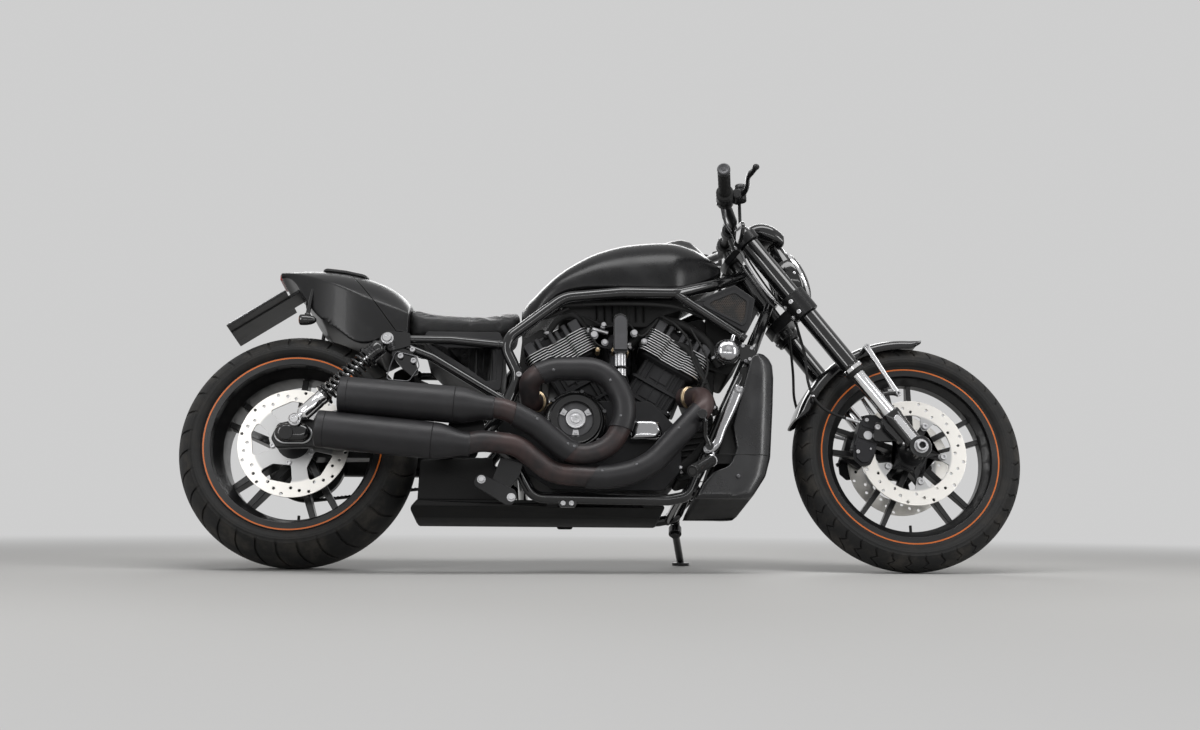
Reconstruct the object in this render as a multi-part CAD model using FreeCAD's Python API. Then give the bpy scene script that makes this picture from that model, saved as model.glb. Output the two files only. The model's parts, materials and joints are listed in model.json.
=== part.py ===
"""Cruiser motorcycle: V-twin, perimeter frame, inverted fork, wide rear tyre, leaning on its side stand.

Everything is modelled in the upright bike frame in millimetres: X forward from the rear axle, Y to the
rider's left, Z up from the plane that both tyres touch when the bike leans. The last step leans the whole
bike to its left onto the stand and moves it to the middle of its footprint.
"""
import FreeCAD
import Part
import math
import os

from FreeCAD import Vector as V

os.makedirs("parts", exist_ok=True)

# Driving dimensions, millimetres and degrees
LEAN = 12.0                # lean to the left on the side stand
WHEELBASE = 1705.0
LAYOUT_BASE = 1705.0       # wheelbase that the stations along the chassis are laid out for
RAKE = 34.0                # steering axis from vertical
TRAIL = 142.0
FORK_RAKE = 36.9           # fork legs from vertical, seen from the side
FORK_HALF = 122.0          # fork leg to centre plane
RUN_GAP = 0.3              # a seated piece stops this far from its seat
BEARING_GAP = 0.05         # radial room round an axle
SIDE_GAP = 5.0             # room beside a turning or moving piece

# Wheels: outer radius, half width, crown radius, bead radius, rim half width
REAR_TYRE_R, REAR_HALF, REAR_CROWN, REAR_BEAD, REAR_RIM_HALF = 325.0, 120.0, 165.0, 229.0, 102.0
FRONT_TYRE_R, FRONT_HALF, FRONT_CROWN, FRONT_BEAD, FRONT_RIM_HALF = 325.0, 60.0, 68.0, 242.0, 38.0
TYRE_WALL = 11.0
TREAD_EDGE = 0.93          # where the crown meets the sidewall, as a share of the half width
RIM_SKIN = 9.0
RIM_WELL = 20.0            # depth of the well below the bead seat
LIP = 14.0                 # rim lip above the bead seat
LIP_T = 7.0
SPOKE_PAIRS = 5
AXLE_R = 10.0
HUB_R_F, HUB_HALF_F = 38.0, 56.0
HUB_R_R, HUB_HALF_R = 46.0, 84.0
DISC_R = 150.0
DISC_T = 5.0
FRONT_DISC_Y = 72.0
REAR_DISC_Y = 98.0
DISC_BOLT_R = 84.0
DISC_TURN = -8.0

# Engine
CRANK_X, CRANK_Z = 880.0, 320.0
VEE_HALF = 30.0            # each cylinder from vertical
HEAD_HALF_Y = 122.0
FIN_COUNT, FIN_S0, FIN_PITCH, FIN_T = 9, 246.0, 10.0, 4.0
CASE_HALF = 120.0
COVER_DEPTH = 56.0         # a side cover stands this far from the case
COVER_Y = CASE_HALF + COVER_DEPTH

# Belt drive, outside the tyre and the case
PULLEY_R = 108.0
SPROCKET_X, SPROCKET_R = 600.0, 44.0
BELT_Y0 = max(CASE_HALF, REAR_HALF) + 6.0
BELT_Y1 = BELT_Y0 + 24.0
BELT_T = 5.0

# Frame and rear gear, outside the belt
RAIL_R = 16.0
RAIL_Y = BELT_Y1 + 18.0
RAIL_Z = 752.0             # level part of the upper rails
TANK_BASE = RAIL_Z + RAIL_R + 0.2
LOWER_R = 14.0
DOWN_R = LOWER_R + 1.0
DOWN_Y = CASE_HALF + 30.0
HEAD_R = 28.0
HEAD_Z0, HEAD_Z1 = 765.0, 893.0
SUB_R = 12.0
SUB_Y = RAIL_Y - 2.0
HOOP_X, HOOP_Z, HOOP_R = 292.0, 621.0, 10.0
PIVOT_X, PIVOT_Z, PIVOT_R = 500.0, 330.0, 14.0
ARM_IN = BELT_Y1 + SIDE_GAP
ARM_OUT = ARM_IN + 25.0
SHOCK_Y = ARM_OUT + 22.0
SPRING_R = 27.0
SPOOL_R = 19.0             # bare ends of the rear axle

# Fork and its yokes
OUTER_R, INNER_R = 27.0, 21.5
RING_S, TOP_S = 282.0, 790.0           # distances up the leg from the axle
LOW_YOKE_Z, LOW_YOKE_HALF = 742.3, 36.0
TOP_YOKE_Z, TOP_YOKE_HALF = 935.9, 14.0
STEM_R = 19.0
CALIPER_ANGLE = 162.0
CALIPER_HALF_Y = 24.0
HOSE_R = 4.0
FENDER_R = FRONT_TYRE_R + 11.0
FENDER_T = 5.0
FENDER_HALF = FRONT_HALF + 14.0
FENDER_FRONT = 8.0         # degrees ahead of the top
FENDER_SPAN = 81.0

# Bars, placed back from the front axle
BAR_R = 12.7
BAR_Z = 992.0
BAR_RISE, BAR_TIP_RISE = 18.0, 22.0    # rise of the bar at its bend and at its ends
BAR_X = WHEELBASE - 493.0
GRIP_R = 17.0
GRIP_IN, BAR_END = 272.0, 392.0
RISER_Y = 52.0

# Exhaust
PIPE_R = 28.0
PIPE_Y = -(COVER_Y + 36.0)
MUFFLER_R = 48.5
MUFFLER_Y = PIPE_Y - 60.0

# Bodywork
ARCH_R = REAR_TYRE_R + 27.0
PLATE_HALF = 80.0
PAN_FLOOR, PAN_KEEL = 134.0, 60.0      # height of the belly pan's flat bottom and its half width
SHROUD_HALF, SHROUD_T = 172.0, 20.0
CONTROL_Y = max(SHROUD_HALF, DOWN_Y + DOWN_R) + 4.0
STAND_FOOT_Y = 334.0

STRETCH = WHEELBASE / LAYOUT_BASE


def axle_height(tyre_r, crown_r):
    """Height of a wheel's centre so that its leaning tyre just touches the floor."""
    return tyre_r - crown_r + crown_r / math.cos(math.radians(LEAN))


REAR_AXLE = V(0, 0, axle_height(REAR_TYRE_R, REAR_CROWN))
FRONT_AXLE = V(WHEELBASE, 0, axle_height(FRONT_TYRE_R, FRONT_CROWN))
AXIS_Y = V(0, 1, 0)

# Small geometry helpers


def floor_z(y):
    """Height of the floor in the bike frame at a place beside the centre plane."""
    return y * math.tan(math.radians(LEAN))


def at(x, y, z):
    """A place on the chassis, x given for the layout wheelbase."""
    return V(x * STRETCH, y, z)


def station(x, z):
    """Side view corner of a chassis piece, x given for the layout wheelbase."""
    return x * STRETCH, z


def ahead(x, y, z):
    """A place on the fork or the bars, x given back from the front axle."""
    return V(WHEELBASE - x, y, z)


def unit(v):
    return V(v.x, v.y, v.z).normalize()


def rod(a, b, r):
    d = b - a
    return Part.makeCylinder(r, d.Length, a, d)


def ring(a, b, r, r_in):
    return rod(a, b, r).cut(rod(a - (b - a) * 0.01, b + (b - a) * 0.01, r_in))


def cone(a, b, ra, rb):
    d = b - a
    return Part.makeCone(ra, rb, d.Length, a, d)


def box(x0, x1, y0, y1, z0, z1):
    return Part.makeBox(x1 - x0, y1 - y0, z1 - z0, V(x0, y0, z0))


def fuse(shapes):
    """One shape from several, with seams between coplanar faces removed."""
    shapes = list(shapes)
    out = shapes[0]
    if len(shapes) > 1:
        out = out.multiFuse(shapes[1:])
    return out.removeSplitter()


def mirrored(shape):
    return shape.mirror(V(0, 0, 0), AXIS_Y)


def pair(shape):
    """The shape and its mirror image on the other side of the bike, apart."""
    return Part.makeCompound([shape, mirrored(shape)])


def rounded(points, radii, closed):
    """Edges of a polyline with its corners rounded by tangent arcs."""
    n = len(points)
    if not hasattr(radii, "__len__"):
        radii = [radii] * n
    cuts = []
    for i, p in enumerate(points):
        if not closed and i in (0, n - 1):
            cuts.append((p, p, p))
            continue
        a, b = unit(points[i - 1] - p), unit(points[(i + 1) % n] - p)
        turn = math.pi - a.getAngle(b)
        r = radii[i]
        if r <= 0 or turn < 1e-4:
            cuts.append((p, p, p))
            continue
        back = r * math.tan(turn / 2)
        mid = unit(a + b)
        centre = p + mid * (r / math.cos(turn / 2))
        cuts.append((p + a * back, centre - mid * r, p + b * back))
    edges = []
    for i, (start, mid, end) in enumerate(cuts):
        if (end - start).Length > 1e-6:
            edges.append(Part.Arc(start, mid, end).toShape())
        if i < n - 1 or closed:
            nxt = cuts[(i + 1) % n][0]
            if (nxt - end).Length > 1e-4:
                edges.append(Part.LineSegment(end, nxt).toShape())
    return edges


def slab(points, y0, y1, radius=0.0):
    """A plate in the bike's side view, (x, z) corners, standing from y0 to y1."""
    ps = [V(x, y0, z) for x, z in points]
    wire = Part.Wire(rounded(ps, radius, True))
    return Part.Face(wire).extrude(V(0, y1 - y0, 0))


def panel(points, y0, y1, radius=0.0):
    """A plate of the chassis, its corners given as stations."""
    return slab([station(x, z) for x, z in points], y0, y1, radius)


def tube(points, radius, bend, r_in=0.0):
    """A bent tube along points, corners rounded to the given bend radius or radii."""
    path = Part.Wire(rounded(points, bend, False))

    def sweep(r):
        start = unit(points[1] - points[0])
        profile = Part.Wire(Part.makeCircle(r, points[0], start))
        return path.makePipeShell([profile], True, False)

    solid = sweep(radius)
    return solid.cut(sweep(r_in)) if r_in else solid


def spin(profile, centre):
    """Revolves a closed wire given as (radius, y) edges about the wheel axle through centre."""
    face = Part.Face(profile)
    face.translate(centre)
    return face.revolve(centre, AXIS_Y, 360)


def ry(r, y):
    return V(0, y, r)


def line(a, b):
    return Part.LineSegment(a, b).toShape()


def arc3(a, m, b):
    return Part.Arc(a, m, b).toShape()


def lathe(points, centre):
    """A turned piece from (radius, y) corners."""
    ps = [ry(r, y) for r, y in points]
    return spin(Part.makePolygon(ps + [ps[0]]), centre)


def dome_section(x, half, z_base, z_side, z_top, tuck=0.0, y_mid=0.0):
    """Closed section across the bike: flat base, two sides and one arc over the top."""
    a, b = V(x, y_mid - half + tuck, z_base), V(x, y_mid + half - tuck, z_base)
    c, d = V(x, y_mid + half, z_side), V(x, y_mid - half, z_side)
    return Part.Wire([line(a, b), line(b, c), arc3(c, V(x, y_mid, z_top), d), line(d, a)])


def round_section(x, half, z0, z1, r):
    """Closed rounded rectangle across the bike."""
    ps = [V(x, -half, z0), V(x, half, z0), V(x, half, z1), V(x, -half, z1)]
    return Part.Wire(rounded(ps, r, True))


def loft(wires):
    return Part.makeLoft(wires, True, False)


def ellipse(centre, up, side, half_up, half_side):
    """Closed ellipse wire with its long axis along whichever half size is larger."""
    if half_up < half_side:
        up, side, half_up, half_side = side, up, half_side, half_up
    e = Part.Ellipse(centre + up * half_up, centre + side * half_side, centre)
    return Part.Wire(e.toShape())


nodes = {}

# Wheels


def tyre(centre, outer, half, crown, bead, rim_half):
    """A hollow tyre: crown arc, two sidewall arcs and open beads."""
    edge = half * TREAD_EDGE

    def skin(inset):
        top = outer - inset
        crown_r = crown - inset
        shoulder_y = edge - inset
        shoulder_r = top - crown_r + math.sqrt(crown_r ** 2 - shoulder_y ** 2)
        belly_r = bead + LIP + 0.5 * (shoulder_r - bead - LIP)
        foot, belly = ry(bead, rim_half - inset), ry(belly_r, half - inset)
        neck = ry(bead + LIP, rim_half - inset)
        shoulder, crest = ry(shoulder_r, shoulder_y), ry(top, 0)
        flip = [V(p.x, -p.y, p.z) for p in (foot, neck, belly, shoulder)]
        return [line(foot, neck), arc3(neck, belly, shoulder), arc3(shoulder, crest, flip[3]),
                arc3(flip[3], flip[2], flip[1]), line(flip[1], flip[0])], foot, flip[0]

    outside, foot_l, foot_r = skin(0.0)
    inside, in_l, in_r = skin(TYRE_WALL)
    edges = outside + [line(foot_r, in_r)] + inside + [line(in_l, foot_l)]
    wire = Part.Wire(Part.__sortEdges__(edges))
    return spin(wire, centre)


def rim(centre, bead, rim_half, spoke_reach, hub_r, hub_half, spoke_half_y, pair_angle, spread):
    """Cast wheel: barrel with lips and a well, hub, and slender spokes in pairs."""
    lip_r = bead + LIP - RUN_GAP
    seat = bead - RUN_GAP
    well = bead - RIM_WELL
    floor_r = well - RIM_SKIN
    y1 = rim_half + RUN_GAP
    y2 = y1 + LIP_T
    step = rim_half * 0.42
    half_out = [(lip_r, y2), (lip_r, y1), (seat, y1), (seat, rim_half * 0.72), (well, step)]
    half_in = [(seat - RIM_SKIN, y2), (seat - RIM_SKIN, rim_half * 0.78), (floor_r, step)]
    outer = half_out + [(r, -y) for r, y in reversed(half_out)]
    inner = half_in + [(r, -y) for r, y in reversed(half_in)]
    barrel = lathe(outer + list(reversed(inner)), centre)
    hub = ring(centre - AXIS_Y * hub_half, centre + AXIS_Y * hub_half, hub_r, AXLE_R + BEARING_GAP)
    spokes = []
    for k in range(SPOKE_PAIRS):
        for side in (-1, 1):
            root, tip = hub_r * 0.8, floor_r + RIM_SKIN * 0.6
            y_in, y_out = spoke_half_y * 1.5, spoke_half_y
            off_in, off_out = side * spread * 0.45, side * spread
            w_in, w_out = spoke_reach, spoke_reach * 0.75
            quad_in = [V(off_in - w_in, -y_in, root), V(off_in + w_in, -y_in, root),
                       V(off_in + w_in, y_in, root), V(off_in - w_in, y_in, root)]
            quad_out = [V(off_out - w_out, -y_out, tip), V(off_out + w_out, -y_out, tip),
                        V(off_out + w_out, y_out, tip), V(off_out - w_out, y_out, tip)]
            bar = Part.makeLoft([Part.makePolygon(q + [q[0]]) for q in (quad_in, quad_out)], True, True)
            bar.rotate(V(0, 0, 0), AXIS_Y, pair_angle + k * 360.0 / SPOKE_PAIRS)
            bar.translate(centre)
            spokes.append(bar)
    return fuse([barrel, hub] + spokes).cut(rod(centre - AXIS_Y * 200, centre + AXIS_Y * 200,
                                                AXLE_R + BEARING_GAP))


def disc(centre, y, inner_r, bolt_r, bolts, turn, boss_r):
    """Brake disc band with one lug for each carrier bolt."""
    c = centre + AXIS_Y * y
    half = AXIS_Y * (DISC_T / 2)
    band = ring(c - half, c + half, DISC_R, inner_r)
    lugs = []
    for k in range(bolts):
        a = math.radians(turn + k * 360.0 / bolts)
        d = V(math.cos(a), 0, math.sin(a))
        bolt, root = c + d * bolt_r, c + d * (inner_r + 6)
        side = V(-d.z, 0, d.x)
        p = [bolt + side * 11, root + side * 22, root - side * 22, bolt - side * 11]
        p = [q - half for q in p]
        web = Part.Face(Part.makePolygon(p + [p[0]])).extrude(half * 2)
        eye = rod(bolt - half, bolt + half, 13)
        lugs += [web, eye]
    holes = [rod(c + V(math.cos(a), 0, math.sin(a)) * bolt_r - half * 3,
                 c + V(math.cos(a), 0, math.sin(a)) * bolt_r + half * 3, boss_r)
             for a in [math.radians(turn + k * 360.0 / bolts) for k in range(bolts)]]
    return fuse([band] + lugs).cut(Part.makeCompound(holes))


def front_carrier(side):
    """Five-armed carrier that holds a front disc to the hub."""
    y0, y1 = HUB_HALF_F, FRONT_DISC_Y - DISC_T / 2
    c = FRONT_AXLE
    star = [ring(c + AXIS_Y * y0 * side, c + AXIS_Y * y1 * side, 52, 36)]
    for k in range(5):
        a = math.radians(DISC_TURN + 72 * k)
        d = V(math.cos(a), 0, math.sin(a))
        tip = c + d * DISC_BOLT_R
        star.append(rod(tip + AXIS_Y * y0 * side, tip + AXIS_Y * (y1 + 7) * side, 9))
        web = box(-9, 9, 0, y1 - y0, 40, DISC_BOLT_R)
        web.rotate(V(0, 0, 0), AXIS_Y, 90 - (DISC_TURN + 72 * k))
        web.translate(c + AXIS_Y * (y0 if side > 0 else -y1))
        star.append(web)
    return star


def build_wheels():
    nodes["front_tyre"] = tyre(FRONT_AXLE, FRONT_TYRE_R, FRONT_HALF, FRONT_CROWN, FRONT_BEAD,
                               FRONT_RIM_HALF)
    nodes["rear_tyre"] = tyre(REAR_AXLE, REAR_TYRE_R, REAR_HALF, REAR_CROWN, REAR_BEAD,
                              REAR_RIM_HALF)
    front = rim(FRONT_AXLE, FRONT_BEAD, FRONT_RIM_HALF, 9.0, HUB_R_F, HUB_HALF_F, 12.0, 67.5, 34.0)
    carriers = front_carrier(1) + front_carrier(-1)
    bore = rod(FRONT_AXLE - AXIS_Y * 200, FRONT_AXLE + AXIS_Y * 200, AXLE_R + BEARING_GAP)
    nodes["front_wheel_casting"] = fuse([front] + carriers).cut(bore)
    nodes["rear_wheel_casting"] = rim(REAR_AXLE, REAR_BEAD, REAR_RIM_HALF, 11.0, HUB_R_R, HUB_HALF_R,
                                      22.0, 12.0, 34.0)
    nodes["front_discs"] = pair(disc(FRONT_AXLE, -FRONT_DISC_Y, 108, DISC_BOLT_R, 5, DISC_TURN,
                                     9 + RUN_GAP))
    half = AXIS_Y * (DISC_T / 2)
    c = REAR_AXLE - AXIS_Y * REAR_DISC_Y
    plate = rod(c - half, c + half, DISC_R)
    windows = []
    for k in range(5):
        win = slab([(-12, 62), (34, 74), (52, 104), (4, 112), (-30, 104)], -20, 20, 8)
        win.rotate(V(0, 0, 0), AXIS_Y, 72 * k + 20)
        win.translate(c)
        windows.append(win)
    seat = ring(REAR_AXLE - AXIS_Y * HUB_HALF_R, c + half, 58, AXLE_R + BEARING_GAP)
    bore = rod(c - half * 9, c + half * 9, AXLE_R + BEARING_GAP)
    nodes["rear_disc"] = fuse([plate.cut(Part.makeCompound(windows)), seat]).cut(bore)
    # toothed belt wheel on the left, carried by the hub
    p0, p1 = REAR_AXLE + AXIS_Y * HUB_HALF_R, REAR_AXLE + AXIS_Y * BELT_Y1
    b0 = REAR_AXLE + AXIS_Y * BELT_Y0
    wheel = fuse([ring(p0, p1, 44, AXLE_R + BEARING_GAP), ring(b0, p1, PULLEY_R, 88),
                  ring(b0 + AXIS_Y * 8, p1 - AXIS_Y * 8, 92, 40)])
    holes = [rod(REAR_AXLE + V(66 * math.cos(a), 0, 66 * math.sin(a)) + AXIS_Y * 100,
                 REAR_AXLE + V(66 * math.cos(a), 0, 66 * math.sin(a)) + AXIS_Y * 160, 15)
             for a in [math.radians(60 * k) for k in range(6)]]
    nodes["rear_pulley"] = wheel.cut(Part.makeCompound(holes))


# Fork, bars and lamp

RAKE_DIR = V(-math.sin(math.radians(RAKE)), 0, math.cos(math.radians(RAKE)))
LEG_DIR = V(-math.sin(math.radians(FORK_RAKE)), 0, math.cos(math.radians(FORK_RAKE)))
LEG_OUT = V(math.cos(math.radians(FORK_RAKE)), 0, math.sin(math.radians(FORK_RAKE)))
LOW_YOKE_S = (LOW_YOKE_Z - FRONT_AXLE.z) / LEG_DIR.z
TOP_YOKE_S = (TOP_YOKE_Z - FRONT_AXLE.z) / LEG_DIR.z
AXIS_FLOOR = V(WHEELBASE + TRAIL, 0, 0)


def steer_point(z):
    """Point on the steering axis at a height."""
    return AXIS_FLOOR + RAKE_DIR * (z / RAKE_DIR.z)


def leg(s, side=-1, out=0.0):
    """Point on a fork leg, s up from the axle, out ahead of it."""
    return FRONT_AXLE + LEG_DIR * s + LEG_OUT * out + AXIS_Y * (FORK_HALF * side)


def yoke(s, half, arm, grip_r, reach_back):
    """A triple clamp: two clamp eyes on the legs and a web back to the steering stem."""
    eyes = [rod(leg(s - half, side), leg(s + half, side), grip_r) for side in (-1, 1)]
    c = FRONT_AXLE + LEG_DIR * s
    corners = [(-reach_back, 34), (0, FORK_HALF - 6), (22, FORK_HALF - 20), (16, 0)]
    ps = [c + LEG_OUT * a + AXIS_Y * b - LEG_DIR * arm for a, b in corners]
    ps += [c + LEG_OUT * a - AXIS_Y * b - LEG_DIR * arm for a, b in reversed(corners[:-1])]
    web = Part.Face(Part.makePolygon(ps + [ps[0]])).extrude(LEG_DIR * (2 * arm))
    return fuse(eyes + [web])


def build_fork():
    bores = Part.makeCompound([rod(leg(RING_S - 40, s), leg(TOP_S + 40, s), OUTER_R + RUN_GAP)
                               for s in (-1, 1)])
    stem_low, stem_top = steer_point(HEAD_Z0 - 75), steer_point(HEAD_Z1 + 27)
    low = yoke(LOW_YOKE_S, LOW_YOKE_HALF, 17, OUTER_R + 10, 78)
    top = yoke(TOP_YOKE_S, TOP_YOKE_HALF, 10, OUTER_R + 9, 58)
    stem = rod(stem_low, stem_top, STEM_R)
    low_half = rod(steer_point(HEAD_Z0 - 300), steer_point(HEAD_Z0 - 4), 500)
    top_half = rod(steer_point(HEAD_Z1 + 4), steer_point(HEAD_Z1 + 400), 500)
    top = top.common(top_half)
    nodes["lower_yoke"] = fuse([low.common(low_half), stem.cut(top)]).cut(bores)
    nodes["upper_yoke"] = top.cut(bores)
    outer = ring(leg(RING_S + 8), leg(TOP_S), OUTER_R, INNER_R + 1.5)
    wiper = ring(leg(RING_S - 8), leg(RING_S + 8), OUTER_R + 4, INNER_R + RUN_GAP)
    cap = rod(leg(TOP_S - 8), leg(TOP_S + 9), OUTER_R - 3)
    nodes["fork_outer_tubes"] = pair(fuse([outer, wiper, cap]))
    ear_y = FRONT_DISC_Y + CALIPER_HALF_Y
    corners = ((-37, 26), (-65, 84), (-117, 76), (-121, 18))
    ear = slab([(FRONT_AXLE.x + x, FRONT_AXLE.z + z) for x, z in corners], -(ear_y + 18), -ear_y, 8)
    foot = fuse([rod(leg(96), leg(RING_S + 120), INNER_R), rod(leg(-26), leg(126), 26), ear])
    foot = fuse([foot, rod(leg(0) - AXIS_Y * 30, leg(0) + AXIS_Y * 28, 31)])
    foot = foot.cut(rod(leg(0) - AXIS_Y * 60, leg(0) + AXIS_Y * 60, AXLE_R))
    nodes["fork_lowers"] = pair(foot)
    nut = 18.0
    end = FORK_HALF + 34
    nodes["front_axle"] = fuse([rod(FRONT_AXLE - AXIS_Y * end, FRONT_AXLE + AXIS_Y * end, AXLE_R),
                                rod(FRONT_AXLE - AXIS_Y * (end + 10), FRONT_AXLE - AXIS_Y * (end - 4), nut),
                                rod(FRONT_AXLE + AXIS_Y * (end - 4), FRONT_AXLE + AXIS_Y * (end + 10), nut)])


def caliper(centre, y, angle, r_mid, length, depth, half_y, gap):
    """Brake caliper block that straddles a disc, slot open towards the axle."""
    a = math.radians(angle)
    mid = centre + V(math.cos(a), 0, math.sin(a)) * r_mid
    body = slab([(-depth / 2, -length / 2), (depth / 2, -length * 0.36), (depth / 2, length * 0.36),
                 (-depth / 2, length / 2)], y - half_y, y + half_y, 7)
    body.rotate(V(0, 0, 0), AXIS_Y, -angle)
    body.translate(V(mid.x, 0, mid.z))
    slot = ring(centre + AXIS_Y * (y - gap), centre + AXIS_Y * (y + gap), DISC_R + 4, 60)
    return body.cut(slot)


def build_front_details():
    body = caliper(FRONT_AXLE, -FRONT_DISC_Y, CALIPER_ANGLE, 137, 112, 62, CALIPER_HALF_Y,
                   DISC_T / 2 + 1.5)
    nodes["front_calipers"] = pair(body)
    # fender: an arc shell over the tyre with two struts a side
    r_in, r_out, half = FENDER_R, FENDER_R + FENDER_T, FENDER_HALF
    shell_pts = [(r_in - 30, half), (r_in - 30, half - 4), (r_in, half - 10), (r_in, -(half - 10)),
                 (r_in - 30, -(half - 4)), (r_in - 30, -half), (r_out - 6, -half), (r_out, -(half - 8)),
                 (r_out, half - 8), (r_out - 6, half)]
    face = Part.Face(Part.makePolygon([ry(r, y) for r, y in shell_pts] + [ry(*shell_pts[0])]))
    face.translate(FRONT_AXLE)
    face.rotate(FRONT_AXLE, AXIS_Y, FENDER_FRONT)
    shell = face.revolve(FRONT_AXLE, AXIS_Y, -FENDER_SPAN)
    hip, knee, foot = (V(FRONT_AXLE.x + x, -FORK_HALF, FRONT_AXLE.z + z) for x, z in
                       ((-128, r_in - 43), (-48, 156), (-100, 150)))
    stay = fuse([rod(V(hip.x, -FORK_HALF - 6, hip.z), V(hip.x, 4 - half, hip.z), 8),
                 cone(hip, knee, 6, 9), rod(knee, foot, 8), Part.makeSphere(9, knee)])
    stay = stay.cut(nodes["fork_lowers"])
    stay = max(stay.Solids, key=lambda q: q.Volume)
    nodes["front_fender"] = fuse([shell, stay, mirrored(stay)])
    hose = tube([at_leg_web(40), V(FRONT_AXLE.x - 294, -88, 600), V(FRONT_AXLE.x - 294, -95, 530),
                 V(FRONT_AXLE.x - 281, -96, 480), V(FRONT_AXLE.x - 253, -96, 444),
                 V(FRONT_AXLE.x - 211, -96, 424), V(FRONT_AXLE.x - 130, -90, 402)], HOSE_R,
                [0, 130, 180, 100, 87, 160, 0])
    hose = hose.cut(Part.makeCompound([nodes["lower_yoke"], nodes["front_calipers"]]))
    nodes["brake_hoses"] = pair(max(hose.Solids, key=lambda q: q.Volume))


def at_leg_web(half_y):
    """Start of a brake hose, inside the lower yoke's web."""
    c = FRONT_AXLE + LEG_DIR * LOW_YOKE_S
    return V(c.x, -half_y, c.z)


BAR_BENDS = [0, 60, 50, 0, 50, 60, 0]


def bar_points(side):
    """Centre line of the handlebar on one side."""
    return [V(BAR_X, 0, BAR_Z), V(BAR_X, 120 * side, BAR_Z), V(BAR_X - 36, 215 * side, BAR_Z + BAR_RISE),
            V(BAR_X - 66, (BAR_END + 4) * side, BAR_Z + BAR_TIP_RISE)]


def build_bars():
    right = bar_points(-1)
    left = bar_points(1)
    path = list(reversed(right)) + left[1:]
    nodes["handlebar"] = tube(path, BAR_R, BAR_BENDS)
    hollow = tube(path, BAR_R + RUN_GAP, BAR_BENDS)
    # grips follow the straight end of the bar
    grips, controls = [], []
    for side in (-1, 1):
        a, b = bar_points(side)[2], bar_points(side)[3]
        d = unit(b - a)
        start = b - d * (BAR_END + 4 - GRIP_IN)
        sleeve = ring(start, b, GRIP_R, BAR_R + RUN_GAP)
        endcap = rod(b + d * RUN_GAP, b + d * 14, GRIP_R + 1)
        flange = ring(start - d * 6, start, GRIP_R + 7, BAR_R + RUN_GAP)
        grips.append(fuse([sleeve, flange, endcap]))
        # control cluster: clamp, switch housing, reservoir, lever and mirror
        s0, s1 = start - d * 62, start - d * 10
        house = rod(s0, s1, 25)
        fore = unit(V(1, 0, 0.1))
        body = rod(s0 + fore * 34 + d * 6, s1 + fore * 34, 15)
        neck = box(-8, 40, -10, 10, -10, 10)
        neck.translate((s0 + s1) * 0.5)
        res0 = s0 + fore * 44 + d * 26
        pot = rod(res0 - V(0, 0, 14), res0 + V(0, 0, 34), 17)
        lever = tube([s1 + fore * 40 - d * 14, s1 + fore * 62 + d * 26, s1 + fore * 66 + d * 95,
                      s1 + fore * 88 + d * 146], 6, [0, 30, 30, 0])
        knob = Part.makeSphere(8.5, s1 + fore * 88 + d * 146)
        stalk = rod(s0 + d * 12 + fore * 40 - V(0, 0, 8), s0 + d * 12 + fore * 40 - V(0, 0, 74), 5)
        controls.append(fuse([house, body, neck, pot, lever, knob, stalk]).cut(hollow))
    nodes["grips"] = Part.makeCompound(grips)
    nodes["hand_controls"] = Part.makeCompound(controls)
    # risers stand on the upper yoke and clamp the bar
    top = TOP_YOKE_S + 10
    risers = []
    for side in (-1, 1):
        grip = ring(V(BAR_X, (RISER_Y - 14) * side, BAR_Z), V(BAR_X, (RISER_Y + 14) * side, BAR_Z),
                    24, BAR_R)
        foot = V(BAR_X + 8, RISER_Y * side, BAR_Z - 20)
        axis = unit(V(BAR_X - 3, 0, BAR_Z) - V(BAR_X + 12, 0, BAR_Z - 40))
        post = rod(foot - axis * 60, foot, 15)
        riser = fuse([grip, post]).cut(rod(V(BAR_X, -100, BAR_Z), V(BAR_X, 100, BAR_Z), BAR_R))
        plane = FRONT_AXLE + LEG_DIR * (TOP_YOKE_S + 10)
        below = rod(plane - LEG_DIR * 200, plane, 400)
        risers.append(riser.cut(below))
    nodes["upper_yoke"] = fuse([nodes["upper_yoke"]] + risers)
    nodes["mirrors"] = build_mirrors()


def build_mirrors():
    """A slim mirror hung below each end of the bar, carried by its stalk."""
    out = []
    for side in (-1, 1):
        a, b = bar_points(side)[2], bar_points(side)[3]
        d = unit(b - a)
        s0 = b - d * (BAR_END + 4 - GRIP_IN) - d * 62
        top = s0 + d * 12 + unit(V(1, 0, 0.1)) * 40 - V(0, 0, 74 + RUN_GAP)
        wire = ellipse(top - V(5, 0, 26), V(0, 0, 1), AXIS_Y, 26, 48)
        out.append(Part.Face(wire).extrude(V(11, 0, 0)))
    return Part.makeCompound(out)


LAMP_C = ahead(293, 0, 868)
LAMP_N = V(math.cos(math.radians(25)), 0, math.sin(math.radians(25)))
LAMP_U = V(-math.sin(math.radians(25)), 0, math.cos(math.radians(25)))
# distance along the lamp's axis from the lens seat, half height, half width
LAMP_SECTIONS = [(0, 88, 74), (-30, 85, 71), (-55, 70, 60), (-72, 44, 38)]
LENS_SECTIONS = [(0.3, 83, 69), (10, 76, 62), (18, 54, 44), (22, 20, 16)]


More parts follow.
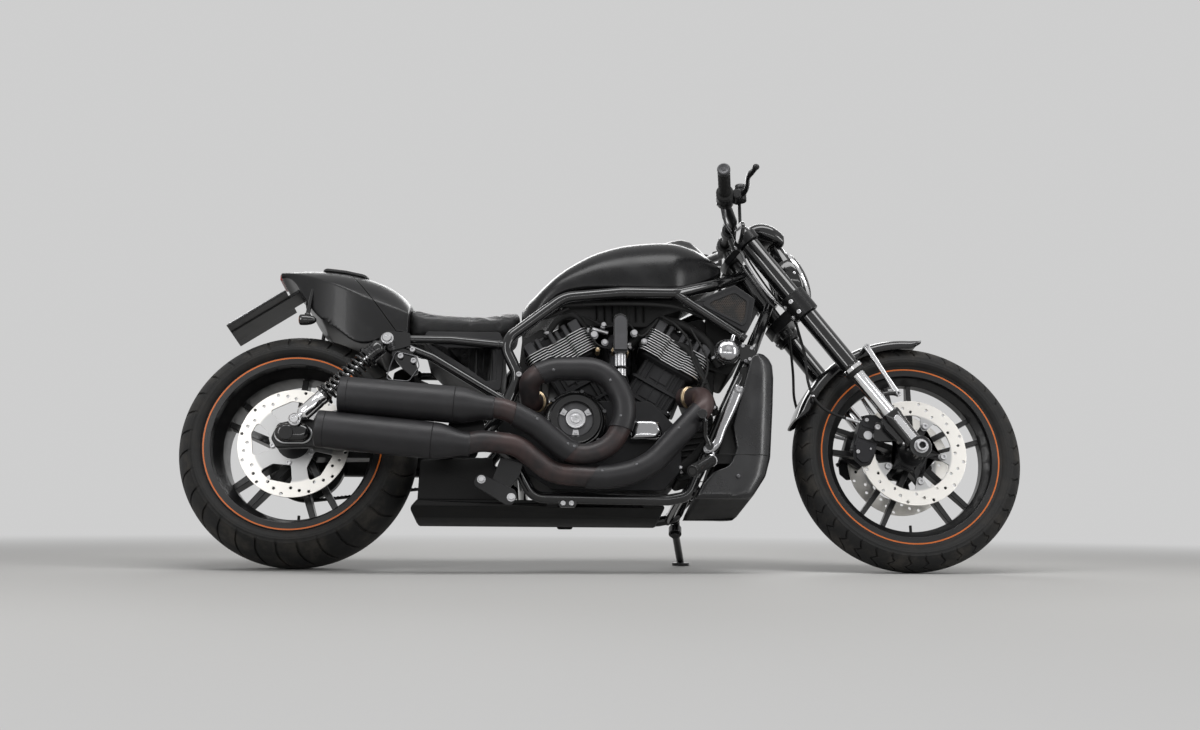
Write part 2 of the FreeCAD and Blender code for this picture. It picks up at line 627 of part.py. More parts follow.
def build_lamp():
    def shell(table):
        return loft([ellipse(LAMP_C + LAMP_N * a, LAMP_U, AXIS_Y, h, w) for a, h, w in table])

    housing = shell(LAMP_SECTIONS)
    stay = rod(ahead(309, 0, 745), ahead(309, 0, 815), 10).cut(nodes["lower_yoke"])
    nodes["headlamp"] = fuse([housing, stay])
    nodes["headlamp_lens"] = shell(LENS_SECTIONS)
    pod = loft([round_section(WHEELBASE - x, h, z0, z1, r) for x, h, z0, z1, r in POD_SECTIONS])
    prop = rod(ahead(447, 0, 938), ahead(409, 0, 990), 9).cut(nodes["upper_yoke"])
    nodes["instrument_pod"] = fuse([pod, prop])


# back from the front axle, half width, bottom, top, corner radius
POD_SECTIONS = [(443, 46, 984, 1004, 9), (415, 66, 975, 1018, 20), (375, 70, 962, 1014, 22),
                (333, 56, 955, 985, 13)]

# Frame and running gear

RAIL_POINTS = [ahead(454, -18, 866), at(1150, -120, 796), at(1034, -RAIL_Y, RAIL_Z), at(890, -RAIL_Y, RAIL_Z),
               at(727, -RAIL_Y, 734), at(560, -RAIL_Y, 600), at(606, -RAIL_Y, 505), at(560, -RAIL_Y, 395),
               at(504, -RAIL_Y, 325)]
RAIL_BENDS = [0, 60, 70, 120, 90, 50, 60, 60, 0]
DOWN_POINTS = [ahead(383, -24, 768), at(1255, 20 - DOWN_Y, 605), at(1145, -DOWN_Y, 373), at(1062, -DOWN_Y, 180),
               at(1010, -DOWN_Y, 170), at(648, -DOWN_Y, 174), at(598, -RAIL_Y, 268), at(508, -RAIL_Y, 341)]
DOWN_BENDS = [0, 60, 120, 40, 40, 50, 60, 0]
BRACE_POINTS = [at(1034, -RAIL_Y, RAIL_Z), at(1232, 4 - DOWN_Y, 628)]
SUB_UPPER = [at(566, -RAIL_Y, 592), at(420, -SUB_Y, 606), at(262, -SUB_Y, 606)]
SUB_LOWER = [at(572, -RAIL_Y, 432), at(371, -SUB_Y, 556), at(270, -SUB_Y, 596)]


def build_frame():
    hoop = at(HOOP_X, 0, HOOP_Z)
    sides = [tube(RAIL_POINTS, RAIL_R, RAIL_BENDS), tube(DOWN_POINTS, DOWN_R, DOWN_BENDS),
             rod(BRACE_POINTS[0], BRACE_POINTS[1], LOWER_R - 2),
             rod(at(727, -RAIL_Y, 734), at(727, 0, 734), LOWER_R - 3),
             rod(at(620, -DOWN_Y, 226), at(620, 0, 226), LOWER_R),
             rod(at(1040, -DOWN_Y, 174), at(1040, 0, 174), LOWER_R - 2),
             tube(SUB_UPPER, SUB_R, [0, 60, 0]), tube(SUB_LOWER, SUB_R, [0, 60, 0]),
             rod(hoop - AXIS_Y * (SUB_Y - 2), hoop, HOOP_R),
             panel([(228, 588), (258, 566), (312, 582), (312, 618), (252, 624), (232, 612)],
                   -(SHOCK_Y - 15 - RUN_GAP), 12 - SUB_Y, 10),
             panel([(1062, 196), (1078, 236), (1094, 226), (1080, 188)], 1 - DOWN_Y - DOWN_R, 1 - DOWN_Y, 4)]
    head = rod(steer_point(HEAD_Z0), steer_point(HEAD_Z1), HEAD_R)
    gusset = slab([station(1150, 800), (WHEELBASE - 455, 862), (WHEELBASE - 405, 772), (WHEELBASE - 443, 700)],
                  -7, 7, 10)
    half = fuse(sides)
    whole = fuse([half, mirrored(half), head, gusset])
    whole = whole.cut(rod(steer_point(HEAD_Z0 - 20), steer_point(HEAD_Z1 + 20), STEM_R + BEARING_GAP))
    nodes["frame"] = whole


def build_rear_gear():
    """Swingarm, shocks, axle, caliper and belt."""
    z = REAR_AXLE.z
    arm = panel([(-46, z - 6), (-30, z + 34), (40, z + 52), (120, z + 26), (400, z + 34), (530, z + 26),
                 (532, z - 26), (400, z - 30), (40, z - 30), (-30, z - 34)], -ARM_OUT, -ARM_IN, 14)
    cross = rod(at(412, -ARM_IN - 4, z), at(412, ARM_IN + 4, z), 29)
    whole = fuse([arm, mirrored(arm), cross])
    for x, half, r in ((0, ARM_OUT + 20, AXLE_R), (PIVOT_X, ARM_OUT + 20, PIVOT_R)):
        whole = whole.cut(rod(at(x, -half, z), at(x, half, z), r))
    nodes["swingarm"] = whole.cut(nodes["frame"])
    # shock absorbers: eye, damper, collars and top eye
    low, top = at(21, -SHOCK_Y, z + 35.3), at(253, -SHOCK_Y, 592)
    d = unit(top - low)
    length = (top - low).Length
    damper = fuse([rod(low - AXIS_Y * 15, low + AXIS_Y * 15, 17), rod(low + d * 26, low + d * 120, 20),
                   rod(low + d * 84, low + d * 92, SPRING_R + 3), rod(low, top, 11),
                   rod(top - d * 66, top - d * 28, 22), rod(top - d * 74, top - d * 66, SPRING_R + 3),
                   rod(top - AXIS_Y * 15, top + AXIS_Y * 15, 17)])
    bolts = [rod(p - AXIS_Y * 30, p + AXIS_Y * (SHOCK_Y - ARM_OUT + 30), 7 + BEARING_GAP)
             for p in (low, top)]
    nodes["shock_absorbers"] = pair(damper.cut(Part.makeCompound(bolts)))
    coil = ring(low + d * 92, top - d * 74, SPRING_R, SPRING_R - 7)
    grooves = [ring(low + d * s, low + d * (s + 6), SPRING_R + 2, SPRING_R - 4)
               for s in range(100, int(length) - 84, 13)]
    nodes["shock_springs"] = pair(coil.cut(Part.makeCompound(grooves)).cut(damper))
    heads = AXIS_Y * -(15 + RUN_GAP)
    bolt_low = fuse([rod(low + heads, V(low.x, -ARM_OUT, low.z), 7),
                     rod(low + heads, low + heads - AXIS_Y * 9, 13)])
    top_in = V(top.x, -(SHOCK_Y - 15 - RUN_GAP), top.z)
    bolt_top = fuse([rod(top + heads, top_in, 7), rod(top + heads, top + heads - AXIS_Y * 9, 13)])
    nodes["shock_bolts"] = pair(Part.makeCompound([bolt_low, bolt_top]))
    # axle with its end caps
    end = ARM_OUT + 34
    spool = rod(REAR_AXLE + AXIS_Y * ARM_OUT, REAR_AXLE + AXIS_Y * end, SPOOL_R)
    nodes["rear_axle"] = fuse([rod(REAR_AXLE - AXIS_Y * ARM_OUT, REAR_AXLE + AXIS_Y * ARM_OUT, AXLE_R),
                               spool, mirrored(spool)])
    body = caliper(REAR_AXLE, -REAR_DISC_Y, 22, 128, 96, 62, 24, DISC_T / 2 + 1.5)
    lug = slab([(96, z + 23), (152, z + 23), (150, z + 71), (100, z + 71)], -ARM_IN, -(REAR_DISC_Y + 20), 6)
    nodes["rear_caliper"] = fuse([body, lug])
    gear = at(SPROCKET_X, 0, PIVOT_Z + 8)
    a, b = V(REAR_AXLE.x, BELT_Y0 + 2, REAR_AXLE.z), V(gear.x, BELT_Y0 + 2, gear.z)
    nodes["drive_belt"] = belt_loop(a, PULLEY_R + RUN_GAP + BELT_T, b, SPROCKET_R + RUN_GAP + BELT_T).cut(
        belt_loop(a, PULLEY_R + RUN_GAP, b, SPROCKET_R + RUN_GAP))
    p0, p1 = gear + AXIS_Y * CASE_HALF, gear + AXIS_Y * BELT_Y1
    nodes["drive_sprocket"] = fuse([rod(gear + AXIS_Y * BELT_Y0, p1, SPROCKET_R), rod(p0, p1, 22)])


def belt_loop(a, ra, b, rb):
    """Solid between two belt wheels, as if the belt were a plate, with open tangent runs."""
    d = b - a
    gap = d.Length
    lift = math.asin((ra - rb) / gap)
    base = math.atan2(d.z, d.x)
    up, low = base + math.pi / 2 - lift, base - math.pi / 2 + lift

    def on(c, r, t):
        return V(c.x + r * math.cos(t), c.y, c.z + r * math.sin(t))

    wire = Part.Wire([arc3(on(a, ra, up), on(a, ra, base + math.pi), on(a, ra, low)),
                      line(on(a, ra, low), on(b, rb, low)),
                      arc3(on(b, rb, low), on(b, rb, base), on(b, rb, up)),
                      line(on(b, rb, up), on(a, ra, up))])
    return Part.Face(wire).extrude(AXIS_Y * (BELT_Y1 - BELT_Y0 - 4))


# Engine

def cylinder(sign):
    """Barrel, finned head and head cover of one cylinder, leaning forward or back."""
    def block(s0, s1, half_x, half_y, r):
        ps = [V(-half_x, -half_y, s0), V(half_x, -half_y, s0), V(half_x, half_y, s0), V(-half_x, half_y, s0)]
        return Part.Face(Part.Wire(rounded(ps, r, True))).extrude(V(0, 0, s1 - s0))

    parts = [Part.makeCylinder(52, 170, V(0, 0, 96)), block(150, 244, 60, 84, 20),
             block(240, 338, 80, HEAD_HALF_Y - 16, 18), block(334, 372, 88, HEAD_HALF_Y - 12, 22),
             block(372, 386, 70, HEAD_HALF_Y - 30, 22)]
    for k in range(FIN_COUNT):
        s = FIN_S0 + k * FIN_PITCH
        parts.append(block(s, s + FIN_T, 97, HEAD_HALF_Y, 26))
    shape = fuse(parts)
    shape.rotate(V(0, 0, 0), AXIS_Y, VEE_HALF * sign)
    shape.translate(at(CRANK_X, 0, CRANK_Z))
    return shape


def build_engine():
    case = panel([(648, 236), (700, 202), (1000, 202), (1052, 262), (1046, 372), (968, 452), (800, 452),
                  (672, 440), (566, 404), (552, 372), (556, 296), (596, 262)], -CASE_HALF, CASE_HALF, 24)
    case = case.cut(rod(at(PIVOT_X, -200, REAR_AXLE.z), at(PIVOT_X, 200, REAR_AXLE.z), 40))
    valley = panel([(820, 440), (940, 440), (905, 560), (855, 560)], -58, 58, 12)
    cyl = Part.makeCompound([cylinder(1), cylinder(-1)])
    nodes["crankcase"] = fuse([case, valley]).cut(cyl)
    nodes["cylinders"] = cyl
    skirt = COVER_Y - 22
    right = panel([(640, 300), (690, 262), (900, 262), (930, 300), (930, 400), (880, 448), (690, 448),
                   (636, 410)], -skirt, -CASE_HALF, 30)
    hub = at(760, 0, 382)
    step = AXIS_Y * -1
    dome = cone(hub + step * skirt, hub + step * COVER_Y, 92, 78)
    derby = fuse([ring(hub + step * COVER_Y, hub + step * (COVER_Y + 12), 70, 46),
                  rod(hub + step * COVER_Y, hub + step * (COVER_Y + 7), 47),
                  rod(hub + step * (COVER_Y + 7), hub + step * (COVER_Y + 15), 27)])
    left = panel([(664, 262), (700, 226), (960, 226), (1010, 300), (980, 400), (880, 446), (720, 446),
                  (664, 408)], CASE_HALF, COVER_Y - 14, 30)
    left_dome = cone(at(880, COVER_Y - 14, 330), at(880, COVER_Y + 4, 330), 104, 88)
    nodes["engine_covers"] = Part.makeCompound([fuse([right, dome, derby]), fuse([left, left_dome])])
    starter = panel([(904, 330), (990, 330), (1000, 356), (984, 391), (916, 391), (902, 360)],
                    8 - COVER_Y, -CASE_HALF, 12)
    nodes["starter_cover"] = starter.cut(nodes["engine_covers"])
    post_y = -(CASE_HALF + 30)
    low, high, elbow = at(883, post_y, 560), at(883, post_y, 692), at(883, post_y, 668)
    post = fuse([rod(low, high, 19), Part.makeSphere(19, high), rod(elbow, elbow + AXIS_Y * 50, 13),
                 rod(elbow + AXIS_Y * 50, at(883, 0, 640), 13)])
    nodes["coolant_post"] = post.cut(cyl)
    neck = tube([low, low - V(0, 0, 60), at(883, 2 - CASE_HALF, 440)], 15, [0, 30, 0])
    nodes["coolant_neck"] = neck.cut(nodes["engine_covers"]).cut(nodes["crankcase"]).cut(cyl)
    nodes["throttle_body"] = fuse([rod(at(880, 0, 556), at(880, 0, 700), 46),
                                   rod(at(880, -60, 640), at(880, 60, 640), 30)]).cut(
        Part.makeCompound([nodes["coolant_post"], nodes["crankcase"], cyl]))


# Exhaust

REAR_PIPE = [at(664, -96, 452), at(636, -150, 440), at(634, PIPE_Y + 6, 490), at(700, PIPE_Y, 512),
             at(838, PIPE_Y, 512), at(898, PIPE_Y, 400), at(846, PIPE_Y, 292), at(756, PIPE_Y, 276),
             at(652, PIPE_Y - 38, 346), at(560, MUFFLER_Y, 388), at(520, MUFFLER_Y, 384)]
REAR_BENDS = [0, 28, 34, 40, 66, 70, 66, 60, 60, 40, 0]
FRONT_PIPE = [at(1060, -96, 470), at(1104, -150, 458), at(1110, PIPE_Y + 12, 420), at(1040, PIPE_Y + 8, 342),
              at(948, PIPE_Y + 8, 240), at(840, PIPE_Y + 8, 217), at(700, PIPE_Y + 8, 226),
              at(604, PIPE_Y - 38, 292), at(510, MUFFLER_Y, 297), at(466, MUFFLER_Y, 284)]
FRONT_BENDS = [0, 30, 34, 60, 70, 80, 60, 50, 40, 0]
# heat shields: pipe, the run and the share of it where one starts, and the same where it ends
SHIELDS = [(0, 2, 0.5, 5, 0.5), (0, 7, 0.2, 8, 0.48), (1, 2, 0.6, 5, 0.32)]
SHIELD_UP = 3.6
UPPER_MUFFLER = (at(144, MUFFLER_Y, 416), at(545, MUFFLER_Y, 384))
LOWER_MUFFLER = (at(90, MUFFLER_Y, 324), at(486, MUFFLER_Y, 286))
CAN_LENGTH = 310.0
CAN_BAND_R = MUFFLER_R + 2.0


def muffler(rear, front):
    """Can with its outlet and end bands, then a cone down to the pipe."""
    d = unit(front - rear)
    can = fuse([rod(rear, rear + d * CAN_LENGTH, MUFFLER_R),
                cone(rear + d * CAN_LENGTH, front, MUFFLER_R, PIPE_R + 6),
                rod(rear + d * 4, rear + d * 22, CAN_BAND_R),
                rod(rear + d * (CAN_LENGTH - 14), rear + d * CAN_LENGTH, CAN_BAND_R)])
    outlet = rod(rear - d, rear + d * 60, MUFFLER_R - 12)
    core = fuse([can.cut(outlet), ring(rear + d * 6, rear + d * 61, 26, 20)])
    return core.cut(rod(front - d * 60, front + d, PIPE_R))


def shield(points, bends, first, first_share, last, last_share):
    """Sleeve over part of a pipe, from one point along its runs to another."""
    start = points[first] + (points[first + 1] - points[first]) * first_share
    end = points[last] + (points[last + 1] - points[last]) * last_share
    inner = slice(first + 1, last + 1)
    return tube([start] + points[inner] + [end], PIPE_R + SHIELD_UP, [0] + bends[inner] + [0])


def build_exhaust():
    mufflers = [muffler(*UPPER_MUFFLER), muffler(*LOWER_MUFFLER)]
    nodes["mufflers"] = Part.makeCompound(mufflers)
    pipes = [tube(REAR_PIPE, PIPE_R, REAR_BENDS), tube(FRONT_PIPE, PIPE_R, FRONT_BENDS)]
    for which, *ends in SHIELDS:
        points, bends = ((REAR_PIPE, REAR_BENDS), (FRONT_PIPE, FRONT_BENDS))[which]
        pipes[which] = fuse([pipes[which], shield(points, bends, *ends)])
    block = Part.makeCompound([nodes["cylinders"], nodes["crankcase"], nodes["mufflers"], nodes["frame"],
                               nodes["engine_covers"], nodes["starter_cover"]])
    pipes = [p.cut(block) for p in pipes]
    nodes["header_pipes"] = Part.makeCompound([max(p.Solids, key=lambda q: q.Volume) for p in pipes])
    face = MUFFLER_Y + MUFFLER_R
    plate = panel([(432, 262), (498, 262), (520, 330), (512, 424), (436, 424), (420, 330)], face, face + 8, 14)
    posts = [rod(at(x, face + 4, z), at(x, -(RAIL_Y + 14), z), 9) for x, z in ((498, 330), (492, 360))]
    arm = panel([(538, 192), (562, 262), (624, 256), (612, 214), (582, 174)], face - 4, face + 4, 8)
    foot = panel([(494, 196), (506, 222), (602, 176), (608, 158), (594, 134), (576, 138), (500, 184)],
                 face - 9, face - 4, 14)
    hanger = rod(at(606, face, 246), at(606, 4 - RAIL_Y, 253), 8)
    cutters = Part.makeCompound([nodes["mufflers"], nodes["header_pipes"], nodes["frame"]])
    brackets = [fuse([plate] + posts).cut(cutters), fuse([arm, foot, hanger]).cut(cutters)]
    nodes["exhaust_bracket"] = Part.makeCompound([max(b.Solids, key=lambda q: q.Volume) for b in brackets])


# Bodywork

# station, half width, base, side shoulder, top, tuck of the base
TANK_SECTIONS = [(612, 96, 676, 690, 748, 10), (663, 128, 715, 732, 793, 8), (735, 152, 768, 786, 858, 4),
                 (819, 165, TANK_BASE, 806, 910, 2), (903, 167, TANK_BASE, 812, 938, 2),
                 (1024, 162, TANK_BASE, 822, 950, 2),
                 (1100, 122, 800, 838, 938, 2), (1178, 84, 846, 858, 884, 2)]
CREST_SECTIONS = [(1000, 20, 930, 936, 950), (1050, 40, 926, 938, 972), (1080, 46, 916, 930, 976),
                  (1122, 44, 900, 910, 944)]
# station, half width, base, top
SEAT_SECTIONS = [(300.3, 116, 640, 744), (340, 128, 640, 726), (420, 138, 640, 716), (500, 130, 640, 716),
                 (560, 112, 650, 728), (600, 96, 676, 742)]
# station, half width, base, side shoulder, top
TAIL_SECTIONS = [(-70, 78, 816, 828, 846), (-6, 108, 764, 812, 852), (52, 132, 682, 790, 852),
                 (108, 146, 640, 768, 846), (165, 152, 604, 740, 834), (237, 150, 620, 712, 806),
                 (300, 146, 626, 690, 748)]
PLATE_TOP, PLATE_FOOT = at(-12, 0, 793), at(-204, 0, 661)
LAMP_Z0, LAMP_Z1 = 820.0, 836.0
RIB_COUNT, RIB_PITCH, RIB_T = 9, 20.0, 7.0


def sections(table, tuck=None):
    """Domed solid through a table of stations."""
    rows = [row if tuck is None else row + (tuck,) for row in table]
    return loft([dome_section(x * STRETCH, *rest) for x, *rest in rows])


def build_body():
    tank = sections(TANK_SECTIONS)
    crest = sections(CREST_SECTIONS, 0)
    nodes["tank_cover"] = fuse([tank, crest]).cut(nodes["frame"])
    seat = sections([(x, h, zb, zt - 42, zt) for x, h, zb, zt in SEAT_SECTIONS], 12)
    nodes["seat"] = seat.cut(nodes["tank_cover"]).cut(nodes["frame"])
    tail = sections(TAIL_SECTIONS, 4)
    side = REAR_HALF + 14
    arch = rod(REAR_AXLE - AXIS_Y * side, REAR_AXLE + AXIS_Y * side, ARCH_R)
    hoop = rod(at(HOOP_X, -SUB_Y, HOOP_Z), at(HOOP_X, SUB_Y, HOOP_Z), HOOP_R + RUN_GAP)
    nodes["tail_cowl"] = tail.cut(arch).cut(hoop).cut(nodes["frame"])
    # plate carrier slopes back and down from the tail
    d = unit(PLATE_FOOT - PLATE_TOP)
    n = V(d.z, 0, -d.x)

    def board(a, b, low, high, half):
        ps = [PLATE_TOP + d * run + n * off for run, off in ((a, low), (b, low), (b, high), (a, high))]
        return slab([(q.x, q.z) for q in ps], -half, half)

    span = (PLATE_FOOT - PLATE_TOP).Length
    holder = fuse([board(0, span, 0, 9, 40), board(44, span, 3, 9, PLATE_HALF + 5)])
    nodes["plate_holder"] = holder.cut(nodes["tail_cowl"])
    nodes["number_plate"] = board(46, span - 2, 9, 11, PLATE_HALF).cut(nodes["tail_cowl"])
    lamps = []
    for side in (-1, 1):
        c = at(20, 128 * side, 672)
        pod = fuse([cone(c - V(22, 0, 0), c + V(14, 0, 0), 15, 13), Part.makeSphere(13, c + V(14, 0, 0)),
                    rod(c, c + V(8, -6 * side, 90), 6)])
        lamps.append(pod.cut(nodes["tail_cowl"]))
    nodes["rear_indicators"] = Part.makeCompound(lamps)
    tail_end = TAIL_SECTIONS[0][0] * STRETCH
    nodes["tail_lamp"] = box(tail_end - 8, tail_end, -46, 46, LAMP_Z0, LAMP_Z1)
    # panels between the rear frame tubes, ribbed on their faces
    half = RAIL_Y - 26
    cell = panel([(338, 612), (352, 639.5), (552, 639.5), (566, 600), (556, 470), (516, 478), (392, 556)],
                 -half, half, 10)
    slots = []
    for k in range(RIB_COUNT):
        x = at(372 + k * RIB_PITCH, 0, 0).x
        slots += [box(x, x + RIB_PITCH - RIB_T, y0, y1, 500, 592)
                  for y0, y1 in ((-half - 1, 4 - half), (half - 4, half + 1))]
    skin = panel([(392, 588), (404, 594), (540, 594), (546, 500), (524, 494)], -half - 1, half + 1, 8)
    cell = cell.cut(Part.makeCompound(slots).common(skin))
    nodes["side_panels"] = cell.cut(nodes["frame"]).cut(nodes["seat"])
    scoop = panel([(1078, 730), (1205, 786), (1262, 745), (1247, 668), (1232, 643)], 10 - RAIL_Y, 52 - RAIL_Y, 8)
    brace = rod(BRACE_POINTS[0], BRACE_POINTS[1], LOWER_R - 2 + RUN_GAP)
    scoop = scoop.cut(nodes["frame"]).cut(brace)
    nodes["side_scoops"] = pair(max(scoop.Solids, key=lambda q: q.Volume))
    half = DOWN_Y - 40
    pan = panel([(318, 152), (338, 176), (980, 176), (1006, 160), (990, PAN_FLOOR), (330, PAN_FLOOR)],
                -half, half, 8)
    slope = [V(0, y, z) for y, z in ((half + 1, 158), (half + 1, PAN_FLOOR - 1), (PAN_KEEL, PAN_FLOOR - 1))]
    chine = Part.Face(Part.makePolygon(slope + slope[:1])).extrude(at(1100, 0, 0))
    pan = pan.cut(chine).cut(mirrored(chine))
    box_up = panel([(337, 170), (341, 288), (538, 296), (550, 252), (606, 174)], 14 - half, half - 14, 10)
    rail = rod(DOWN_POINTS[4], DOWN_POINTS[5], DOWN_R + RUN_GAP)
    rail.Placement = FreeCAD.Placement(V(0, 2 * DOWN_Y, 0), FreeCAD.Rotation()).multiply(rail.Placement)
    tabs = []
    for x in (700, 960):
        c = at(x, 0, 0).x
        tab = box(c - 14, c + 14, half - 14, DOWN_Y, 160, 176).cut(rail)
        tabs.append(max(tab.Solids, key=lambda q: q.Volume))
    pan = fuse([pan, box_up] + tabs + [mirrored(t) for t in tabs])
    nodes["belly_pan"] = pan.cut(nodes["frame"]).cut(nodes["crankcase"])


SHROUD_OUTLINE = [(1242, 572), (1278, 590), (1307, 560), (1309, 520), (1290, 292), (1276, 240), (1236, 180),
                  (1140, 176), (1080, 174), (1100, 214), (1129, 246), (1169, 259), (1195, 312), (1181, 373)]
SHROUD_ROUND = [20, 26, 20, 40, 60, 50, 16, 12, 10, 20, 20, 20, 20, 30]
SHROUD_FLOOR = 198.0
SHROUD_NOSE = 26.0         # how far the cheeks draw in at the front


def build_front_body():
    in_y = SHROUD_HALF - SHROUD_T
    core = panel([(1216, 545), (1262, 545), (1246, 270), (1136, 270), (1172, 372)], -in_y, in_y, 8)
    core = core.cut(nodes["frame"])
    nodes["radiator"] = max(core.Solids, key=lambda q: q.Volume)
    whole = panel(SHROUD_OUTLINE, -SHROUD_HALF, SHROUD_HALF, SHROUD_ROUND)
    plan = [at(x, y, 0) for x, y in ((1000, SHROUD_HALF + 1), (1226, SHROUD_HALF + 1),
                                     (1318, SHROUD_HALF - SHROUD_NOSE))]
    plan += [V(q.x, -q.y, 0) for q in reversed(plan)]
    trim = Part.Face(Part.makePolygon(plan + [plan[0]])).extrude(V(0, 0, 700))
    inside = panel([(1000, SHROUD_FLOOR + 10), (1120, SHROUD_FLOOR), (1200, SHROUD_FLOOR + 10),
                    (1240, SHROUD_FLOOR + 56), (1262, 300), (1262, 440), (1340, 470), (1340, 700), (1000, 700)],
                   -in_y, in_y)
    mouth = panel([(1200, 300), (1340, 300), (1340, 700), (1200, 700)], 34 - in_y, in_y - 34)
    nodes["radiator_shroud"] = whole.common(trim).cut(inside).cut(mouth).cut(nodes["frame"]).cut(
        nodes["radiator"])
    face = at(1179, -(DOWN_Y + 22), 589)
    horn = fuse([rod(face, face + AXIS_Y * 40, 35), rod(face - AXIS_Y * 8, face, 22),
                 rod(at(1184, 4 - DOWN_Y, 600), at(1204, -DOWN_Y, 650), 8)])
    nodes["horn"] = horn.cut(nodes["frame"])
    # foot controls: arm on the down tube, peg and pedal
    y0, y1 = -CONTROL_Y, -(CONTROL_Y + 14)
    arm = panel([(1186, 488), (1226, 480), (1154, 338), (1146, 286), (1112, 272), (1096, 300), (1112, 340)],
                y1, y0, 14)
    bosses = [rod(at(1198, y0 - 6, 466), at(1198, 10 - DOWN_Y, 466), 11),
              rod(at(1112, y0 - 6, 300), at(1112, 4 - DOWN_Y, 300), 11)]
    cutter = Part.makeCompound([nodes["frame"], nodes["radiator_shroud"], nodes["radiator"]])
    nodes["control_arms"] = pair(fuse([arm] + bosses).cut(cutter))
    peg = fuse([rod(at(1128, y1, 282), at(1118, y1 - 34, 262), 12),
                rod(at(1118, y1 - 34, 262), at(1052, y1 - 146, 206), 15)])
    pedal = fuse([rod(at(1116, y1, 306), at(1116, y1 - 20, 306), 11),
                  tube([at(1116, y1 - 14, 306), at(1104, y1 - 20, 335), at(1100, y1 - 56, 366),
                        at(1088, y1 - 96, 372)], 7, [0, 12, 12, 0]),
                  rod(at(1088, y1 - 58, 372), at(1088, y1 - 98, 372), 13)])
    cutter = Part.makeCompound([nodes["header_pipes"], nodes["control_arms"]])
    nodes["foot_controls"] = pair(fuse([peg, pedal]).cut(cutter))


STAND_PIVOT = at(1064, DOWN_Y + 46, 150)
STAND_FOOT = at(1094, STAND_FOOT_Y, floor_z(STAND_FOOT_Y))
STAND_AXIS = V(0.07, 0.483, 0.873).normalize()
STAND_BOSS = at(1082, DOWN_Y, 226)     # where the bracket meets the down tube
STAND_HUB_HALF = 12.0


def build_stand():
    up = V(0, -math.sin(math.radians(LEAN)), math.cos(math.radians(LEAN)))
    axis = STAND_AXIS
    shape = fuse([rod(STAND_FOOT, STAND_FOOT + up * 9, 26), rod(STAND_FOOT + up * 6, STAND_PIVOT, 11),
                  rod(STAND_PIVOT - axis * STAND_HUB_HALF, STAND_PIVOT + axis * STAND_HUB_HALF, 19)])
    hole = rod(STAND_PIVOT - axis * 40, STAND_PIVOT + axis * 40, 7 + BEARING_GAP)
    nodes["side_stand"] = shape.cut(hole)
    top = STAND_PIVOT + axis * (STAND_HUB_HALF + 14)
    pin = fuse([rod(STAND_PIVOT - axis * (STAND_HUB_HALF + 8), top + axis * 8, 7),
                rod(STAND_PIVOT - axis * (STAND_HUB_HALF + 8), STAND_PIVOT - axis * (STAND_HUB_HALF + 2), 12),
                rod(top - axis * 6, top + axis * 8, 14), rod(top, STAND_BOSS, 9)])
    nodes["stand_bracket"] = pin.cut(nodes["frame"])


def main():
    build_wheels()
    build_fork()
    build_front_details()
    build_bars()
    build_lamp()
    build_frame()
    build_rear_gear()
    build_engine()
    build_exhaust()
    build_body()
    build_front_body()
    build_stand()
    for shape in nodes.values():
        shape.rotate(V(0, 0, 0), V(1, 0, 0), -LEAN)
    hull = Part.makeCompound(list(nodes.values())).BoundBox
    middle = V((hull.XMin + hull.XMax) / 2, (hull.YMin + hull.YMax) / 2, 0)
    for name, shape in nodes.items():
        shape.translate(-middle)
        shape.exportStep(f"parts/{name}.step")
    return middle


MIDDLE = main()
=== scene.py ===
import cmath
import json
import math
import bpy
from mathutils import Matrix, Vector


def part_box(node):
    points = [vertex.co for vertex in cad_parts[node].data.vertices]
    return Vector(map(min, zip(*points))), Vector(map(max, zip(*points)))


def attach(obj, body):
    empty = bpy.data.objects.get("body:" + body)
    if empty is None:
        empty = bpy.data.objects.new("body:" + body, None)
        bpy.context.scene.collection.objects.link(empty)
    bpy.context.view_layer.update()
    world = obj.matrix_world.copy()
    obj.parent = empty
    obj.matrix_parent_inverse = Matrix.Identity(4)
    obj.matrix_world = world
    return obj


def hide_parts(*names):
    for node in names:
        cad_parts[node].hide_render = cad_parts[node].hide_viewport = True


bl_info = {
    "name": "Cruiser Motorcycle Dressing",
    "version": (1, 0, 0),
    "blender": (4, 5, 0),
    "location": "3D View > Sidebar > Motorcycle",
    "description": "Gives the packed motorcycle its tyres, trim, finishes and studio",
    "category": "Object",
}

import bmesh
import bpy
import numpy as np
from mathutils import Matrix, Vector

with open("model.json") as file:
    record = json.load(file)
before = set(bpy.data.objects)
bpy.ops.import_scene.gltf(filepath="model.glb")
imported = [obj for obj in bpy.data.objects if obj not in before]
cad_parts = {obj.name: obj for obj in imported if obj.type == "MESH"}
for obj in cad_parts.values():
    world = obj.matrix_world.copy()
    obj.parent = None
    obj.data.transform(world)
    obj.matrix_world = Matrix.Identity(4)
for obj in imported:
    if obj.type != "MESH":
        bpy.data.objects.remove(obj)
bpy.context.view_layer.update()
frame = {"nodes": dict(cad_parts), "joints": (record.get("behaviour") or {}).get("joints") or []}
NODES = frame["nodes"]
JOINTS = {joint["name"]: joint for joint in frame["joints"]}

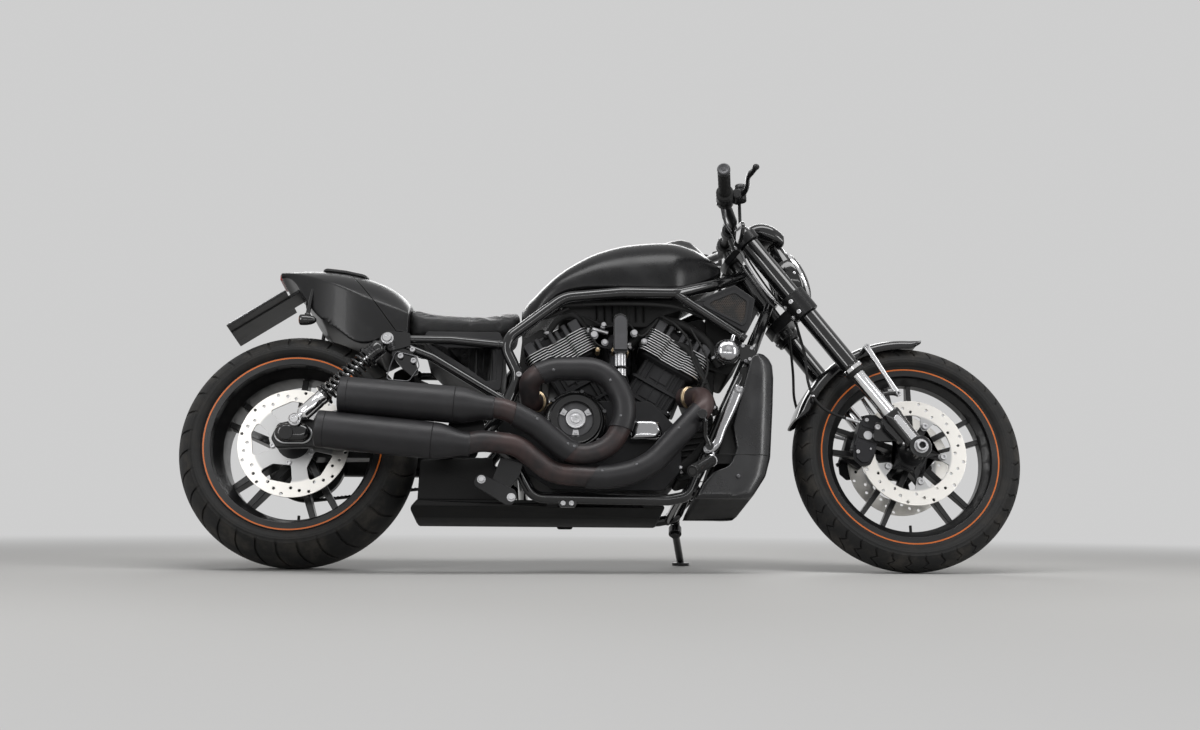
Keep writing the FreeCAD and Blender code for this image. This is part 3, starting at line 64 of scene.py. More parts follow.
# The upright bike frame, in millimetres from the rear axle's foot, laid onto the leaning model
REAR_AXLE_Z = 328.7
AXLE_LINE = Vector(JOINTS["rear_wheel_spin"]["axis"])
LEAN = math.atan2(-AXLE_LINE.z, AXLE_LINE.y)
_turn = Matrix.Rotation(-LEAN, 4, "X")
_rear = Vector(JOINTS["rear_wheel_spin"]["pos_m"])
BIKE = Matrix.Translation(_rear - _turn @ Vector((0, 0, REAR_AXLE_Z / 1000))) @ _turn
UNBIKE = BIKE.inverted()
FRONT_AXLE = UNBIKE @ Vector(JOINTS["front_wheel_spin"]["pos_m"]) * 1000
REAR_AXLE = Vector((0, 0, REAR_AXLE_Z))


# Shader expressions


class Sock:
    """A shader output that takes part in Python arithmetic."""

    def __init__(self, shader, socket):
        self.shader = shader
        self.socket = socket

    def _op(self, kind, *values):
        return self.shader.node("ShaderNodeMath", {"operation": kind}, *values)

    def __add__(self, other):
        return self._op("ADD", self, other)

    def __radd__(self, other):
        return self._op("ADD", other, self)

    def __sub__(self, other):
        return self._op("SUBTRACT", self, other)

    def __rsub__(self, other):
        return self._op("SUBTRACT", other, self)

    def __mul__(self, other):
        return self._op("MULTIPLY", self, other)

    def __rmul__(self, other):
        return self._op("MULTIPLY", other, self)

    def __gt__(self, other):
        return self._op("GREATER_THAN", self, other)

    def __lt__(self, other):
        return self._op("LESS_THAN", self, other)

    def fract(self):
        return self._op("FRACT", self)

    def absolute(self):
        return self._op("ABSOLUTE", self)

    def sine(self):
        return self._op("SINE", self)

    def root(self):
        return self._op("SQRT", self)

    def between(self, low, high):
        """1 inside the band, 0 outside."""
        return (self > low) * (self < high)

    def smooth(self, low, high):
        """0 below low, 1 above high, smooth between."""
        return self.shader.node("ShaderNodeMapRange", {"interpolation_type": "SMOOTHSTEP"}, self, low, high)


SURFACE_INPUTS = {
    "color": "Base Color", "roughness": "Roughness", "metallic": "Metallic", "coat": "Coat Weight",
    "coat_roughness": "Coat Roughness", "normal": "Normal", "ior": "IOR",
    "transmission": "Transmission Weight", "specular": "Specular IOR Level", "sheen": "Sheen Weight",
    "sheen_roughness": "Sheen Roughness",
}


class Shader:
    """A material under construction, with its nodes made by one method."""

    def __init__(self, name):
        self.material = bpy.data.materials.new(name)
        self.material.use_nodes = True
        self.tree = self.material.node_tree
        self.tree.nodes.clear()
        self.out = self.tree.nodes.new("ShaderNodeOutputMaterial")
        self.surface = self.tree.nodes.new("ShaderNodeBsdfPrincipled")
        self.tree.links.new(self.surface.outputs[0], self.out.inputs[0])

    def put(self, target, value):
        """Links or writes a value into a socket."""
        if isinstance(value, Sock):
            self.tree.links.new(value.socket, target)
        else:
            size = len(target.default_value) if hasattr(target.default_value, "__len__") else 0
            if size == 4 and len(value) == 3:
                value = (*value, 1.0)
            target.default_value = value

    def node(self, kind, settings, *values, output=0, **named):
        """A node with its settings, and its inputs in order or by name."""
        made = self.tree.nodes.new(kind)
        for key, value in settings.items():
            setattr(made, key, value)
        for index, value in enumerate(values):
            if value is not None:
                self.put(made.inputs[index], value)
        for key, value in named.items():
            self.put(made.inputs[key.replace("_", " ")], value)
        return Sock(self, made.outputs[output])

    def coordinates(self):
        return self.node("ShaderNodeTexCoord", {}, output=3)

    def uv(self):
        """The piece's own map as two values."""
        both = self.node("ShaderNodeTexCoord", {}, output=2)
        return self.split(both)[:2]

    def split(self, vector):
        first = self.node("ShaderNodeSeparateXYZ", {}, vector)
        outs = first.socket.node.outputs
        return [Sock(self, o) for o in outs]

    def join(self, x, y, z):
        return self.node("ShaderNodeCombineXYZ", {}, x, y, z)

    def upright(self, centre):
        """Object coordinates in the upright bike frame about a centre, in metres, as three values."""
        moved = self.node("ShaderNodeVectorMath", {"operation": "SUBTRACT"}, self.coordinates(),
                          tuple(BIKE @ (centre / 1000)))
        turned = self.node("ShaderNodeVectorRotate", {"rotation_type": "X_AXIS"}, moved, Angle=LEAN)
        return self.split(turned)

    def noise(self, scale, detail=3.0, rough=0.5, vector=None):
        return self.node("ShaderNodeTexNoise", {}, Vector=vector or self.coordinates(), Scale=scale,
                         Detail=detail, Roughness=rough)

    def cells(self, scale, feature="F1"):
        return self.node("ShaderNodeTexVoronoi", {"feature": feature}, Vector=self.coordinates(), Scale=scale)

    def mix(self, factor, first, second):
        """Colour that goes from the first to the second as factor goes from 0 to 1."""
        made = self.tree.nodes.new("ShaderNodeMix")
        made.data_type = "RGBA"
        for index, value in ((0, factor), (6, first), (7, second)):
            self.put(made.inputs[index], value)
        return Sock(self, made.outputs[2])

    def bump(self, height, distance, strength=1.0, normal=None):
        made = self.node("ShaderNodeBump", {}, Strength=strength, Distance=distance, Height=height)
        if normal:
            self.tree.links.new(normal.socket, made.socket.node.inputs["Normal"])
        return made

    def finish(self, **sockets):
        """Sets the surface's inputs, and gives the finished material."""
        for key, value in sockets.items():
            self.put(self.surface.inputs[SURFACE_INPUTS[key]], value)
        return self.material


def paint(name, colour, roughness, coat, specular=0.3):
    """Sprayed paint with a faint orange peel and a little dust that dulls it in patches."""
    s = Shader(name)
    dust = s.noise(9.0, 5.0, 0.6).smooth(0.48, 0.72)
    tone = s.mix(dust * 0.35, colour, tuple(min(1.0, c * 1.7 + 0.006) for c in colour))
    return s.finish(color=tone, roughness=dust * 0.09 + roughness, metallic=0.0, coat=coat,
                    coat_roughness=0.06, normal=s.bump(s.noise(260.0, 2.0), 0.00004), specular=specular)


def bright_metal(name, colour, roughness, wear=0.1):
    """Plated or polished metal with faint smears."""
    s = Shader(name)
    smear = s.noise(14.0, 4.0, 0.6)
    tone = s.mix(smear.smooth(0.35, 0.75) * wear, colour, tuple(c * 0.72 for c in colour))
    return s.finish(color=tone, metallic=1.0, roughness=smear * wear + roughness,
                    normal=s.bump(s.noise(420.0, 1.0), 0.000012))


def moulded(name, colour, roughness, grain=700.0, depth=0.00006, tint=0.35):
    """Moulded plastic or rubber with a fine grain and pale dust in patches."""
    s = Shader(name)
    patch = s.noise(7.0, 5.0, 0.65).smooth(0.4, 0.75)
    tone = s.mix(patch * tint, colour, tuple(min(1.0, c * 1.9 + 0.01) for c in colour))
    return s.finish(color=tone, roughness=patch * 0.1 + roughness, metallic=0.0, specular=0.25,
                    normal=s.bump(s.cells(grain), depth))


def cast_metal(name, colour, roughness, grain=1100.0, depth=0.00011, metallic=0.25):
    """Wrinkle-coated casting."""
    s = Shader(name)
    lumps = s.noise(grain, 3.0, 0.65)
    stain = s.noise(16.0, 5.0, 0.6).smooth(0.45, 0.8)
    tone = s.mix(stain * 0.4, colour, tuple(c * 1.8 + 0.008 for c in colour))
    return s.finish(color=tone, roughness=lumps * 0.2 + (roughness - 0.1), metallic=metallic,
                    specular=0.2, normal=s.bump(lumps, depth))


def ceramic(name, colour, hot=None):
    """Matt ceramic exhaust coating, tinted by heat in patches where a hot colour is given."""
    s = Shader(name)
    grain = s.noise(1500.0, 3.0, 0.6)
    blotch = s.noise(22.0, 5.0, 0.6).smooth(0.42, 0.72)
    tone = s.mix(blotch * 0.4, colour, tuple(c * 1.5 + 0.004 for c in colour))
    if hot:
        tone = s.mix(s.noise(9.0, 4.0, 0.6).smooth(0.35, 0.62) * 0.8, tone, hot)
    return s.finish(color=tone, roughness=blotch * 0.08 + 0.42, metallic=0.2, specular=0.4,
                    normal=s.bump(grain, 0.00005))


MATERIALS = {}


def wheel_paint():
    """Satin wheel paint with an orange pinstripe round each rim lip."""
    for name, axle, radius, half in (("front_wheel_satin", FRONT_AXLE, 0.2515, 0.040),
                                     ("rear_wheel_satin", REAR_AXLE, 0.2385, 0.104)):
        s = Shader(name)
        x, y, z = s.upright(axle)
        r = (x * x + z * z).root()
        line = r.between(radius - 0.0019, radius + 0.0019) * (y.absolute() > half)
        dust = s.noise(12.0, 5.0, 0.6).smooth(0.45, 0.75)
        black = s.mix(dust * 0.4, (0.008, 0.008, 0.0085), (0.022, 0.021, 0.020))
        tone = s.mix(line, black, (0.55, 0.13, 0.02))
        MATERIALS[name] = s.finish(color=tone, roughness=dust * 0.15 + 0.3, coat=0.15, coat_roughness=0.12,
                                   specular=0.3, normal=s.bump(s.noise(500.0, 2.0), 0.00003))


def disc_steel():
    """Ground stainless with turned rings, and a darker grey inside the ground ring."""
    for name, axle in (("front_disc_steel", FRONT_AXLE), ("rear_disc_steel", REAR_AXLE)):
        s = Shader(name)
        x, _, z = s.upright(axle)
        r = (x * x + z * z).root()
        rings = s.noise(1.0, 2.0, 0.6, s.join(r * 2600.0, 0.0, 0.0))
        band = r.smooth(0.104, 0.112)
        tone = s.mix(rings * 0.35, (0.80, 0.78, 0.74), (0.55, 0.53, 0.50))
        tone = s.mix(1 - band, tone, (0.42, 0.42, 0.42))
        MATERIALS[name] = s.finish(color=tone, metallic=1.0, roughness=rings * 0.12 + 0.26,
                                   normal=s.bump(rings, 0.00002))


def tyre_rubber():
    """Rubber with moulded rings on the wall and a dusty brown cast on the tread."""
    s = Shader("tyre_rubber")
    v = s.uv()[1]
    edge = (v - 0.5).absolute()
    tread = 1 - edge.smooth(0.26, 0.30)
    dust = s.noise(18.0, 6.0, 0.65)
    grime = dust.smooth(0.42, 0.70) * (tread * 0.5 + 0.35)
    tone = s.mix(grime, (0.009, 0.009, 0.009), (0.040, 0.036, 0.031))
    rings = (v * 130.0).sine() * (edge.between(0.31, 0.345) + edge.between(0.44, 0.47) * 0.7)
    fine = s.noise(1400.0, 2.0) * 0.35
    MATERIALS["tyre_rubber"] = s.finish(color=tone, roughness=dust * 0.2 + 0.56, specular=0.3,
                                        normal=s.bump(rings + fine, 0.0005))


def seat_vinyl():
    """Grained seat cover."""
    s = Shader("seat_vinyl")
    grain = s.cells(640.0, "DISTANCE_TO_EDGE").smooth(0.0, 0.18)
    creases = s.noise(55.0, 4.0, 0.6)
    worn = s.noise(6.0, 4.0).smooth(0.4, 0.75)
    tone = s.mix(worn * 0.4, (0.008, 0.008, 0.0085), (0.017, 0.017, 0.018))
    bumps = s.bump(creases, 0.0004, normal=s.bump(grain, 0.00022))
    MATERIALS["seat_vinyl"] = s.finish(color=tone, roughness=worn * 0.08 + 0.40, specular=0.35, sheen=0.03,
                                       sheen_roughness=0.5, normal=bumps)


def lamp_glass():
    """Clear, ribbed red and faceted amber glass."""
    s = Shader("lens_glass")
    MATERIALS["lens_glass"] = s.finish(color=(1.0, 1.0, 1.0), roughness=s.noise(8.0, 2.0) * 0.02,
                                       transmission=1.0, ior=1.45)
    s = Shader("lamp_red")
    ribs = (s.split(s.coordinates())[1] * 900.0).sine()
    MATERIALS["lamp_red"] = s.finish(color=s.mix(ribs * 0.2 + 0.3, (0.30, 0.004, 0.004),
                                                 (0.16, 0.002, 0.002)), roughness=0.12, coat=1.0,
                                     coat_roughness=0.03, normal=s.bump(ribs, 0.0003))
    s = Shader("lamp_amber")
    facets = s.cells(420.0)
    MATERIALS["lamp_amber"] = s.finish(color=s.mix(facets, (0.75, 0.22, 0.02), (0.42, 0.10, 0.01)),
                                       roughness=0.14, coat=1.0, coat_roughness=0.03,
                                       normal=s.bump(facets, 0.0006))


DIAL_CENTRE = Vector((1296, 0, 1015.5))


def dial_face():
    """White ticks, a needle and a lit window on a black dial."""
    s = Shader("dial_face")
    x, y, _ = s.upright(DIAL_CENTRE)
    r = (x * x + y * y).root()
    turn = s.node("ShaderNodeMath", {"operation": "ARCTAN2"}, y, x)
    ticks = ((turn * 6.366).fract() < 0.16) * r.between(0.0235, 0.0275)
    needle = (turn - 0.7).absolute() * r
    hand = (needle < 0.0006) * (turn > 0.3) * r.between(0.002, 0.022)
    window = (x + 0.012).absolute().smooth(0.0030, 0.0032) + (y.absolute()).smooth(0.0095, 0.0098)
    tone = s.mix(ticks, (0.008, 0.008, 0.009), (0.75, 0.75, 0.72))
    tone = s.mix(hand, tone, (0.75, 0.10, 0.02))
    tone = s.mix(1 - (window > 0.5), tone, (0.10, 0.13, 0.12))
    MATERIALS["dial_face"] = s.finish(color=tone, roughness=0.12, coat=1.0, coat_roughness=0.02)


def mesh_screen():
    """Punched screen: round holes with painted shade in them, coloured near black, dusty between them."""
    s = Shader("mesh_screen")
    x, _, z = s.upright(Vector((1170, 0, 700)))
    row = z * 210.0
    shift = (row * 0.5).fract().smooth(0.49, 0.51) * 0.5
    u, v = (x * 180.0 + shift).fract() - 0.5, row.fract() - 0.5
    shaded_hole = 1 - (u * u + v * v).root().smooth(0.28, 0.36)
    dust = s.noise(34.0, 4.0, 0.6).smooth(0.40, 0.65)
    tone = s.mix(dust * 0.7, (0.016, 0.016, 0.016), (0.060, 0.044, 0.034))
    # painted shade: each hole is coloured near black for the dark behind the screen; its shape also makes the
    # bump
    tone = s.mix(shaded_hole, tone, (0.001, 0.001, 0.001))
    MATERIALS["mesh_screen"] = s.finish(color=tone, roughness=0.5, specular=0.3,
                                        normal=s.bump(shaded_hole, 0.0012, 1.0))


# Plain finishes by maker: name, colour and what else the maker takes, in its order
PLAIN = (
    (paint, (
        ("gloss_black", (0.006, 0.006, 0.0065), 0.12, 0.55, 0.4),
        ("tank_black", (0.006, 0.006, 0.0065), 0.27, 0.0, 0.28),
        ("satin_black", (0.007, 0.007, 0.0075), 0.34, 0.06),
        ("shroud_black", (0.008, 0.008, 0.009), 0.26, 0.1, 0.5),
        ("panel_black", (0.010, 0.010, 0.011), 0.40, 0.05),
        ("cover_gloss", (0.007, 0.007, 0.0075), 0.20, 0.35, 0.4))),
    (moulded, (
        ("matt_black", (0.008, 0.008, 0.008), 0.55),
        ("panel_grey", (0.017, 0.017, 0.018), 0.46),
        ("rubber_black", (0.010, 0.010, 0.010), 0.6, 1500.0, 0.00008),
        ("belt_rubber", (0.010, 0.010, 0.010), 0.7, 900.0, 0.0001),
        ("plate_blank", (0.022, 0.022, 0.023), 0.34, 300.0, 0.00004))),
    (bright_metal, (
        ("chrome", (0.84, 0.84, 0.85), 0.05, 0.06),
        ("polished_alloy", (0.74, 0.74, 0.75), 0.16, 0.12),
        ("smoked_chrome", (0.40, 0.40, 0.41), 0.10, 0.1),
        ("satin_steel", (0.50, 0.50, 0.51), 0.26, 0.2),
        ("dark_steel", (0.12, 0.12, 0.125), 0.33, 0.25),
        ("collar_brass", (0.62, 0.50, 0.34), 0.30, 0.25),
        ("fin_edge", (0.80, 0.80, 0.81), 0.34, 0.22))),
    (cast_metal, (
        ("caliper_grey", (0.020, 0.020, 0.022), 0.42, 800.0, 0.00006),
        ("engine_black", (0.014, 0.014, 0.015), 0.46, 1100.0, 0.00011, 0.1),
        ("engine_grey", (0.075, 0.075, 0.078), 0.46, 1000.0, 0.00008, 0.7),
        ("radiator_fins", (0.012, 0.012, 0.012), 0.5))),
    (ceramic, (
        ("ceramic_dark", (0.017, 0.0165, 0.018)),
        ("header_dark", (0.020, 0.018, 0.019), (0.060, 0.036, 0.034)))),
)


def build_materials():
    """Every finish of the motorcycle, the plain ones from their table."""
    for maker, rows in PLAIN:
        for name, *look in rows:
            MATERIALS[name] = maker(name, *look)
    dial_face()
    mesh_screen()
    wheel_paint()
    disc_steel()
    tyre_rubber()
    seat_vinyl()
    lamp_glass()


# Each finish, the record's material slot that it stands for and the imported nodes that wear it
FINISHES = (
    ("tyre_rubber", "tyre_rubber", "front_tyre rear_tyre"),
    ("front_wheel_satin", "wheel_black", "front_wheel_casting"),
    ("rear_wheel_satin", "wheel_black", "rear_wheel_casting rear_pulley"),
    ("front_disc_steel", "disc_steel", "front_discs"),
    ("rear_disc_steel", "disc_steel", "rear_disc"),
    ("chrome", "fork_chrome", "fork_lowers shock_absorbers starter_cover"),
    ("smoked_chrome", "fork_chrome", ""),
    ("satin_steel", "axle_steel", "front_axle shock_bolts horn"),
    ("dark_steel", "axle_steel", "drive_sprocket"),
    ("caliper_grey", "caliper_grey", "front_calipers rear_caliper"),
    ("gloss_black", "gloss_black", "lower_yoke upper_yoke fork_outer_tubes front_fender handlebar mirrors "
     "headlamp instrument_pod frame shock_springs rear_axle side_stand stand_bracket"),
    ("satin_black", "satin_black", "hand_controls swingarm exhaust_bracket tank_cover tail_cowl "
     "rear_indicators side_scoops foot_controls"),
    ("tank_black", "satin_black", ""),
    ("matt_black", "satin_black", "plate_holder belly_pan"),
    ("rubber_black", "rubber_black", "brake_hoses grips"),
    ("belt_rubber", "belt_rubber", "drive_belt"),
    ("lens_glass", "lens_glass", "headlamp_lens"),
    ("dial_face", "lens_glass", ""),
    ("engine_black", "engine_black", "crankcase cylinders"),
    ("engine_grey", "engine_black", "throttle_body"),
    ("fin_edge", "fin_alloy", ""),
    ("cover_gloss", "cover_black", "engine_covers coolant_post"),
    ("polished_alloy", "polished_alloy", "coolant_neck control_arms"),
    ("collar_brass", "polished_alloy", ""),
    ("ceramic_dark", "exhaust_ceramic", "mufflers"),
    ("header_dark", "header_tint", "header_pipes"),
    ("seat_vinyl", "seat_vinyl", "seat"),
    ("plate_blank", "plate_blank", "number_plate"),
    ("lamp_red", "lamp_red", "tail_lamp"),
    ("lamp_amber", "lamp_red", ""),
    ("panel_grey", "panel_grey", "side_panels radiator_shroud"),
    ("panel_black", "panel_grey", ""),
    ("shroud_black", "panel_grey", ""),
    ("mesh_screen", "panel_grey", ""),
    ("radiator_fins", "radiator_alloy", "radiator"),
)


def dress_nodes():
    """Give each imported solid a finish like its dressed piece's."""
    for finish, _, nodes in FINISHES:
        for name in nodes.split():
            worn = NODES[name].data.materials
            worn.clear()
            worn.append(MATERIALS[finish])


# Mesh helpers

ACROSS = Vector((0, 1, 0))
AHEAD = Vector((1, 0, 0))
UP = Vector((0, 0, 1))


def crisp(mesh, angle):
    """Smooth shading that stays sharp where faces meet at more than the angle, in degrees."""
    mesh.polygons.foreach_set("use_smooth", [True] * len(mesh.polygons))
    mesh.set_sharp_from_angle(angle=math.radians(angle))


def place_piece(name, mesh, body, materials, stands_for=()):
    """A finished piece, its mesh already on the model in metres: finish, body and the nodes it replaces."""
    if mesh.materials:
        mesh.materials.clear()
    for material in materials:
        mesh.materials.append(MATERIALS[material])
    obj = bpy.data.objects.new(name, mesh)
    bpy.context.scene.collection.objects.link(obj)
    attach(obj, body)
    if stands_for:
        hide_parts(*stands_for)
    return obj


def round_edges(obj, width, angle=30.0, steps=2):
    """Live bevel of a width in millimetres on every edge sharper than the angle."""
    bevel = obj.modifiers.new("edges", "BEVEL")
    bevel.width = width / 1000
    bevel.segments = steps
    bevel.limit_method = "ANGLE"
    bevel.angle_limit = math.radians(angle)
    bevel.use_clamp_overlap = False
    bevel.harden_normals = True
    bevel.miter_outer = "MITER_ARC"
    return obj


def settled(obj):
    """The object's mesh with its modifiers applied; the object itself goes."""
    graph = bpy.context.evaluated_depsgraph_get()
    mesh = bpy.data.meshes.new_from_object(obj.evaluated_get(graph), depsgraph=graph)
    old = obj.data
    bpy.data.objects.remove(obj)
    if old.users == 0:
        (bpy.data.curves if isinstance(old, bpy.types.Curve) else bpy.data.meshes).remove(old)
    return mesh


def loose_object(name, data):
    """An object that is only there while its modifiers are worked out."""
    obj = bpy.data.objects.new(name, data)
    bpy.context.scene.collection.objects.link(obj)
    return obj


def circle(centre, axis, radius, count, squash=1.0):
    """Points round an axis; squash shortens the direction across the bike."""
    axis = Vector(axis).normalized()
    side = axis.cross(ACROSS)
    side = side.normalized() if side.length > 0.05 else axis.orthogonal().normalized()
    other = axis.cross(side)
    return [Vector(centre) + side * (radius * math.cos(2 * math.pi * k / count))
            + other * (radius * squash * math.sin(2 * math.pi * k / count)) for k in range(count)]


def bend_path(points, radii, pitch=4.0):
    """Points along straight runs joined by tangent arcs."""
    points = [Vector(p) for p in points]
    out = [points[0]]
    for p, before, after, radius in zip(points[1:-1], points, points[2:], radii[1:-1]):
        a, b = (before - p).normalized(), (after - p).normalized()
        turn = math.pi - a.angle(b)
        if radius <= 0 or turn < 1e-4:
            out.append(p)
            continue
        centre = p + (a + b).normalized() * (radius / math.cos(turn / 2))
        back = radius * math.tan(turn / 2)
        first, last = (p + a * back - centre).normalized(), (p + b * back - centre).normalized()
        steps = max(4, math.ceil(radius * turn / pitch))
        out += [centre + first.slerp(last, k / steps) * radius for k in range(steps + 1)]
    return out + [points[-1]]


def flow(points, per_run=7):
    """A smooth line through a few points."""
    points = [Vector(p) for p in points]
    ends = [points[0] * 2 - points[1]] + points + [points[-1] * 2 - points[-2]]
    out = []
    for a, b, c, d in zip(ends, ends[1:], ends[2:], ends[3:]):
        for k in range(per_run):
            t = k / per_run
            out.append(0.5 * (2 * b + (c - a) * t + (2 * a - 5 * b + 4 * c - d) * t * t
                              + (3 * b - 3 * c + d - a) * t ** 3))
    return out + [points[-1]]


def stretch_of(path, start, end):
    """The part of a path between two shares of its length."""
    lengths = [0.0]
    for a, b in zip(path, path[1:]):
        lengths.append(lengths[-1] + (b - a).length)
    whole = lengths[-1]

    def at(share):
        want = share * whole
        for a, b, la, lb in zip(path, path[1:], lengths, lengths[1:]):
            if lb >= want - 1e-9 and lb > la:
                return a.lerp(b, (want - la) / (lb - la))
        return path[-1].copy()

    inner = [p for p, l in zip(path, lengths) if start * whole + 0.5 < l < end * whole - 0.5]
    return [at(start)] + inner + [at(end)]


class Shape:
    """A mesh under construction in the upright bike frame, in millimetres."""

    def __init__(self):
        self.bm = bmesh.new()
        self.slot = 0

    def skin(self, rings, loop=False, caps=True):
        """Faces between rings of points; a ring of one point is a pole."""
        rows = [[self.bm.verts.new(p) for p in ring] for ring in rings]
        pairs = list(zip(rows, rows[1:])) + ([(rows[-1], rows[0])] if loop else [])
        made = []
        for a, b in pairs:
            count = max(len(a), len(b))
            for i in range(count):
                j = (i + 1) % count
                ring = (a[i % len(a)], a[j % len(a)], b[j % len(b)], b[i % len(b)])
                made.append(self.bm.faces.new(list(dict.fromkeys(ring))))
        if caps and not loop:
            made += [self.bm.faces.new(row) for row in (rows[0], rows[-1]) if len(row) > 2]
        for face in made:
            face.material_index = self.slot
        return made

    def lathe(self, base, axis, profile, count=32, loop=False, squash=1.0):
        """A turned piece from (distance along, radius) pairs."""
        base, axis = Vector(base), Vector(axis).normalized()
        rings = [[base + axis * s] if r < 1e-4 else circle(base + axis * s, axis, r, count, squash)
                 for s, r in profile]
        return self.skin(rings, loop)

    def rod(self, a, b, radius, end=None, count=24, edge=0.0):
        """A rod or cone between two points, its rims chamfered by edge."""
        a, b = Vector(a), Vector(b)
        length, end = (b - a).length, radius if end is None else end
        profile = [(0, radius), (length, end)]
        if edge:
            profile = [(0, radius - edge), (edge, radius), (length - edge, end), (length, end - edge)]
        return self.lathe(a, b - a, profile, count)

    def collar(self, a, b, radius, inner, count=32, edge=1.0):
        """A ring with chamfered outer rims."""
        a, b = Vector(a), Vector(b)
        length = (b - a).length
        return self.lathe(a, b - a, [(0, inner), (0, radius - edge), (edge, radius), (length - edge, radius),
                                     (length, radius - edge), (length, inner)], count, loop=True)

    def ball(self, centre, radius, count=20, squash=(1, 1, 1)):
        """A ball, drawn in or out along its three directions by squash."""
        rings = []
        half = count // 2
        for k in range(half + 1):
            t = math.pi * k / half
            z, r = math.cos(t) * radius, math.sin(t) * radius
            if k in (0, half):
                ring = [Vector((0, 0, z))]
            else:
                ring = [Vector((x, y, z)) for x, y in ring_of(r, count)]
            rings.append([Vector(centre) + Vector((p.x * squash[0], p.y * squash[1], p.z * squash[2]))
                          for p in ring])
        return self.skin(rings)

    def rings(self, path, radii, count, closed=False):
        """Rings of points round a path, carried along it without twist."""
        size = len(path)
        rings, side = [], None
        for i, p in enumerate(path):
            before = path[i - 1] if i or closed else p
            after = path[(i + 1) % size] if i < size - 1 or closed else p
            ahead = (after - before).normalized()
            if side is None:
                side = ahead.cross(ACROSS)
                side = side if side.length > 0.2 else ahead.orthogonal()
            side = (side - ahead * side.dot(ahead)).normalized()
            other = ahead.cross(side)
            rings.append([p + (side * math.cos(2 * math.pi * k / count)
                               + other * math.sin(2 * math.pi * k / count)) * radii[i] for k in range(count)])
        return rings

    def tube(self, path, radius, count=14, closed=False, caps=True):
        """A tube along a path; radius is one value or one for each point."""
        path = [Vector(p) for p in path]
        radii = radius if hasattr(radius, "__len__") else [radius] * len(path)
        return self.skin(self.rings(path, radii, count, closed), loop=closed, caps=caps)

    def prism(self, corners, push):
        """A flat outline pushed out by a vector."""
        corners = [Vector(p) for p in corners]
        return self.skin([corners, [p + Vector(push) for p in corners]])

    def plate(self, outline, y0, y1, radius=0.0):
        """A plate in the side view, its (x, z) corners rounded."""
        return self.prism([(x, y0, z) for x, z in soft_corners(outline, radius)], (0, y1 - y0, 0))

    def block(self, centre, size, turn=None):
        """A box by its centre and its three sizes, turned by a matrix."""
        turn = turn or Matrix.Identity(3)
        half = Vector(size) / 2
        ring = [(-1, -1), (1, -1), (1, 1), (-1, 1)]
        rows = [[Vector(centre) + turn @ Vector((a * half.x, b * half.y, c * half.z)) for a, b in ring]
                for c in (-1, 1)]
        return self.skin(rows)

    def mesh(self, name, angle=32.0):
        """The finished mesh, on the model and in metres."""
        bmesh.ops.transform(self.bm, matrix=BIKE @ Matrix.Scale(0.001, 4), verts=self.bm.verts)
        bmesh.ops.recalc_face_normals(self.bm, faces=self.bm.faces)
        out = bpy.data.meshes.new(name)
        self.bm.to_mesh(out)
        self.bm.free()
        crisp(out, angle)
        return out

    def finish(self, name, body, *materials, bevel=0.0, angle=32.0, steps=2, stands_for=()):
        """The shape as a finished piece, its edges rounded where a bevel is given."""
        obj = place_piece(name, self.mesh(name, angle), body, materials, stands_for)
        if bevel:
            round_edges(obj, bevel, steps=steps)
        return obj


def soft_corners(outline, radius, steps=4):
    """Corners of a closed (x, z) outline rounded by arcs."""
    count = len(outline)
    radii = radius if hasattr(radius, "__len__") else [radius] * count
    out = []
    for i, corner in enumerate(outline):
        p = Vector(corner)
        a, b = Vector(outline[i - 1]) - p, Vector(outline[(i + 1) % count]) - p
        reach = min(a.length, b.length) * 0.45
        a, b = a.normalized(), b.normalized()
        turn = math.pi - a.angle(b)
        back = min(radii[i] * math.tan(turn / 2), reach)
        if back < 0.05:
            out.append(tuple(p))
            continue
        first, last = p + a * back, p + b * back
        for k in range(steps + 1):
            t = k / steps
            q = first * (1 - t) ** 2 + p * (2 * t * (1 - t)) + last * t * t
            out.append(tuple(q))
    return out


def node_copy(*names):
    """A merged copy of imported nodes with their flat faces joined, ready for bevels."""
    bm = bmesh.new()
    for name in names:
        bm.from_mesh(NODES[name].data)
    bmesh.ops.remove_doubles(bm, verts=bm.verts, dist=1e-5)
    bmesh.ops.dissolve_degenerate(bm, edges=bm.edges, dist=1e-5)
    bmesh.ops.dissolve_limit(bm, angle_limit=math.radians(0.5), verts=bm.verts, edges=bm.edges,
                             delimit={"NORMAL"})
    bmesh.ops.recalc_face_normals(bm, faces=bm.faces)
    return bm


def refined(name, body, material, *nodes, bevel=1.2, angle=30.0, steps=2):
    """A node shown with its edges rounded."""
    bm = node_copy(*nodes)
    mesh = bpy.data.meshes.new(name)
    bm.to_mesh(mesh)
    bm.free()
    crisp(mesh, angle)
    obj = place_piece(name, mesh, body, [material], nodes)
    if bevel:
        round_edges(obj, bevel, angle, steps)
    return obj


def melted(name, nodes, voxel, rounds):
    """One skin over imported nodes, its edges softened by a few rounds of smoothing; a mesh in metres."""
    bm = bmesh.new()
    for node in nodes:
        bm.from_mesh(NODES[node].data)
    bmesh.ops.remove_doubles(bm, verts=bm.verts, dist=1e-5)
    bmesh.ops.recalc_face_normals(bm, faces=bm.faces)
    mesh = bpy.data.meshes.new(name)
    bm.to_mesh(mesh)
    bm.free()
    work = loose_object(name, mesh)
    skin = work.modifiers.new("skin", "REMESH")
    skin.mode = "VOXEL"
    skin.voxel_size = voxel / 1000
    soften = work.modifiers.new("soften", "SMOOTH")
    soften.factor = 0.5
    soften.iterations = rounds
    out = settled(work)
    crisp(out, 180.0)
    return out


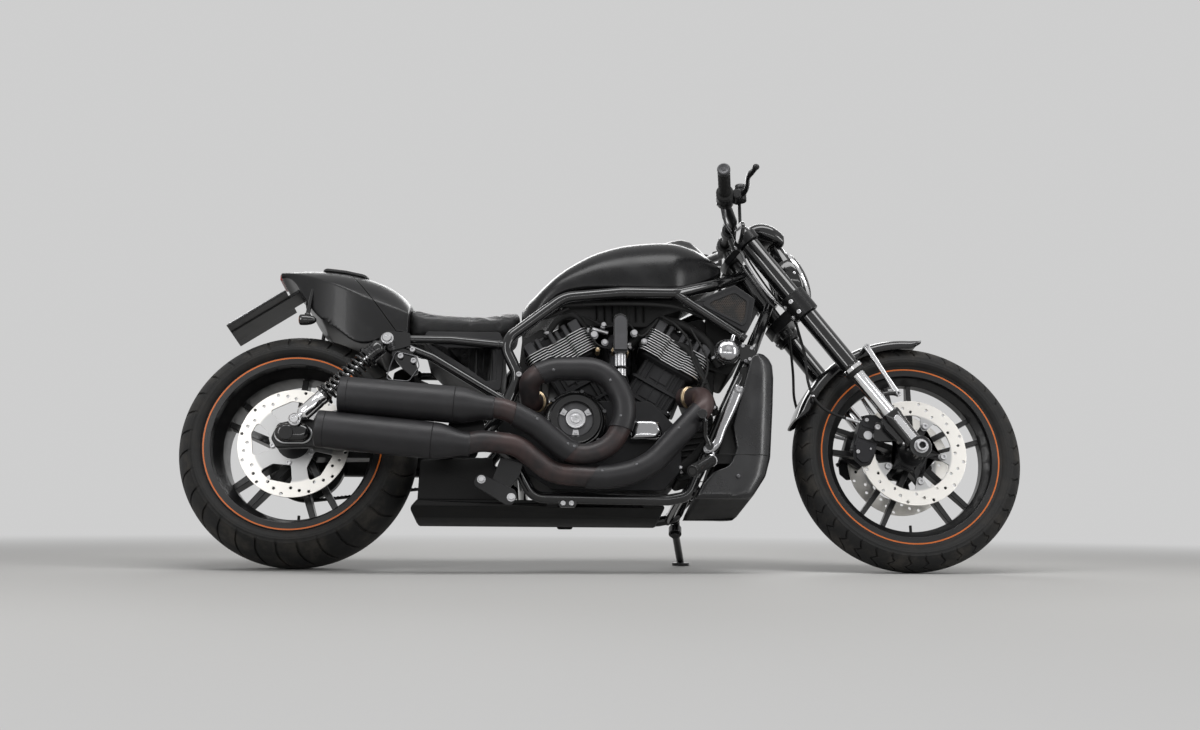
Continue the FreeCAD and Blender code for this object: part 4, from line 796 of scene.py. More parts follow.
def flat_plate(outer, holes, thickness, y):
    """A side view plate cut from an outline with holes, as a mesh in the bike frame in millimetres."""
    curve = bpy.data.curves.new("cut_plate", "CURVE")
    curve.dimensions = "2D"
    curve.fill_mode = "BOTH"
    curve.extrude = thickness / 2 - 0.4
    curve.bevel_depth = 0.4
    curve.offset = -0.4
    for loop in [outer] + holes:
        spline = curve.splines.new("POLY")
        spline.points.add(len(loop) - 1)
        spline.points.foreach_set("co", [c for x, z in loop for c in (x, z, 0.0, 1.0)])
        spline.use_cyclic_u = True
    mesh = settled(loose_object("cut_plate", curve))
    mesh.transform(Matrix(((1, 0, 0, 0), (0, 0, -1, y), (0, 1, 0, 0), (0, 0, 0, 1))))
    return mesh


def ring_of(radius, count, centre=(0.0, 0.0), turn=0.0):
    """Corners of a circle in the side view."""
    return [(centre[0] + radius * math.cos(turn + 2 * math.pi * k / count),
             centre[1] + radius * math.sin(turn + 2 * math.pi * k / count)) for k in range(count)]


# Fasteners

# Corners round a head, and its profile as (height, radius)
HEADS = {
    "hex": (12, [(0.0, 1.25), (0.12, 1.25), (0.12, 0.98), (0.72, 0.98), (0.82, 0.84), (0.82, 0.0)]),
    "socket": (24, [(0.0, 1.0), (0.62, 1.0), (0.78, 0.86), (0.78, 0.52), (0.30, 0.46), (0.30, 0.0)]),
    "dome": (20, [(0.0, 1.0), (0.18, 0.98), (0.42, 0.76), (0.52, 0.46), (0.52, 0.30), (0.34, 0.26),
                  (0.34, 0.0)]),
}


def head_mesh(kind):
    """A fastener head of radius 1 that stands on the ground plane."""
    bm = bmesh.new()
    count, profile = HEADS[kind]
    rows = []
    for z, r in profile:
        if r == 0.0:
            rows.append([bm.verts.new((0, 0, z))])
            continue
        ring = []
        for k in range(count):
            t = 2 * math.pi * k / count
            reach = r
            if kind == "hex" and z > 0.1 and r < 1.2 or kind != "hex" and r < 0.6:
                reach = r * math.cos(math.pi / 6) / math.cos((t + math.pi / 6) % (math.pi / 3) - math.pi / 6)
                reach = min(reach, r * 1.02)
            ring.append(bm.verts.new((reach * math.cos(t), reach * math.sin(t), z)))
        rows.append(ring)
    bm.faces.new(list(reversed(rows[0])))
    for a, b in zip(rows, rows[1:]):
        for i in range(count):
            j = (i + 1) % count
            if len(b) == 1:
                bm.faces.new((a[i], a[j], b[0]))
            else:
                bm.faces.new((a[i], a[j], b[j], b[i]))
    mesh = bpy.data.meshes.new("head_" + kind)
    bm.to_mesh(mesh)
    bm.free()
    return mesh


def fastener_tree():
    """Lays one head on every point of a cloud, turned to the point's aim and sized by its radius."""
    tree = bpy.data.node_groups.new("fastener_heads", "GeometryNodeTree")
    tree.is_modifier = True
    face = tree.interface
    face.new_socket("Points", in_out="INPUT", socket_type="NodeSocketGeometry")
    face.new_socket("Head", in_out="INPUT", socket_type="NodeSocketObject")
    face.new_socket("Finish", in_out="INPUT", socket_type="NodeSocketMaterial")
    face.new_socket("Size", in_out="INPUT", socket_type="NodeSocketFloat")
    face.new_socket("Heads", in_out="OUTPUT", socket_type="NodeSocketGeometry")
    make, link = tree.nodes.new, tree.links.new
    entry, leave = make("NodeGroupInput"), make("NodeGroupOutput")
    head = make("GeometryNodeObjectInfo")
    link(entry.outputs["Head"], head.inputs["Object"])
    aim, size = make("GeometryNodeInputNamedAttribute"), make("GeometryNodeInputNamedAttribute")
    aim.data_type, size.data_type = "FLOAT_VECTOR", "FLOAT"
    aim.inputs["Name"].default_value, size.inputs["Name"].default_value = "aim", "reach"
    turn = make("FunctionNodeAlignRotationToVector")
    turn.axis = "Z"
    link(aim.outputs["Attribute"], turn.inputs["Vector"])
    grow = make("ShaderNodeMath")
    grow.operation = "MULTIPLY"
    link(size.outputs["Attribute"], grow.inputs[0])
    link(entry.outputs["Size"], grow.inputs[1])
    lay = make("GeometryNodeInstanceOnPoints")
    link(entry.outputs["Points"], lay.inputs["Points"])
    link(head.outputs["Geometry"], lay.inputs["Instance"])
    link(turn.outputs["Rotation"], lay.inputs["Rotation"])
    link(grow.outputs[0], lay.inputs["Scale"])
    real, coat = make("GeometryNodeRealizeInstances"), make("GeometryNodeSetMaterial")
    link(lay.outputs["Instances"], real.inputs["Geometry"])
    link(real.outputs["Geometry"], coat.inputs["Geometry"])
    link(entry.outputs["Finish"], coat.inputs["Material"])
    link(coat.outputs["Geometry"], leave.inputs["Heads"])
    return tree


def fasteners(name, body, kind, material, spots):
    """Fastener heads of one kind; a spot is a place, an aim and a radius, in the bike frame."""
    tree = bpy.data.node_groups.get("fastener_heads") or fastener_tree()
    cloud = bpy.data.meshes.new(name)
    cloud.from_pydata([BIKE @ (Vector(p) / 1000) for p, aim, r in spots], [], [])
    turn = BIKE.to_3x3()
    aims = cloud.attributes.new("aim", "FLOAT_VECTOR", "POINT")
    aims.data.foreach_set("vector", [c for p, aim, r in spots for c in turn @ Vector(aim).normalized()])
    sizes = cloud.attributes.new("reach", "FLOAT", "POINT")
    sizes.data.foreach_set("value", [r / 1000 for p, aim, r in spots])
    head = loose_object("head", head_mesh(kind))
    holder = loose_object(name, cloud)
    step = holder.modifiers.new("heads", "NODES")
    step.node_group = tree
    sockets = {item.name: item.identifier for item in tree.interface.items_tree}
    step[sockets["Head"]] = head
    step[sockets["Finish"]] = MATERIALS[material]
    step[sockets["Size"]] = 1.0
    mesh = settled(holder)
    mesh.name = name
    old = head.data
    bpy.data.objects.remove(head)
    bpy.data.meshes.remove(old)
    for attribute in ("aim", "reach"):
        if attribute in mesh.attributes:
            mesh.attributes.remove(mesh.attributes[attribute])
    crisp(mesh, 35.0)
    return place_piece(name, mesh, body, [material])


def bolt_circle(centre, aim, radius, count, start, head):
    """Spots round a circle in the side view; start is in degrees, head the radius of a head."""
    return [(centre + Vector((x, 0, z)), aim, head)
            for x, z in ring_of(radius, count, turn=math.radians(start))]


def both_sides(spots):
    """The same spots on both sides of the bike."""
    return spots + [((x, -y, z), (a, -b, c), r) for (x, y, z), (a, b, c), r in spots]


# Wheels

TREAD_EDGE = 0.93          # where the crown meets the wall, as a share of the half width
BEAD_LIP = 14.0            # height of the rim's lip over the bead
WALL_STEPS, TREAD_STEPS = 25, 49
WALL_RINGS, RING_HEIGHT = (3, 4, 12, 13, 20), 0.8
TYRE_WALL = 9.0
GROOVE_FADE = 16.0         # how far down the wall a groove runs out


def through(a, m, b, count):
    """Points on the arc through three points, each a complex number."""
    w = (b - a) / (m - a)
    centre = (m - a) * (w - abs(w) ** 2) / (2j * w.imag) + a
    first, last = a - centre, b - centre
    turn = cmath.phase(last / first)
    if cmath.phase((m - centre) / first) * turn < 0:
        turn -= math.copysign(2 * math.pi, turn)
    return [centre + first * cmath.exp(1j * turn * k / (count - 1)) for k in range(count)]


def tyre_section(settings, half, crown, rim_half):
    """The outer skin across a tyre from bead to bead, as y + radius j, with its wall's raised rings."""
    top, bead = settings.tyre_radius, settings.bead_radius
    edge = half * TREAD_EDGE
    shoulder = complex(edge, top - crown + math.sqrt(crown ** 2 - edge ** 2))
    neck = complex(rim_half, bead + BEAD_LIP)
    belly = complex(half, neck.imag + 0.5 * (shoulder.imag - neck.imag))
    wall = through(neck, belly, shoulder, WALL_STEPS)
    centre = complex(0.4 * half, belly.imag)
    for k in WALL_RINGS:
        wall[k] += (wall[k] - centre) / abs(wall[k] - centre) * RING_HEIGHT
    tread = through(shoulder, complex(0, top), complex(-edge, shoulder.imag), TREAD_STEPS)
    left = [complex(rim_half, bead)] + wall
    right = [complex(-p.real, p.imag) for p in reversed(left)]
    return left + tread[1:-1] + right, len(left) - 1


def build_tyre(name, body, settings, axle, half, crown, rim_half):
    """A tyre whose mesh lines follow its grooves."""
    section, first = tyre_section(settings, half, crown, rim_half)
    count = len(section)
    tread_count = count - 2 * first
    periods = settings.grooves
    width = settings.groove_width / 2
    pitch = 2 * math.pi * settings.tyre_radius / periods
    # columns of one period: a groove for the left half, plain rubber, a groove for the right half
    steps = [(-width, 0), (-width * 0.7, 1), (width * 0.7, 1), (width, 0)]
    columns = []
    for start in (0.0, 0.5):
        columns += [(start * pitch + s, deep, 1 if start == 0.0 else -1) for s, deep in steps]
        columns += [(start * pitch + width + (pitch / 2 - 2 * width) * k / 5, 0, 0) for k in (1, 2, 3, 4)]
    path = list(settings.groove_path)
    inner = [complex(p.real * (1 - TYRE_WALL / half), p.imag - TYRE_WALL) for p in section[first::6]]
    inner = [p for p in inner if abs(p.real) < rim_half * 1.4]
    total = periods * len(columns)
    rows = count + len(inner)
    points = np.zeros((total, rows, 3))
    for c in range(total):
        offset, deep, side = columns[c % len(columns)]
        along = (c // len(columns)) * pitch + offset
        for r in range(count):
            p, cut = section[r], 0.0
            share = abs(p.real) / (half * TREAD_EDGE)
            on_tread = first <= r < first + tread_count
            shift = np.interp(min(share, 1.0), np.linspace(0, 1, len(path)), path)
            if on_tread and deep and side * p.real > 0:
                cut = settings.groove_depth * min(1.0, max(0.0, (share - settings.groove_start) * 12))
            elif deep and not on_tread and side * p.real > 0 and p.imag > section[first].imag - GROOVE_FADE:
                cut = settings.groove_depth * 0.55 * (1 - (section[first].imag - p.imag) / GROOVE_FADE)
            angle = (along + shift) / settings.tyre_radius
            radius = p.imag - cut
            y = p.real - math.copysign(cut * 0.35 * share, p.real)
            points[c, r] = (radius * math.cos(angle), y, radius * math.sin(angle))
        for r, p in enumerate(reversed(inner)):
            angle = (along + path[0]) / settings.tyre_radius
            points[c, count + r] = (p.imag * math.cos(angle), p.real, p.imag * math.sin(angle))
    points += np.array(axle)
    index = np.arange(total * rows).reshape(total, rows)
    after = np.roll(index, -1, axis=0)
    quads = np.stack([index, np.roll(index, -1, axis=1), np.roll(after, -1, axis=1), after],
                     axis=-1).reshape(-1, 4)
    mesh = bpy.data.meshes.new(name)
    mesh.from_pydata(points.reshape(-1, 3).tolist(), [], quads.tolist())
    across = np.clip(np.arange(rows) / (count - 1), 0, 1)
    around = np.arange(total) / total
    where = mesh.uv_layers.new(name="map")
    corner = quads.reshape(-1)
    values = np.stack([around[corner // rows], across[corner % rows]], axis=-1)
    where.data.foreach_set("uv", values.astype(np.float32).ravel())
    mesh.transform(BIKE @ Matrix.Scale(0.001, 4))
    bm = bmesh.new()
    bm.from_mesh(mesh)
    bmesh.ops.recalc_face_normals(bm, faces=bm.faces)
    bm.to_mesh(mesh)
    bm.free()
    crisp(mesh, 40.0)
    place_piece(name, mesh, body, ["tyre_rubber"], [name.replace("_dressed", "")])


def build_tyres(context):
    """Both tyres with their tread."""
    front, rear = context.scene.front_tyre, context.scene.rear_tyre
    build_tyre("front_tyre_dressed", "front_wheel", front, FRONT_AXLE, 60.0, 68.0, 38.0)
    build_tyre("rear_tyre_dressed", "rear_wheel", rear, REAR_AXLE, 120.0, 165.0, 102.0)


DISC_R, DISC_T = 150.0, 5.0
DISC_HOLES = 36
FRONT_DISC_Y, REAR_DISC_Y = 72.0, 98.0
DISC_BOLT_R, DISC_TURN = 84.0, math.radians(-8)


def drillings(inner, outer, count=DISC_HOLES):
    """Two staggered rings of small holes, in threes that step outwards."""
    holes = []
    for k in range(count):
        reach = inner + (outer - inner) * (k % 3) / 2
        t = 2 * math.pi * k / count
        holes.append(ring_of(4.4, 12, (reach * math.cos(t), reach * math.sin(t))))
    return holes


def lug_ring(inner, bolt, count, turn):
    """Inner edge of a floating disc: a circle with one rounded lug for each bolt."""
    out = []
    for k in range(count):
        a = turn + 2 * math.pi * k / count
        for t, r in ((-0.30, inner), (-0.19, inner - 4), (-0.155, bolt + 4), (-0.12, bolt - 6),
                     (-0.06, bolt - 12), (0.0, bolt - 13.5), (0.06, bolt - 12), (0.12, bolt - 6),
                     (0.155, bolt + 4), (0.19, inner - 4), (0.30, inner)):
            out.append((r * math.cos(a + t), r * math.sin(a + t)))
        for s in range(1, 6):
            t = 0.30 + (2 * math.pi / count - 0.60) * s / 6
            out.append((inner * math.cos(a + t), inner * math.sin(a + t)))
    return out


def side_plate(mesh, centre, name, body, material, stands_for=()):
    """Set a flat plate at its place across the bike."""
    mesh.transform(Matrix.Translation(centre))
    mesh.transform(BIKE @ Matrix.Scale(0.001, 4))
    crisp(mesh, 30.0)
    return place_piece(name, mesh, body, [material], stands_for)


def join_meshes(name, meshes):
    """One mesh from several."""
    bm = bmesh.new()
    for mesh in meshes:
        bm.from_mesh(mesh)
        bpy.data.meshes.remove(mesh)
    out = bpy.data.meshes.new(name)
    bm.to_mesh(out)
    bm.free()
    return out


def build_discs():
    """Drilled brake discs with their bolts, and the rear disc's seat."""
    bolts = ring_of(DISC_BOLT_R, 5, turn=DISC_TURN)
    bores = [ring_of(9.3, 16, b) for b in bolts]
    inner = lug_ring(108.0, DISC_BOLT_R, 5, DISC_TURN)
    rings = [flat_plate(ring_of(DISC_R, 120), drillings(118.0, 142.0) + [inner] + bores, DISC_T, y)
             for y in (FRONT_DISC_Y, -FRONT_DISC_Y)]
    side_plate(join_meshes("front_disc_rings", rings), FRONT_AXLE, "front_disc_rings", "front_wheel",
               "front_disc_steel", ["front_discs"])
    # rear disc: five swept arms between its windows
    windows = []
    for k in range(5):
        t = math.radians(72 * k + 20)
        shape = soft_corners([(-14, 60), (34, 70), (60, 98), (30, 114), (-34, 108)], [8, 12, 8, 16, 8])
        windows.append([(x * math.cos(t) - z * math.sin(t), x * math.sin(t) + z * math.cos(t))
                        for x, z in shape])
    plate = flat_plate(ring_of(DISC_R, 120), drillings(124.0, 142.0) + windows + [ring_of(44.0, 48)], DISC_T,
                       -REAR_DISC_Y)
    side_plate(plate, REAR_AXLE, "rear_disc_plate", "rear_wheel", "rear_disc_steel", ["rear_disc"])
    # bolts of the front discs on both sides, and of the rear disc
    spots = [((FRONT_AXLE.x + x, side * (FRONT_DISC_Y + 3), FRONT_AXLE.z + z), (0, side, 0), 9.0)
             for x, z in bolts for side in (-1, 1)]
    fasteners("front_disc_bolts", "front_wheel", "socket", "satin_steel", spots)
    fasteners("rear_disc_bolts", "rear_wheel", "socket", "satin_steel",
              bolt_circle(REAR_AXLE - ACROSS * (REAR_DISC_Y + 2.5), -ACROSS, 56, 5, 44, 7.5))
    hub = Shape()
    hub.collar(REAR_AXLE - ACROSS * 84, REAR_AXLE - ACROSS * (REAR_DISC_Y + 2.4), 50, 12, 40, 3)
    hub.finish("rear_disc_seat", "rear_wheel", "rear_wheel_satin")


def build_wheels():
    """Cast wheels with their valves, and the toothed pulley."""
    refined("front_wheel_cast", "front_wheel", "front_wheel_satin", "front_wheel_casting", bevel=1.6,
            angle=28)
    refined("rear_wheel_cast", "rear_wheel", "rear_wheel_satin", "rear_wheel_casting", bevel=1.8, angle=28)
    refined("rear_pulley_cast", "rear_wheel", "rear_wheel_satin", "rear_pulley", bevel=1.2)
    for which, axle, y, radius, length in (("front", FRONT_AXLE, 0, 222, 30),
                                           ("rear", REAR_AXLE, 40, 206, 34)):
        foot = axle + Vector((0, y, -radius))
        stem = Shape()
        stem.rod(foot, foot + UP * length, 4.0, edge=0.8)
        stem.finish(which + "_valve", which + "_wheel", "rubber_black")


# Bodywork

# station, half width, base, side shoulder, top
TANK_STATIONS = [(610, 90, 676, 690, 744), (630, 108, 690, 704, 768), (663, 130, 716, 738, 798),
                 (700, 145, 744, 768, 832), (735, 154, 760, 784, 861), (780, 162, 767, 796, 890),
                 (819, 166, 768, 804, 911), (860, 167, 768, 808, 927), (903, 167, 768, 812, 939),
                 (960, 166, 768, 816, 947), (1010, 161, 770, 822, 951), (1050, 151, 776, 828, 950),
                 (1100, 126, 794, 838, 938), (1145, 100, 822, 850, 912), (1180, 80, 848, 860, 884)]
# station, height of the ridge above the shell, half width of the ridge
TANK_RIDGE = [(610, 0, 30), (960, 0, 30), (1000, 6, 34), (1040, 22, 42), (1072, 34, 44), (1100, 34, 44),
              (1130, 22, 42), (1160, 8, 36), (1180, 2, 30)]


def column(table, which, x):
    """A value of a table of stations, straight between its rows."""
    return float(np.interp(x, [row[0] for row in table], [row[which] for row in table]))


def curve_column(table, which, x):
    """A smooth value between the rows of a table."""
    xs = [row[0] for row in table]
    i = max(0, min(len(xs) - 2, int(np.searchsorted(xs, x)) - 1))
    rows = [table[max(0, min(len(table) - 1, i + k))][which] for k in (-1, 0, 1, 2)]
    t = (x - xs[i]) / (xs[i + 1] - xs[i])
    a, b, c, d = rows
    return b + 0.5 * t * (c - a + t * (2 * a - 5 * b + 4 * c - d + t * (3 * (b - c) + d - a)))


def shell_ring(x, half, base, side, top, ridge=0.0, ridge_half=40.0, fold=7.0, count=36, power=2.35):
    """A domed shell's section: rounded foot, upright side, soft crown and a ridge along the middle."""
    ring = []
    for k in range(count + 1):
        t = math.pi * k / count
        c, s = math.cos(t), math.sin(t)
        y = half * math.copysign(abs(c) ** (2 / power), c)
        z = side + (top - side) * abs(s) ** (2 / (power * 0.94))
        z += ridge * math.exp(-(y / ridge_half) ** 4)
        ring.append(Vector((x, y, z)))
    inset = half - fold
    foot = [Vector((x, -half, base + fold)), Vector((x, -half + fold * 0.3, base + fold * 0.3)),
            Vector((x, -inset, base)), Vector((x, 0, base)), Vector((x, inset, base)),
            Vector((x, half - fold * 0.3, base + fold * 0.3)), Vector((x, half, base + fold))]
    return ring + foot


def build_tank():
    """Tank cover as one smooth shell with its ridge."""
    shape = Shape()
    first, last = TANK_STATIONS[0][0], TANK_STATIONS[-1][0]
    rings = []
    count = 84
    for k in range(count + 1):
        x = first + (last - first) * k / count
        end = min(x - first, last - x)
        tuck = 1 - 0.10 * max(0.0, 1 - end / 14) ** 2
        half, base, side, top = (curve_column(TANK_STATIONS, c, x) for c in (1, 2, 3, 4))
        ridge, ridge_half = column(TANK_RIDGE, 1, x), column(TANK_RIDGE, 2, x)
        middle = base + (top - base) * 0.5
        top = middle + (top - middle) * tuck
        rings.append(shell_ring(x, half * tuck, base, side, top, ridge, ridge_half))
    shape.skin(rings)
    shape.finish("tank_shell", "chassis", "tank_black", angle=50, stands_for=["tank_cover"])


def build_tail():
    """Tail cowl in two panels with the seam of the seat cover between them."""
    mesh = melted("tail_cowl_skin", ["tail_cowl"], 3.4, 5)
    place = BIKE @ (Vector((112, 0, 845)) / 1000)
    normal = (BIKE.to_3x3() @ Vector((0.80, 0, 0.60))).normalized()
    halves = []
    for way in (-1, 1):
        bm = bmesh.new()
        bm.from_mesh(mesh)
        cut = bmesh.ops.bisect_plane(bm, geom=bm.verts[:] + bm.edges[:] + bm.faces[:],
                                     plane_co=place + normal * (0.0009 * way), plane_no=normal * way,
                                     clear_inner=True)
        rim = [e for e in cut["geom_cut"] if isinstance(e, bmesh.types.BMEdge)]
        bmesh.ops.holes_fill(bm, edges=rim)
        part = bpy.data.meshes.new("tail_half")
        bm.to_mesh(part)
        bm.free()
        halves.append(part)
    bpy.data.meshes.remove(mesh)
    out = join_meshes("tail_cowl_skin", halves)
    crisp(out, 55.0)
    place_piece("tail_cowl_skin", out, "chassis", ["satin_black"], ["tail_cowl"])


SEAT_SWELL = 6.0                       # furthest that the cloth may carry a point
SEAT_SEAMS = (392.0, 470.0, 548.0)     # stations of the sewn channels
SEAM_HALF, SEAM_DEPTH, SEAM_FLOOR = 7.0, 3.2, 665.0


def points_of(mesh):
    """A mesh's points as rows of an array."""
    places = np.zeros(len(mesh.vertices) * 3)
    mesh.vertices.foreach_get("co", places)
    return places.reshape(-1, 3)


def build_seat():
    """The padded seat: a slack copy swells under pressure, then gets its seams."""
    mesh = melted("seat_pad", ["seat"], 6.0, 6)
    rest = points_of(mesh)
    work = loose_object("seat_pad", mesh)
    cloth = work.modifiers.new("cloth", "CLOTH")
    cloth.settings.quality = 5
    cloth.settings.mass = 0.3
    cloth.settings.tension_stiffness = 15
    cloth.settings.compression_stiffness = 15
    cloth.settings.use_pressure = True
    cloth.settings.uniform_pressure_force = 4.0
    cloth.settings.effector_weights.gravity = 0.0
    cloth.collision_settings.use_collision = False
    cloth.point_cache.frame_start, cloth.point_cache.frame_end = 1, 20
    for step in range(1, 21):
        bpy.context.scene.frame_set(step)
    mesh = settled(work)
    bpy.context.scene.frame_set(1)
    go = points_of(mesh) - rest
    far = np.linalg.norm(go, axis=1, keepdims=True)
    go *= np.minimum(1.0, SEAT_SWELL / 1000 / np.maximum(far, 1e-9))
    low, high = (np.array(c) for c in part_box("seat"))
    moved = np.clip(rest + go, low - 0.001, high + 0.006)
    mesh.vertices.foreach_set("co", moved.ravel())
    bm = bmesh.new()
    bm.from_mesh(mesh)
    bmesh.ops.recalc_face_normals(bm, faces=bm.faces)
    # sewn channels across the pad
    for v in bm.verts:
        p = UNBIKE @ v.co * 1000
        for x in SEAT_SEAMS:
            near = abs(p.x - x)
            if near < SEAM_HALF and p.z > SEAM_FLOOR:
                v.co -= v.normal * (SEAM_DEPTH / 1000 * (1 - near / SEAM_HALF) ** 2)
    bm.to_mesh(mesh)
    bm.free()
    crisp(mesh, 180.0)
    pad = place_piece("seat_pad", mesh, "chassis", ["seat_vinyl"], ["seat"])
    finer = pad.modifiers.new("finer", "SUBSURF")
    finer.levels = finer.render_levels = 1


# Exhaust

PIPE_R, SHIELD_R, PIPE_Y, MUFFLER_R, MUFFLER_Y = 28.0, 31.6, -212.0, 48.5, -272.0
REAR_PIPE = [(664, -96, 452), (636, -150, 440), (634, PIPE_Y + 6, 490), (700, PIPE_Y, 513),
             (842, PIPE_Y, 516), (903, PIPE_Y, 400), (848, PIPE_Y, 288), (753, PIPE_Y, 273),
             (652, PIPE_Y - 38, 346), (562, MUFFLER_Y, 389), (520, MUFFLER_Y, 384)]
REAR_BENDS = [0, 28, 38, 110, 100, 114, 104, 88, 100, 120, 0]
FRONT_PIPE = [(1060, -96, 470), (1104, -150, 458), (1110, PIPE_Y + 12, 420), (1040, PIPE_Y + 8, 342),
              (948, PIPE_Y + 8, 240), (840, PIPE_Y + 8, 217), (700, PIPE_Y + 8, 226), (604, PIPE_Y - 38, 292),
              (510, MUFFLER_Y, 297), (466, MUFFLER_Y, 284)]
FRONT_BENDS = [0, 30, 44, 200, 190, 260, 110, 90, 120, 0]
SHIELD_BLEND = 42.0        # how far in from an end its slant reaches
# pipe, start and end as places near the path, slant of each end
SHIELDS = [("rear", (662, PIPE_Y, 500), (872, PIPE_Y, 346), 8, 16),
           ("rear", (748, -216, 280), (606, -250, 368), 14, 10),
           ("front", (1068, -202, 373), (796, -204, 219), 10, -18)]
MUFFLERS = (((144, MUFFLER_Y, 416), (545, MUFFLER_Y, 384)), ((90, MUFFLER_Y, 324), (486, MUFFLER_Y, 286)))
CAN_LENGTH = 310.0


def nearest(path, place):
    """Index of the point of a path that is nearest to a place."""
    place = Vector(place)
    return min(range(len(path)), key=lambda i: (path[i] - place).length)


def build_pipes():
    """Header pipes with their heat shields, screws and flanges."""
    paths = {"rear": bend_path(REAR_PIPE, REAR_BENDS), "front": bend_path(FRONT_PIPE, FRONT_BENDS)}
    bare = Shape()
    for path in paths.values():
        bare.tube(path, PIPE_R, 40)
    bare.finish("header_pipes_bare", "chassis", "header_dark", stands_for=["header_pipes"])
    cover = Shape()
    spots = []
    for which, start, end, slant_a, slant_b in SHIELDS:
        path = paths[which]
        part = path[nearest(path, start):nearest(path, end) + 1]
        rings = cover.rings(part, [SHIELD_R] * len(part), 40)
        reach = [0.0]
        for a, b in zip(part, part[1:]):
            reach.append(reach[-1] + (b - a).length)
        for k, ring in enumerate(rings):
            ahead = (part[min(k + 1, len(part) - 1)] - part[max(k - 1, 0)]).normalized()
            first = max(0.0, 1 - reach[k] / SHIELD_BLEND) ** 2 * slant_a
            last = max(0.0, 1 - (reach[-1] - reach[k]) / SHIELD_BLEND) ** 2 * slant_b
            for p in ring:
                side = (p - part[k]).z / SHIELD_R
                p += ahead * (side * (last - first))
        lips = [[part[k] + (p - part[k]) * share for p in rings[k]]
                for k, share in ((0, 0.9), (0, 0.975), (-1, 0.975), (-1, 0.9))]
        cover.skin(lips[:2] + rings + lips[2:], caps=False)
        for share in (0.08, 0.5, 0.9):
            k = int(share * (len(part) - 1))
            ahead = (part[k + 1] - part[k]).normalized()
            aim = (-ACROSS - ahead * (-ACROSS).dot(ahead)).normalized()
            aim = (aim + ahead.cross(aim) * 0.35).normalized()
            spots.append((part[k] + aim * (SHIELD_R - 0.6), aim, 4.2))
    cover.finish("exhaust_shields", "chassis", "ceramic_dark", angle=45)
    fasteners("exhaust_shield_screws", "chassis", "dome", "dark_steel", spots)
    # flanges and nuts at the ports
    flange = Shape()
    for port, aim in ((REAR_PIPE[0], (-0.46, -0.88, -0.19)), (FRONT_PIPE[0], (0.62, -0.77, -0.17))):
        a, d = Vector(port), Vector(aim).normalized()
        flange.collar(a + d * 20, a + d * 28, 31.5, 26, 40, 1.6)
        flange.collar(a + d * 28, a + d * 32, 29, 26, 40, 1.0)
    flange.finish("exhaust_flanges", "chassis", "collar_brass")


def build_mufflers():
    """Mufflers with their dark outlets and the bracket that holds them."""
    cans, inner = Shape(), Shape()
    for rear, front in MUFFLERS:
        rear, length = Vector(rear), (Vector(front) - Vector(rear)).length
        d = (Vector(front) - rear).normalized()
        side = d.cross(ACROSS).normalized()
        cone = length - CAN_LENGTH
        profile = [(58, 36.6), (3, 36.6), (0.6, 38), (0, 41), (0.6, 46), (2.4, 48), (5, MUFFLER_R),
                   (22, MUFFLER_R), (23, MUFFLER_R - 0.9), (24, MUFFLER_R), (150, MUFFLER_R),
                   (CAN_LENGTH - 12, MUFFLER_R), (CAN_LENGTH - 10.5, MUFFLER_R - 1.4),
                   (CAN_LENGTH - 9, MUFFLER_R - 0.2), (CAN_LENGTH, MUFFLER_R - 0.6)]
        for k in range(1, 9):
            t = k / 8
            ease = t * t * (3 - 2 * t)
            profile.append((CAN_LENGTH + cone * 0.86 * t, MUFFLER_R - 0.8 + (PIPE_R + 4.6 - MUFFLER_R)
                            * ease))
        profile += [(length - 6, PIPE_R + 3.6), (length - 3, PIPE_R + 3.2), (length, PIPE_R + 1.2),
                    (length, PIPE_R - 1), (length - 20, PIPE_R - 1)]
        cans.lathe(rear, d, profile, 56)
        inner.lathe(rear, d, [(59, 35), (59, 20), (6, 20), (5, 21), (5, 25), (6, 26), (59, 26)], 40)
        for k in range(14):
            t = 2 * math.pi * k / 14
            spoke = side * math.cos(t) + d.cross(side) * math.sin(t)
            inner.rod(rear + d * 57 + spoke * 25, rear + d * 57 + spoke * 36, 1.6, count=8)
    cans.finish("muffler_cans", "chassis", "ceramic_dark", angle=40, stands_for=["mufflers"])
    inner.finish("muffler_outlets", "chassis", "dark_steel")
    refined("exhaust_bracket_plates", "chassis", "satin_black", "exhaust_bracket", bevel=1.2)
    spots = [((x, y, z), -ACROSS, r) for x, y, z, r in ((514, -232.6, 203, 9), (592, -232.6, 156, 9),
                                                        (446, -224.5, 300, 7), (490, -224.5, 300, 7))]
    fasteners("exhaust_bracket_bolts", "chassis", "hex", "satin_steel", spots)


# Engine

CRANK = Vector((880, 0, 320))
VEE_HALF = math.radians(30)
FIN_COUNT, FIN_START, FIN_PITCH, FIN_T = 10, 281.0, 7.3, 2.9
HEAD_HALF_X, HEAD_HALF_Y, FIN_RECESS = 97.0, 122.0, 9.0


def cylinder_frame(sign):
    """Places along, across and out of one cylinder: s from the crank, x ahead of it, y across the bike."""
    s_dir = Vector((math.sin(sign * VEE_HALF), 0, math.cos(VEE_HALF)))
    x_dir = Vector((s_dir.z, 0, -s_dir.x))
    return lambda x, y, s: CRANK + x_dir * x + ACROSS * y + s_dir * s


def rounded_rect(half_x, half_y, radius, steps=5):
    """Corners of a rectangle with round corners."""
    out = []
    for cx, cy, start in ((1, 1, 0), (-1, 1, 90), (-1, -1, 180), (1, -1, 270)):
        for k in range(steps + 1):
            t = math.radians(start + 90 * k / steps)
            out.append((cx * (half_x - radius) + radius * math.cos(t), cy * (half_y - radius)
                        + radius * math.sin(t)))
    return out


